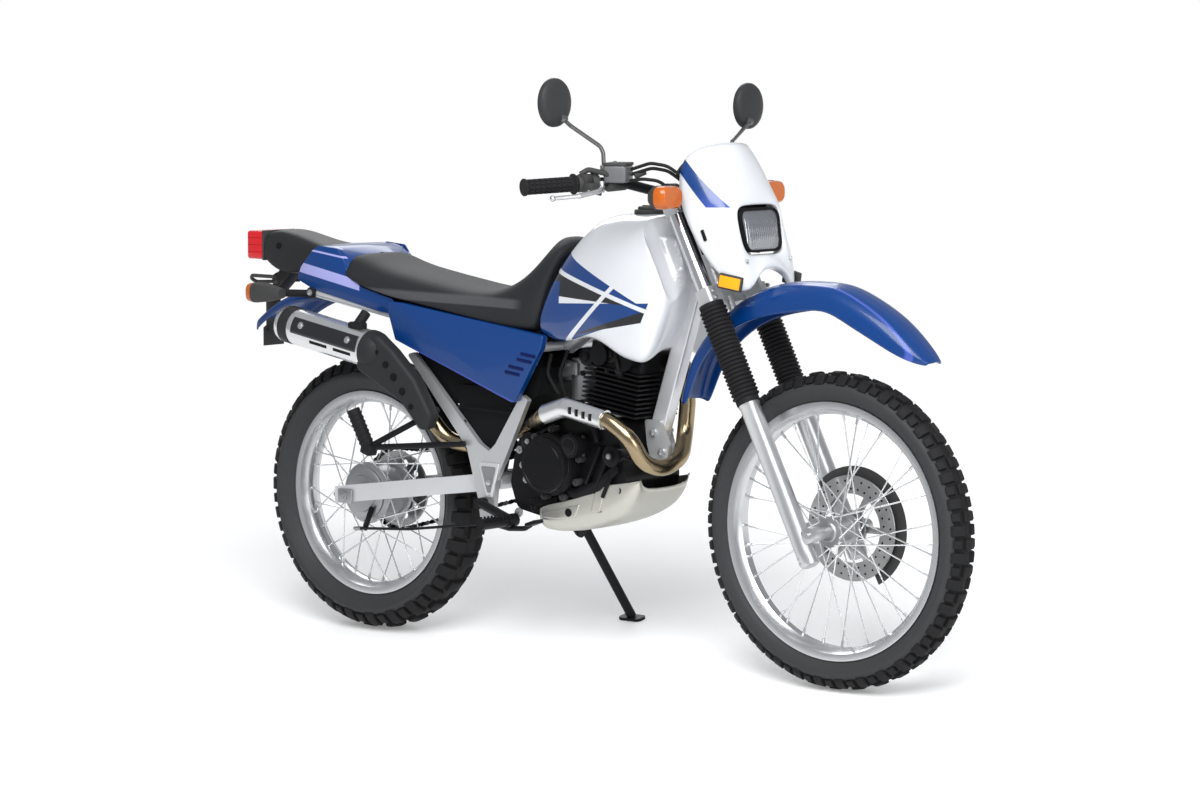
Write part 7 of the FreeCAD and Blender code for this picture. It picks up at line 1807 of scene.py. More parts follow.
@dataclass
class Exhaust:
    """The header, the muffler with its guard, whose dark tone is a painted reflection, and the black heat
    shield's folds.

    Attributes:
        route: Corners of the header's line.
        radius: Radius of the header.
        front: Where the muffler's axis starts.
        rear: Where it ends.
        body: Radius of the muffler.
        fold: X and Z of the heat shield's corners.
        holes: X, Z and width of each hole in it, filled dark as painted shade.
    """

    route: tuple = (
        (857, 44, 680), (892, 44, 676), (897, 50, 590), (893, 46, 520), (925, -6, 474), (918, -62, 450),
        (903, -116, 468), (892, -144, 522), (836, -152, 560), (716, -154, 584), (642, -145, 560),
        (600, -112, 545), (552, -78, 528), (470, -74, 500), (370, -74, 464), (300, -88, 476),
        (232, -106, 556), (152, -140, 656), (121, -153, 680), (100, -153, 684),
    )
    radius: float = 18.0
    front: tuple = (125.0, -153.0, 679.7)
    rear: tuple = (-146.0, -153.0, 727.0)
    body: float = 43.0
    fold: tuple = (
        (104, 706), (162, 718), (204, 684), (266, 620), (312, 540), (302, 506), (280, 502), (226, 566),
        (160, 604), (104, 634),
    )
    holes: tuple = ((166, 678, 9), (190, 650, 16), (212, 622, 18), (236, 590, 17), (260, 556, 13))

    def build(self) -> None:
        """Makes the pipe's bright skin, the muffler and the shields."""
        bm = bmesh.new()
        sweep(bm, rounded(self.route, 80, steps=10), self.radius + 0.4, 28)
        Piece("header_skin", Look.BRONZE, hides="exhaust_header").make(bm)
        self._muffler()
        self._guard()
        self._shield()

    def _at(self, share: float, deg: float = 0.0, lift: float = 0.0) -> Vector:
        """A point on the muffler.

        Args:
            share: Its share of the length.
            deg: Its angle from the right side upwards.
            lift: Its height over the surface.

        Returns:
            The point.
        """
        a, b = Vector(self.front), Vector(self.rear)
        along = (b - a).normalized()
        up = UP - along * along.z
        up.normalize()
        turn = math.radians(deg)
        out = Vector((0, -1, 0)) * math.cos(turn) + up * math.sin(turn)
        return a.lerp(b, share) + out * (self.body + lift)

    def _muffler(self) -> None:
        """Makes the muffler, its dark tip and its rubber mount."""
        a, b = Vector(self.front), Vector(self.rear)
        along = (b - a).normalized()
        length = (b - a).length
        bm = bmesh.new()
        profile = [(0, -4), (38, -4), (42, 0), (43.4, 3), (43.4, length * 0.86), (42.6, length * 0.87),
                   (42.6, length * 0.89), (43.2, length * 0.9), (43.2, length), (40, length + 8),
                   (30, length + 14), (20, length + 17)]
        revolve(bm, profile, a, along, 72)
        Piece("muffler_shape", Look.MUFFLER, hides="muffler").make(bm, clean=True)
        bm = bmesh.new()
        revolve(bm, [(20.5, length + 15), (18, length + 26), (15, length + 26), (14.5, length - 10),
                     (0, length - 10)], a, along, 40)
        revolve(bm, [(43.9, length * 0.88), (44.2, length * 0.89), (44.2, length * 0.97),
                     (43.8, length * 0.98)], a, along, 72)
        Piece("muffler_tip", Look.GREY_PLASTIC).make(bm, clean=True)
        bm = bmesh.new()
        box(bm, self._at(0.16, 76, 6), (44, 24, 18), bevel=5)
        rod(bm, self._at(0.16, 76, 6), self._at(0.16, 76, 6) + Vector((6, 24, 30)), 12, 20, bevel=2)
        Piece("muffler_mount", Look.RUBBER).make(bm)

    def _guard(self) -> None:
        """Makes the muffler's guard, dark as a painted reflection, with its rim, screws and slots."""
        along = (Vector(self.rear) - Vector(self.front)).normalized()
        a, b = Vector(self.front) + along * 12, Vector(self.front) + along * 222
        bm = bmesh.new()
        # The guard's dark tone is a painted reflection of dark surroundings.
        arc_panel(bm, a, b, self.body + 4.4, 1.6, -8, 40, 20)
        Piece("muffler_guard", Look.GUARD_PAINTED_REFLECTION).make(bm)
        bm = bmesh.new()
        arc_panel(bm, a - along * 6, b + along * 6, self.body + 3.2, 1.6, -38, 76, 24)
        Piece("muffler_guard_rim", Look.MUFFLER).make(bm)
        bm = bmesh.new()
        for share in (0.15, 0.70):
            spot = self._at(share, 20, 3.8)
            out = Vector((0, -math.cos(math.radians(20)), math.sin(math.radians(20))))
            rod(bm, spot, spot + out * 2.2, 8.5, 24, bevel=0.8)
            rod(bm, spot + out * 2.0, spot + out * 3.4, 5.0, 6, bevel=0.5)
        Piece("muffler_screws", Look.PLATED).make(bm)
        bm = bmesh.new()
        # Dark strips where the rim has slots: painted shade.
        start, end = Vector(self.front), Vector(self.rear)
        for low, high in ((0.10, 0.30), (0.38, 0.58)):
            arc_panel(bm, start.lerp(end, low), start.lerp(end, high), self.body + 4.0, 1.0, -24, -15, 4)
        Piece("muffler_slot_shade", Look.DARK).make(bm)

    def _shield(self) -> None:
        """Makes the black cone in front of the muffler and the heat shield, with dark discs as painted shade
        in its holes.
        """
        along = (Vector(self.rear) - Vector(self.front)).normalized()
        bm = bmesh.new()
        outward(bm, revolve, [(26, -40), (36, -34), (43.5, -16), (45.6, -4), (45.6, 6), (43.6, 7)],
                Vector(self.front), along, 56)
        part = bmesh.new()
        slab(part, rounded(self.fold, 22, closed=True, steps=6), -150, -189, bevel=11, segments=5)
        for vert in part.verts:
            vert.co.y += (vert.co.x - self.fold[0][0]) * 0.13
        merge(bm, part, outward=True)
        Piece("heat_shield_fold", Look.GREY_PLASTIC, sharp_deg=60, hides="heat_shield").make(bm)
        # Dark discs in the heat shield's holes: painted shade.
        bm = bmesh.new()
        for x, z, wide in self.holes:
            spot = Vector((x, -189 + (x - self.fold[0][0]) * 0.13, z))
            rod(bm, spot + Vector((0, 1, 0)), spot + Vector((0, -2.2, 0)), wide * 0.5, 20)
        Piece("heat_shield_hole_shade", Look.DARK).make(bm)


@dataclass
class HeaderShield:
    """A dark sleeve in the bright shield on the pipe, as painted shade in its slots, and its clamps.

    Attributes:
        start: Where its axis starts.
        end: Where it ends.
    """

    start: tuple = (826.0, -152.0, 562.0)
    end: tuple = (716.0, -154.0, 584.0)

    def build(self) -> None:
        """Makes the dark sleeve of painted shade and both clamps."""
        start, end = Vector(self.start), Vector(self.end)
        along = (end - start).normalized()
        # A dark sleeve inside the shield, seen through its slots: painted shade.
        bm = bmesh.new()
        rod(bm, start + along * 10, start + along * 100, 18.7, 32)
        Piece("header_shield_slot_shade", Look.DARK).make(bm)
        bm = bmesh.new()
        for spot in (start + along * 4, start + along * 116):
            rod(bm, spot - along * 4, spot + along * 4, 22.2, 36, bevel=0.8)
        Piece("header_shield_clamps", Look.PLATED).make(bm)


@dataclass
class Chain:
    """The drive chain: plates and rollers along its loop.

    Attributes:
        y: The chain's middle.
        rear: X, Z and radius of the rear wheel's sprocket.
        front: X, Z and radius of the gearbox sprocket.
        links: Number of links.
    """

    y: float = 74.0
    rear: tuple = (0.0, 325.0, 97.0)
    front: tuple = (532.0, 400.0, 30.0)
    links: int = 92

    def _loop(self) -> list:
        """Walks round both sprockets.

        Returns:
            Points evenly along the loop, one more than the links.
        """
        a, b = Vector((self.rear[0], 0, self.rear[1])), Vector((self.front[0], 0, self.front[1]))
        run = (b - a).length
        tilt = math.atan2(b.z - a.z, b.x - a.x)
        spread = math.acos((self.rear[2] - self.front[2]) / run)
        points = []
        for k in range(25):
            turn = tilt + spread + (math.tau - 2 * spread) * k / 24
            points.append(a + spoke(turn) * self.rear[2])
        for k in range(13):
            turn = tilt - spread + 2 * spread * k / 12
            points.append(b + spoke(turn) * self.front[2])
        points.append(points[0])
        lengths = [0.0]
        for p, q in zip(points, points[1:]):
            lengths.append(lengths[-1] + (q - p).length)
        out, i = [], 0
        for k in range(self.links + 1):
            goal = lengths[-1] * k / self.links
            while i < len(points) - 2 and lengths[i + 1] < goal:
                i += 1
            share = (goal - lengths[i]) / max(lengths[i + 1] - lengths[i], 1e-9)
            out.append(points[i].lerp(points[i + 1], min(share, 1.0)))
        return out

    def build(self) -> None:
        """Makes the plates and the rollers."""
        bm = bmesh.new()
        line = self._loop()
        for k, (p, q) in enumerate(zip(line, line[1:])):
            along = (q - p).normalized()
            up = Vector((-along.z, 0, along.x))
            outline = []
            for spot, way in ((p, -1), (q, 1)):
                for turn in (-70, -20, 20, 70):
                    angle = math.radians(turn) * way
                    out = along * math.cos(angle) + up * math.sin(angle)
                    outline.append(spot + out * 5.4 * way)
            wide = 5.2 if k % 2 else 7.2
            for side in (-1, 1):
                low, high = self.y + side * wide - 0.9, self.y + side * wide + 0.9
                outward(bm, skin, [[(corner.x, low, corner.z) for corner in outline],
                                   [(corner.x, high, corner.z) for corner in outline]], ends=True)
            rod(bm, p + Vector((0, self.y - 7.6, 0)), p + Vector((0, self.y + 7.6, 0)), 3.6, 8)
        Piece("chain_links", Look.CHAIN, hides="drive_chain").make(bm)


@dataclass
class Underbody:
    """The skid plate, air box trim, pivot castings, axle ends and the details of pegs and pedals.

    Attributes:
        skid: X, side top, foot and half width of the skid plate's sections.
    """

    skid: tuple = (
        (592, 340, 296, 98), (600, 346, 290, 102), (640, 358, 289, 104), (690, 369, 297, 104),
        (733, 384, 307, 103), (752, 404, 313, 103), (800, 411, 330, 102), (838, 417, 354, 99.5),
        (860, 421, 380, 94), (872, 424, 402, 86),
    )

    def build(self) -> None:
        """Makes all parts below the engine and round the swingarm."""
        self._skid()
        self._trim()
        self._castings()
        self._rear_end()
        self._pegs()

    def _skid(self) -> None:
        """Makes the skid plate with its panels, dark rims round the panels and dark discs in its holes as
        painted shade, and its bolts.
        """
        rings = []
        for x, top, low, half in self.skid:
            right = [(x, -half, top), (x, -half, top - 3), (x, -half, low + 30), (x, -half * 0.95, low + 12),
                     (x, -half * 0.78, low + 2)]
            rings.append(arch(right, (x, 0, low)))
        Piece("skid_shape", Look.SKID, levels=1, wall=3.0, hides="skid_plate").form(skin, rings, wrap=False)
        bm = bmesh.new()
        for side in (-1, 1):
            slab(bm, rounded([(604, 332), (606, 322), (664, 322), (700, 330), (716, 362), (676, 352)], 5,
                             closed=True), side * 101, side * 108.5, bevel=4, segments=3)
            slab(bm, rounded([(744, 344), (772, 350), (786, 398), (758, 396)], 5, closed=True), side * 99,
                 side * 107.5, bevel=4, segments=3)
        Piece("skid_panels", Look.SKID, sharp_deg=60).make(bm)
        # Dark rims a little larger than the panels, behind them: painted shade round the panels.
        bm = bmesh.new()
        for side in (-1, 1):
            slab(bm, [(600, 335), (602, 318), (666, 318), (704, 327), (721, 366), (675, 356)],
                 side * 101, side * 104.6)
            slab(bm, [(740, 341), (775, 347), (790, 402), (755, 400)], side * 99, side * 103.8)
        Piece("skid_panel_shade", Look.PIVOT_SHADE).make(bm)
        # Dark discs in the holes: painted shade.
        bm = bmesh.new()
        for side in (-1, 1):
            rod(bm, (682, side * 104, 340), (682, side * 109.4, 340), 9.5, 28)
            rod(bm, (822, side * 98, 400), (822, side * 103, 400), 8, 24)
        Piece("skid_hole_shade", Look.DARK).make(bm)
        bm = bmesh.new()
        for side in (-1, 1):
            rod(bm, (822, side * 98, 400), (822, side * 104.4, 400), 5.5, 6)
        Piece("skid_bolts", Look.BOLT).make(bm)

    def _trim(self) -> None:
        """Makes the rail and the bolts on the air box."""
        bm = bmesh.new()
        for side in (-1, 1):
            box(bm, (436, side * 109.5, 556), (160, 3.4, 5), turned(2), bevel=1.4)
            for x, z in ((372, 524), (512, 566), (470, 470)):
                bolt(bm, (x, side * 108, z), (0, side, 0), 4.4, 2.4)
        # The air box trim takes the darker black of painted shade.
        Piece("air_box_trim", Look.SHADE_BLACK).make(bm)

    def _castings(self) -> None:
        """Makes the raised ribs of the pivot plates, with darker patches on them as painted shade of their
        recesses.
        """
        bm = bmesh.new()
        for side in (-1, 1):
            slab(bm, rounded([(420, 436), (486, 436), (462, 356), (446, 356)], 6, closed=True),
                 side * 114.6, side * 119, bevel=2)
        Piece("pivot_ribs", Look.FRAME, sharp_deg=60).make(bm)
        # Darker patches on the ribs: painted shade where the recesses are.
        bm = bmesh.new()
        for side in (-1, 1):
            slab(bm, rounded([(430, 428), (476, 428), (459, 368), (449, 368)], 5, closed=True),
                 side * 118.7, side * 119.6)
        Piece("pivot_recess_shade", Look.PIVOT_SHADE).make(bm)

    def _rear_end(self) -> None:
        """Makes the axle's ends, the brake plate and the brake rod."""
        bright, dark = bmesh.new(), bmesh.new()
        for side in (-1, 1):
            box(bright, (4, side * 120, 325), (44, 5, 34), bevel=3)
            rod(bright, (0, side * 118, 325), (0, side * 128, 325), 14, 6, bevel=1.4)
            rod(bright, (0, side * 128, 325), (0, side * 132, 325), 8, 20, bevel=1)
            bolt(bright, (-32, side * 108, 325), (-1, 0, 0), 6, 8)
        part = bmesh.new()
        plate = [(62, -47), (62, -52), (57, -56), (44, -58), (42, -62), (30, -64), (0, -64)]
        revolve(part, plate, (0, 0, 325), (0, 1, 0), 64)
        merge(bright, part)
        box(dark, (28, -66, 268), (12, 10, 62), turned(24), bevel=3)
        sweep(dark, rounded([(10, -72, 244), (200, -112, 262), (470, -124, 300)], 30), 3.4, 10)
        rod(bright, (10, -72, 244), (-14, -68, 241), 5, 12)
        Piece("rear_end_bright", Look.HUB).make(bright)
        Piece("rear_brake_rod", Look.SATIN_BLACK).make(dark)

    def _pegs(self) -> None:
        """Makes the rider's peg teeth, both pedals and the passenger's rubbers."""
        bm = bmesh.new()
        for side in (-1, 1):
            for k in range(7):
                y = side * (170 + 12 * k)
                for x in (539, 559):
                    box(bm, (x, y, 328), (6, 6, 7), bevel=0.8, taper=0.6)
        sweep(bm, rounded([(470, -128, 300), (540, -148, 296), (588, -150, 300), (606, -150, 310)], 20),
              6, 14)
        box(bm, (616, -150, 315), (30, 34, 9), turned(-20), bevel=2.5)
        sweep(bm, rounded([(604, 118, 352), (650, 140, 338), (700, 146, 344)], 20), 5, 12)
        rod(bm, (700, 128, 344), (700, 164, 344), 8, 20, bevel=2)
        Piece("peg_details", Look.SATIN_BLACK).make(bm)
        bm = bmesh.new()
        for side in (-1, 1):
            root, along = Vector((140, side * 184, 455)), Vector((-28.8, side * 19.2, 86.4))
            rod(bm, root + along * 0.06, root + along * 1.03, 15.5, 28, bevel=2.5)
            for k in range(7):
                spot = root + along * (0.14 + 0.12 * k)
                rod(bm, spot, spot + along * 0.05, 17.2, 24, bevel=1.2)
            box(bm, root + Vector((2, 0, -4)), (30, 30, 24), turned(18), bevel=4)
        Piece("rear_peg_rubbers", Look.RUBBER).make(bm)


@dataclass
class Controls:
    """Grips, levers, the fluid cylinder and the cables of the handlebar.

    Attributes:
        end: The handlebar's end, on the left.
        knee: Its knee, on the left.
        grip: Length of a grip.
        runs: Corners of each cable.
    """

    end: tuple = (803.0, 402.0, 1081.0)
    knee: tuple = (897.0, 201.0, 1091.0)
    grip: float = 122.0
    runs: tuple = (
        ((902, -174, 1112), (952, -152, 1130), (986, -136, 1124), (1012, -114, 1100), (1022, -98, 1064)),
        ((902, -170, 1102), (950, -144, 1119), (982, -128, 1113), (1006, -108, 1090), (1014, -92, 1050)),
        ((896, -190, 1088), (946, -172, 1096), (972, -150, 1092), (996, -120, 1066), (1000, -98, 1030)),
        ((888, 206, 1096), (952, 150, 1126), (986, 134, 1120), (1012, 112, 1096), (1018, 94, 1060)),
        ((880, 226, 1084), (946, 172, 1096), (972, 150, 1092), (996, 118, 1066), (1000, 96, 1026)),
    )

    def _spot(self, side: int, back: float) -> Vector:
        """A point on the bar.

        Args:
            side: 1 on the left, -1 on the right.
            back: Its distance inwards from the bar's end.

        Returns:
            The point.
        """
        a = Vector((self.end[0], side * self.end[1], self.end[2]))
        b = Vector((self.knee[0], side * self.knee[1], self.knee[2]))
        return a + (b - a).normalized() * back

    def build(self) -> None:
        """Makes everything at the bar's ends."""
        self._grips()
        self._perches()
        self._levers()
        self._cables()

    def _grips(self) -> None:
        """Makes the grips with their small pads."""
        bm = bmesh.new()
        for side in (-1, 1):
            along = (self._spot(side, 1) - self._spot(side, 0)).normalized()
            up = (UP - along * along.z).normalized()
            out = along.cross(up)
            profile = [(0, -1), (17, -1), (19, 1), (19, 5), (16, 7), (15.4, 9), (15.4, self.grip - 9),
                       (17, self.grip - 7), (22.6, self.grip - 5), (22.6, self.grip - 1),
                       (20, self.grip), (12, self.grip)]
            revolve(bm, profile, self._spot(side, 0), along, 32)
            for row in range(8):
                for k in range(12):
                    turn = math.tau * k / 12
                    face = up * math.cos(turn) + out * math.sin(turn)
                    spot = self._spot(side, 15.5 + 12.6 * row) + face * 15.6
                    facing = Matrix((along, face.cross(along), face)).transposed()
                    box(bm, spot, (9.4, 5.6, 2.2), facing)
        Piece("grip_shapes", Look.RUBBER, Body.STEERING, hides="handle_grips").make(bm)

    def _perches(self) -> None:
        """Makes the hand controls and the fluid cylinder."""
        dark, grey = bmesh.new(), bmesh.new()
        for side in (-1, 1):
            along = (self._spot(side, 1) - self._spot(side, 0)).normalized()
            for low, high, radius in ((126, 150, 19), (150, 158, 16), (160, 178, 18)):
                rod(dark, self._spot(side, low), self._spot(side, high), radius, 28, bevel=2.5)
            middle = self._spot(side, 140)
            box(dark, middle + Vector((8, 0, 10)), (30, 24, 22), bevel=5)
            box(dark, middle + Vector((22, 0, -6)), (30, 28, 16), bevel=4)
            rod(dark, middle + Vector((16, side * -10, -14)), middle + Vector((34, side * -26, -20)),
                7.5, 18, bevel=1.5)
            sweep(dark, rounded([middle + Vector((0, 6 * side, 20)), middle + Vector((12, side * -6, 30)),
                                 middle + Vector((32, side * -36, 22)),
                                 middle + Vector((46, side * -60, 8))], 12), 6, 14)
            rod(dark, middle + along * 28 + Vector((0, 0, 8)), middle + along * 28 + Vector((2, 0, 30)),
                8.5, 20, bevel=2)
        head = Vector((898, -196, 1107))
        turn = turned(26, "Z")
        box(grey, head, (50, 74, 38), turn, bevel=5, segments=3)
        box(dark, head + Vector((0, 0, 21)), (52, 77, 7), turn, bevel=2.4)
        for reach in (-1, 1):
            spot = head + turn @ Vector((-14 * reach, 28 * reach, 24))
            rod(grey, spot, spot + Vector((0, 0, 2.4)), 3.6, 14)
        rod(dark, head + Vector((18, 34, -6)), head + Vector((34, 52, 4)), 7, 16, bevel=1)
        rod(dark, head + Vector((-6, -30, -26)), head + Vector((-6, 30, -24)), 13, 24, bevel=3)
        Piece("control_housings", Look.BLACK, Body.STEERING, hides="hand_controls").make(dark)
        Piece("fluid_cylinder_shape", Look.CYLINDER_GREY, Body.STEERING).make(grey)

    def _levers(self) -> None:
        """Makes both levers with their round tips."""
        bm = bmesh.new()
        for side in (-1, 1):
            line = rounded([(892, side * 244, 1080), (902, side * 262, 1072), (888, side * 318, 1062),
                            (861, side * 372, 1058)], 24)
            count = len(line)
            sweep(bm, line, [7.0 - 2.6 * k / (count - 1) for k in range(count)], 16)
            part = bmesh.new()
            bmesh.ops.create_uvsphere(part, u_segments=20, v_segments=12, radius=6.6)
            bmesh.ops.translate(part, verts=part.verts, vec=Vector(line[-1]))
            merge(bm, part)
            rod(bm, (896, side * 250, 1068), (896, side * 250, 1092), 6.5, 20, bevel=1)
        Piece("lever_shapes", Look.ALLOY, Body.STEERING).make(bm)

    def _cables(self) -> None:
        """Makes the cables and the brake hose."""
        bm = bmesh.new()
        for run in self.runs:
            sweep(bm, rounded(run, 40, steps=6), 3.8, 12)
        hose = [fork_point(-AXLE_LEAD - 28, 112, 430), fork_point(-AXLE_LEAD - 30, 120, 300),
                fork_point(-AXLE_LEAD - 28, 116, 120), fork_point(-60, 92, 60), fork_point(-70, 72, 26)]
        sweep(bm, rounded(hose, 60, steps=6), 3.6, 12)
        Piece("cables", Look.RUBBER, Body.STEERING).make(bm)


@dataclass
class Mirrors:
    """Both mirrors: round backs, glasses and bent stems.

    Attributes:
        centre: Middle of the glass, on the left.
        half: Half the width and half the height.
        left_shift: How the left one stands off from its mirror image.
        loops: Size and place, from the glass back, of each loop of the body.
    """

    centre: tuple = (838.0, 335.0, 1262.0)
    half: tuple = (50.0, 53.0)
    left_shift: tuple = (0.0, 14.0, -18.0)
    loops: tuple = (
        (0.90, -8.5), (0.98, -9.5), (1.0, -7), (0.99, 0), (0.93, 5), (0.78, 9), (0.5, 11.5), (0.2, 12.2),
    )

    def build(self) -> None:
        """Makes both mirrors."""
        backs, glass, stems = bmesh.new(), bmesh.new(), bmesh.new()
        turns = [math.tau * k / 48 for k in range(48)]
        for side in (-1, 1):
            shift = Vector(self.left_shift) if side > 0 else Vector()
            middle = Vector((self.centre[0], side * self.centre[1], self.centre[2])) + shift
            rings = []
            for grow, x in self.loops:
                wide, high = self.half[0] * grow, self.half[1] * grow
                rings.append([middle + Vector((x, math.cos(t) * wide, math.sin(t) * high)) for t in turns])
            part = bmesh.new()
            rows = skin(part, rings)
            part.faces.new(rows[-1])
            merge(backs, part, outward=True)
            part = bmesh.new()
            part.faces.new([part.verts.new(p + Vector((0.4, 0, 0))) for p in rings[0]])
            merge(glass, part)
            line = [Vector((850, side * 322, 1226)) + shift, Vector((850, side * 300, 1212)) + shift,
                    (878, side * 232, 1166), (884, side * 230, 1152), (886, side * 230, 1112)]
            sweep(stems, rounded(line, 18), 4.6, 16)
            rod(stems, (886, side * 230, 1110), (886, side * 230, 1126), 8.5, 6, bevel=1)
            rod(stems, Vector((846, side * 322, 1224)) + shift, Vector((854, side * 322, 1232)) + shift,
                9, 20, bevel=2)
        Piece("mirror_backs", Look.MIRROR_BACK, Body.STEERING, hides="mirrors", sharp_deg=70).make(backs)
        Piece("mirror_glass", Look.CHROME, Body.STEERING).make(glass)
        Piece("mirror_stems", Look.MIRROR_STEM, Body.STEERING).make(stems)


@dataclass
class Clocks:
    """The faces of the two instruments.

    Attributes:
        place: X and Z of the middle of both bodies.
        half: Distance of each from the middle plane.
        radius: Radius of a ring.
        slope_deg: How far the faces rise from upright.
    """

    place: tuple = (986.0, 1096.0)
    half: float = 36.0
    radius: float = 31.0
    slope_deg: float = 40.0

    def build(self) -> None:
        """Makes the rings and the blank faces on the CAD bodies."""
        rings, faces = bmesh.new(), bmesh.new()
        tilt = math.radians(self.slope_deg)
        out = Vector((-math.cos(tilt), 0, math.sin(tilt)))
        for side in (-1, 1):
            centre = Vector((self.place[0], side * self.half, self.place[1])) + out * 30
            rod(rings, centre - out * 3, centre + out * 2.0, self.radius, 48, bevel=1.2)
            rod(faces, centre + out * 1.6, centre + out * 2.6, self.radius - 4, 48)
        Piece("clock_rings", Look.BLACK, Body.STEERING).make(rings)
        Piece("clock_faces", Look.CLOCK_FACE, Body.STEERING).make(faces)


def cover_paint(nodes: Nodes) -> None:
    """A plain blue with a slightly lighter band along the pressed edge at the foot: a painted highlight.

    Args:
        nodes: The finish's shader.
    """
    x, _, z = nodes.place()
    line = nodes.slope(x, 0.179, -0.342, 0.703)
    low = nodes.inverse(nodes.edge(z, nodes.plus(line, 0.005), 0.002))
    # The lighter band along the foot is a painted highlight.
    nodes.paint(nodes.mix(low, BLUE_RGB, (0.03, 0.06, 0.34)))


@dataclass
class SideCovers:
    """The blue covers under the seat, without lettering, and darker blue marks as painted shade in their
    slots.

    Attributes:
        outline: X and Z of a cover's corners.
        inner: Y of its inner face.
        outer: Y of its outer face.
        slots: X and Z of each slot.
    """

    outline: tuple = ((158, 792), (200, 790), (630, 736), (622, 706), (545, 582), (533, 581),
                      (179, 704), (158, 764))
    inner: float = 115.3
    outer: float = 135.0
    slots: tuple = ((586, 690), (575, 677), (550, 660), (539, 647))

    def build(self) -> None:
        """Makes the covers and the slots, as darker blue marks of painted shade."""
        bm, slots = bmesh.new(), bmesh.new()
        for side in (-1, 1):
            outward(bm, slab, rounded(self.outline, 7, closed=True, steps=4), side * self.inner,
                    side * self.outer, bevel=3.5, segments=3)
            for x, z in self.slots:
                # Each slot is a darker blue mark: painted shade.
                box(slots, (x, side * (self.outer + 0.2), z), (44, 2.4, 7.5), turned(7), bevel=0.8)
        finish = Finish("cover_blue", BLUE_RGB, "blue_plastic", roughness=0.38, coat=0.3, paint=cover_paint)
        Piece("side_cover_shapes", finish, hides="side_covers").make(bm)
        Piece("side_cover_slot_shade", Look.SLOT_SHADE_BLUE).make(slots)
        # A dark block under the seat, in the black of painted shade.
        tray = bmesh.new()
        slab(tray, [(-10, 842), (110, 806), (590, 744), (590, 716), (158, 752), (-10, 800)], -96,
             96, bevel=2)
        Piece("under_seat_tray", Look.SHADE_BLACK).make(tray, clean=True)


def tail_paint(nodes: Nodes) -> None:
    """The tail's stripes: two thin pale ones on top and a wide one along the middle.

    Args:
        nodes: The finish's shader.
    """
    x, y, z = nodes.place()
    blue, pale = BLUE_RGB, (0.34, 0.35, 0.68)

    def stripe(x1: float, z1: float, slope: float, half: float) -> NodeSocket:
        """1 within half a width of the line through a point."""
        off = nodes.size(nodes.minus(z, nodes.slope(x, x1, slope, z1)))
        return nodes.inverse(nodes.edge(off, half, 0.001))

    side = nodes.edge(nodes.size(y), 0.108, 0.002)
    wide = nodes.times(stripe(-0.132, 0.858, -0.19, 0.012), side)
    thin = nodes.times(stripe(-0.094, 0.899, -0.13, 0.0022), side)
    low = nodes.times(stripe(-0.102, 0.806, -0.224, 0.004), side)
    near = nodes.size(nodes.minus(nodes.size(y), 0.098))
    top = nodes.times(nodes.edge(z, 0.904, 0.001), nodes.inverse(nodes.edge(near, 0.003, 0.001)))
    front = nodes.inverse(nodes.edge(x, 0.052, 0.001))
    share = nodes.math("MAXIMUM", nodes.math("MAXIMUM", wide, thin), top)
    share = nodes.times(share, front)
    color = nodes.mix(share, blue, pale)
    color = nodes.mix(nodes.times(low, 0.35), color, pale)
    nodes.paint(color)


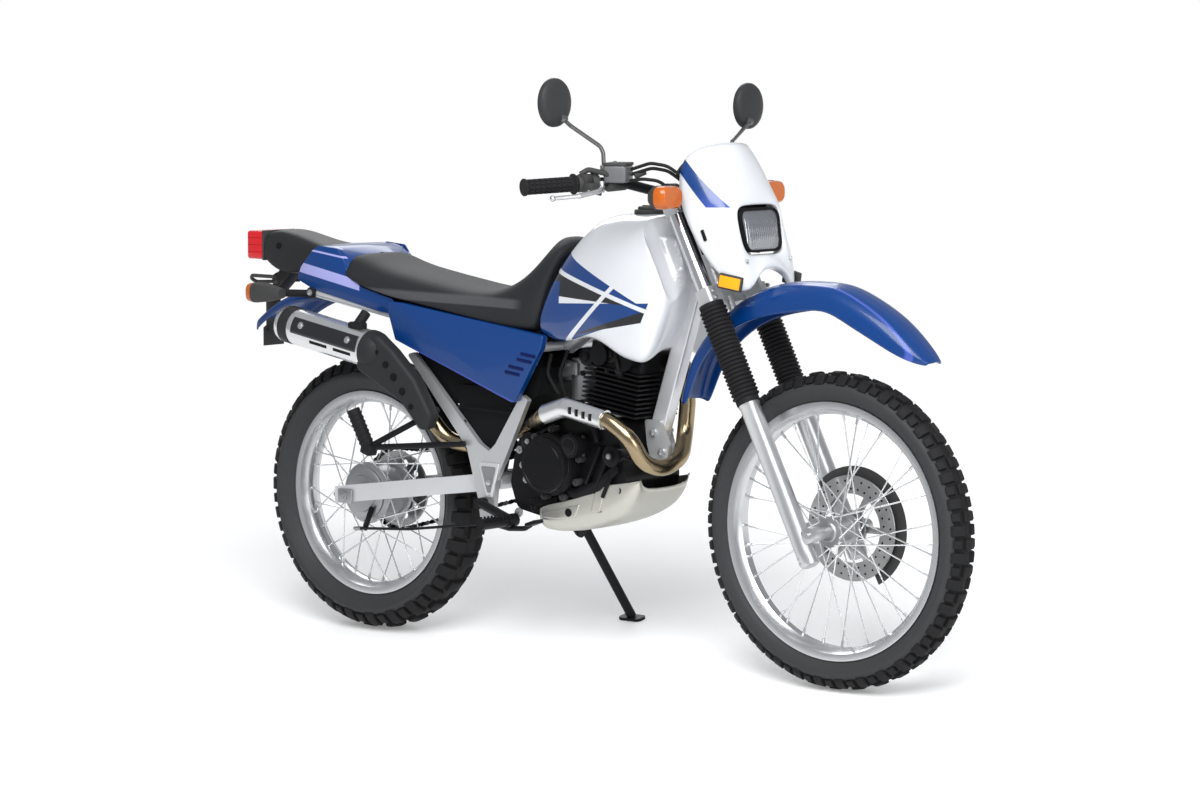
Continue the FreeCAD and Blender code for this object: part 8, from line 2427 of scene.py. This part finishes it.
@dataclass
class Tail:
    """The blue tail cowl, the black housing behind it, the red lens and the mudguard.

    Attributes:
        side: X and Z of the corners of the cowl's sides.
        half: Half the cowl's width.
        top: X, Z, half width and drop of the rim of the cowl's top sections.
        guard: X, Z and half width of the mudguard's sections.
        housing: X, underside, top and half width of the housing's sections.
        lens: Middle of the red lens.
    """

    side: tuple = (
        (-150, 830), (-137, 860), (-100, 900), (-78, 912), (-18, 907), (2, 882), (10, 862), (22, 842),
        (60, 820), (124, 804), (159, 797), (159, 760), (99, 768), (-102, 810),
    )
    half: float = 118.0
    top: tuple = (
        (-100, 898, 110, 0), (-80, 909, 115, 0), (-40, 907, 117, 0),
        (-16, 903, 117.5, 4), (16, 891, 118, 26),
    )
    guard: tuple = (
        (-334, 722, 66), (-330, 724, 78), (-300, 744, 82), (-263, 766, 85), (-227, 784, 86), (-170, 800, 87),
        (-86, 808, 88), (-22, 806, 88),
    )
    housing: tuple = (
        (-322, 866, 930, 55), (-318, 862, 932, 57), (-296, 846, 939, 58), (-262, 834, 941, 58),
        (-197, 836, 926, 59), (-150, 858, 915, 64), (-112, 884, 911, 76), (-98, 894, 906, 80),
    )
    lens: tuple = (-353.0, 0.0, 900.5)

    def build(self) -> None:
        """Makes the tail from front to back."""
        bm = bmesh.new()
        for flip in (-1, 1):
            outward(bm, slab, rounded(self.side, 10, closed=True, steps=4), flip * (self.half - 3.5),
                    flip * self.half, bevel=1.2)
        part = bmesh.new()
        rings = []
        for x, z, w, drop in self.top:
            right = [(x, -w, z - 7 - drop), (x, -w * 0.97, z - 1 - drop * 0.8),
                     (x, -w * 0.88, z + 2 - drop * 0.5)]
            rings.append(arch(right, (x, 0, z + 4)))
        skin(part, rings, wrap=False)
        merge(bm, part, outward=True)
        finish = Finish("tail_paint", BLUE_RGB, "blue_plastic", roughness=0.36, coat=0.3, paint=tail_paint)
        Piece("tail_cowl_shape", finish, sharp_deg=50, hides="tail_cowl").make(bm)
        self._guard()
        self._housing()
        self._lens()

    def _guard(self) -> None:
        """Makes the mudguard under the tail."""
        rings = []
        for x, z, w in self.guard:
            right = [(x, -w, z - 26), (x, -w, z - 10), (x, -w * 0.93, z - 2), (x, -w * 0.6, z + 2)]
            rings.append(arch(right, (x, 0, z + 3)))
        Piece("mudguard_shape", Look.BLUE, levels=1, wall=3.0,
              hides="rear_fender").form(skin, rings, wrap=False)

    def _housing(self) -> None:
        """Makes the black housing behind the tail."""
        rings = []
        for x, low, top, w in self.housing:
            rings.append(ring_x(x, [(0, top), (w * 0.6, top - 1), (w * 0.88, top - 7), (w, top - 22),
                                    (w, low + 14), (w * 0.9, low + 3), (w * 0.6, low), (0, low)]))
        Piece("tail_housing", Look.GREY_PLASTIC, levels=2, hides="tail_piece").form(skin, rings, ends=True)
        self._recesses()

    def _recesses(self) -> None:
        """Makes the dark dots on the housing's sides: painted shade in its recesses."""
        bm = bmesh.new()
        for flip in (-1, 1):
            rod(bm, (-268, flip * 56, 902), (-268, flip * 59.4, 902), 7.5, 24)
        Piece("tail_housing_recess_shade", Look.DARK).make(bm)

    def _lens(self) -> None:
        """Makes the tail light."""
        bm = bmesh.new()
        box(bm, self.lens, (58, 106, 68), bevel=7, segments=4)
        Piece("tail_lens", Look.RED, hides="tail_light").make(bm)
        bm = bmesh.new()
        for z in (884, 901, 918):
            box(bm, (self.lens[0], 0, z), (50, 106.5, 1.2))
        Piece("tail_lens_lines", Look.RED_DEEP).make(bm)
        bm = bmesh.new()
        box(bm, (-325.5, 0, 900.5), (7, 110, 72), bevel=2.5)
        Piece("tail_lens_frame", Look.BLACK).make(bm)


@dataclass
class RearDetails:
    """The plate bracket, rail clamps and the stand's spring.

    Attributes:
        spring: Both ends of the spring.
        coils: Number of its coils.
        coil: Radius of a coil.
    """

    spring: tuple = ((508, 154, 268), (524, 192, 194))
    coils: int = 14
    coil: float = 6.5

    def build(self) -> None:
        """Makes the small parts of the tail and of the stand."""
        bm = bmesh.new()
        slab(bm, [(-24, 776), (24, 776), (24, 706), (34, 700), (34, 656), (-34, 656), (-34, 700),
                  (-24, 706)], -343, -347, Plane.FRONT, bevel=1)
        slab(bm, [(-262, 836), (-300, 846), (-349, 772), (-345, 690), (-339, 690), (-341, 766)], -22,
             22, bevel=1.5)
        for side in (-1, 1):
            loop = [(-292, side * 50, 826), (-372, side * 44, 826), (-382, side * 38, 818),
                    (-372, side * 30, 810), (-292, side * 36, 814)]
            sweep(bm, rounded(loop, 10), 4.5, 12)
        Piece("plate_bracket_shape", Look.BLACK, hides="plate_bracket").make(bm)
        bm = bmesh.new()
        for side in (-1, 1):
            rod(bm, (-104, side * 102, 800), (-104, side * 122, 800), 13, 24, bevel=2)
            rod(bm, (162, side * 100, 758), (162, side * 119, 758), 14, 24, bevel=2)
        Piece("tail_clamps", Look.RUBBER).make(bm)
        bm = bmesh.new()
        for side in (-1, 1):
            bolt(bm, (-104, side * 122, 800), (0, side, 0), 6, 5)
            bolt(bm, (162, side * 118, 758), (0, side, 0), 6, 4)
        Piece("tail_bolts", Look.BOLT).make(bm)
        bm = bmesh.new()
        start, end = Vector(self.spring[0]), Vector(self.spring[1])
        along = (end - start).normalized()
        side = along.cross(UP).normalized()
        up = along.cross(side)
        line = []
        for k in range(121):
            turn = math.tau * self.coils * k / 120
            out = side * math.cos(turn) * self.coil + up * math.sin(turn) * self.coil
            line.append(start.lerp(end, k / 120) + out)
        sweep(bm, line, 1.3, 6)
        Piece("stand_spring", Look.BOLT, Body.STAND).make(bm)


def main() -> None:
    """Builds the scene in order."""
    logging.basicConfig(level=logging.INFO)
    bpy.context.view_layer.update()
    PhotoCamera().build()
    Studio().build()
    dress_nodes()
    for part in SUBASSEMBLIES:
        part.build()


FRONT_WHEEL = Wheel("front", Body.FRONT_WHEEL, (WHEELBASE, FRONT_RADIUS), 345, 39, 42, 281, 28, 31, 34, 72)
REAR_WHEEL = Wheel("rear", Body.REAR_WHEEL, (0.0, REAR_RADIUS), 325, 59, 63, 243, 34, 70, 39, 54, depth=10.0)
SUBASSEMBLIES = [
    FRONT_WHEEL, REAR_WHEEL, Hubs(), Fork(), FrontFender(), HeadlightCowl(), Headlight(), Signals(),
    FuelTank(), Seat(), Engine(), Exhaust(), HeaderShield(), Chain(), Underbody(), Controls(), Mirrors(),
    Clocks(), SideCovers(), Tail(), RearDetails(),
]

if __name__ == "__main__":
    main()
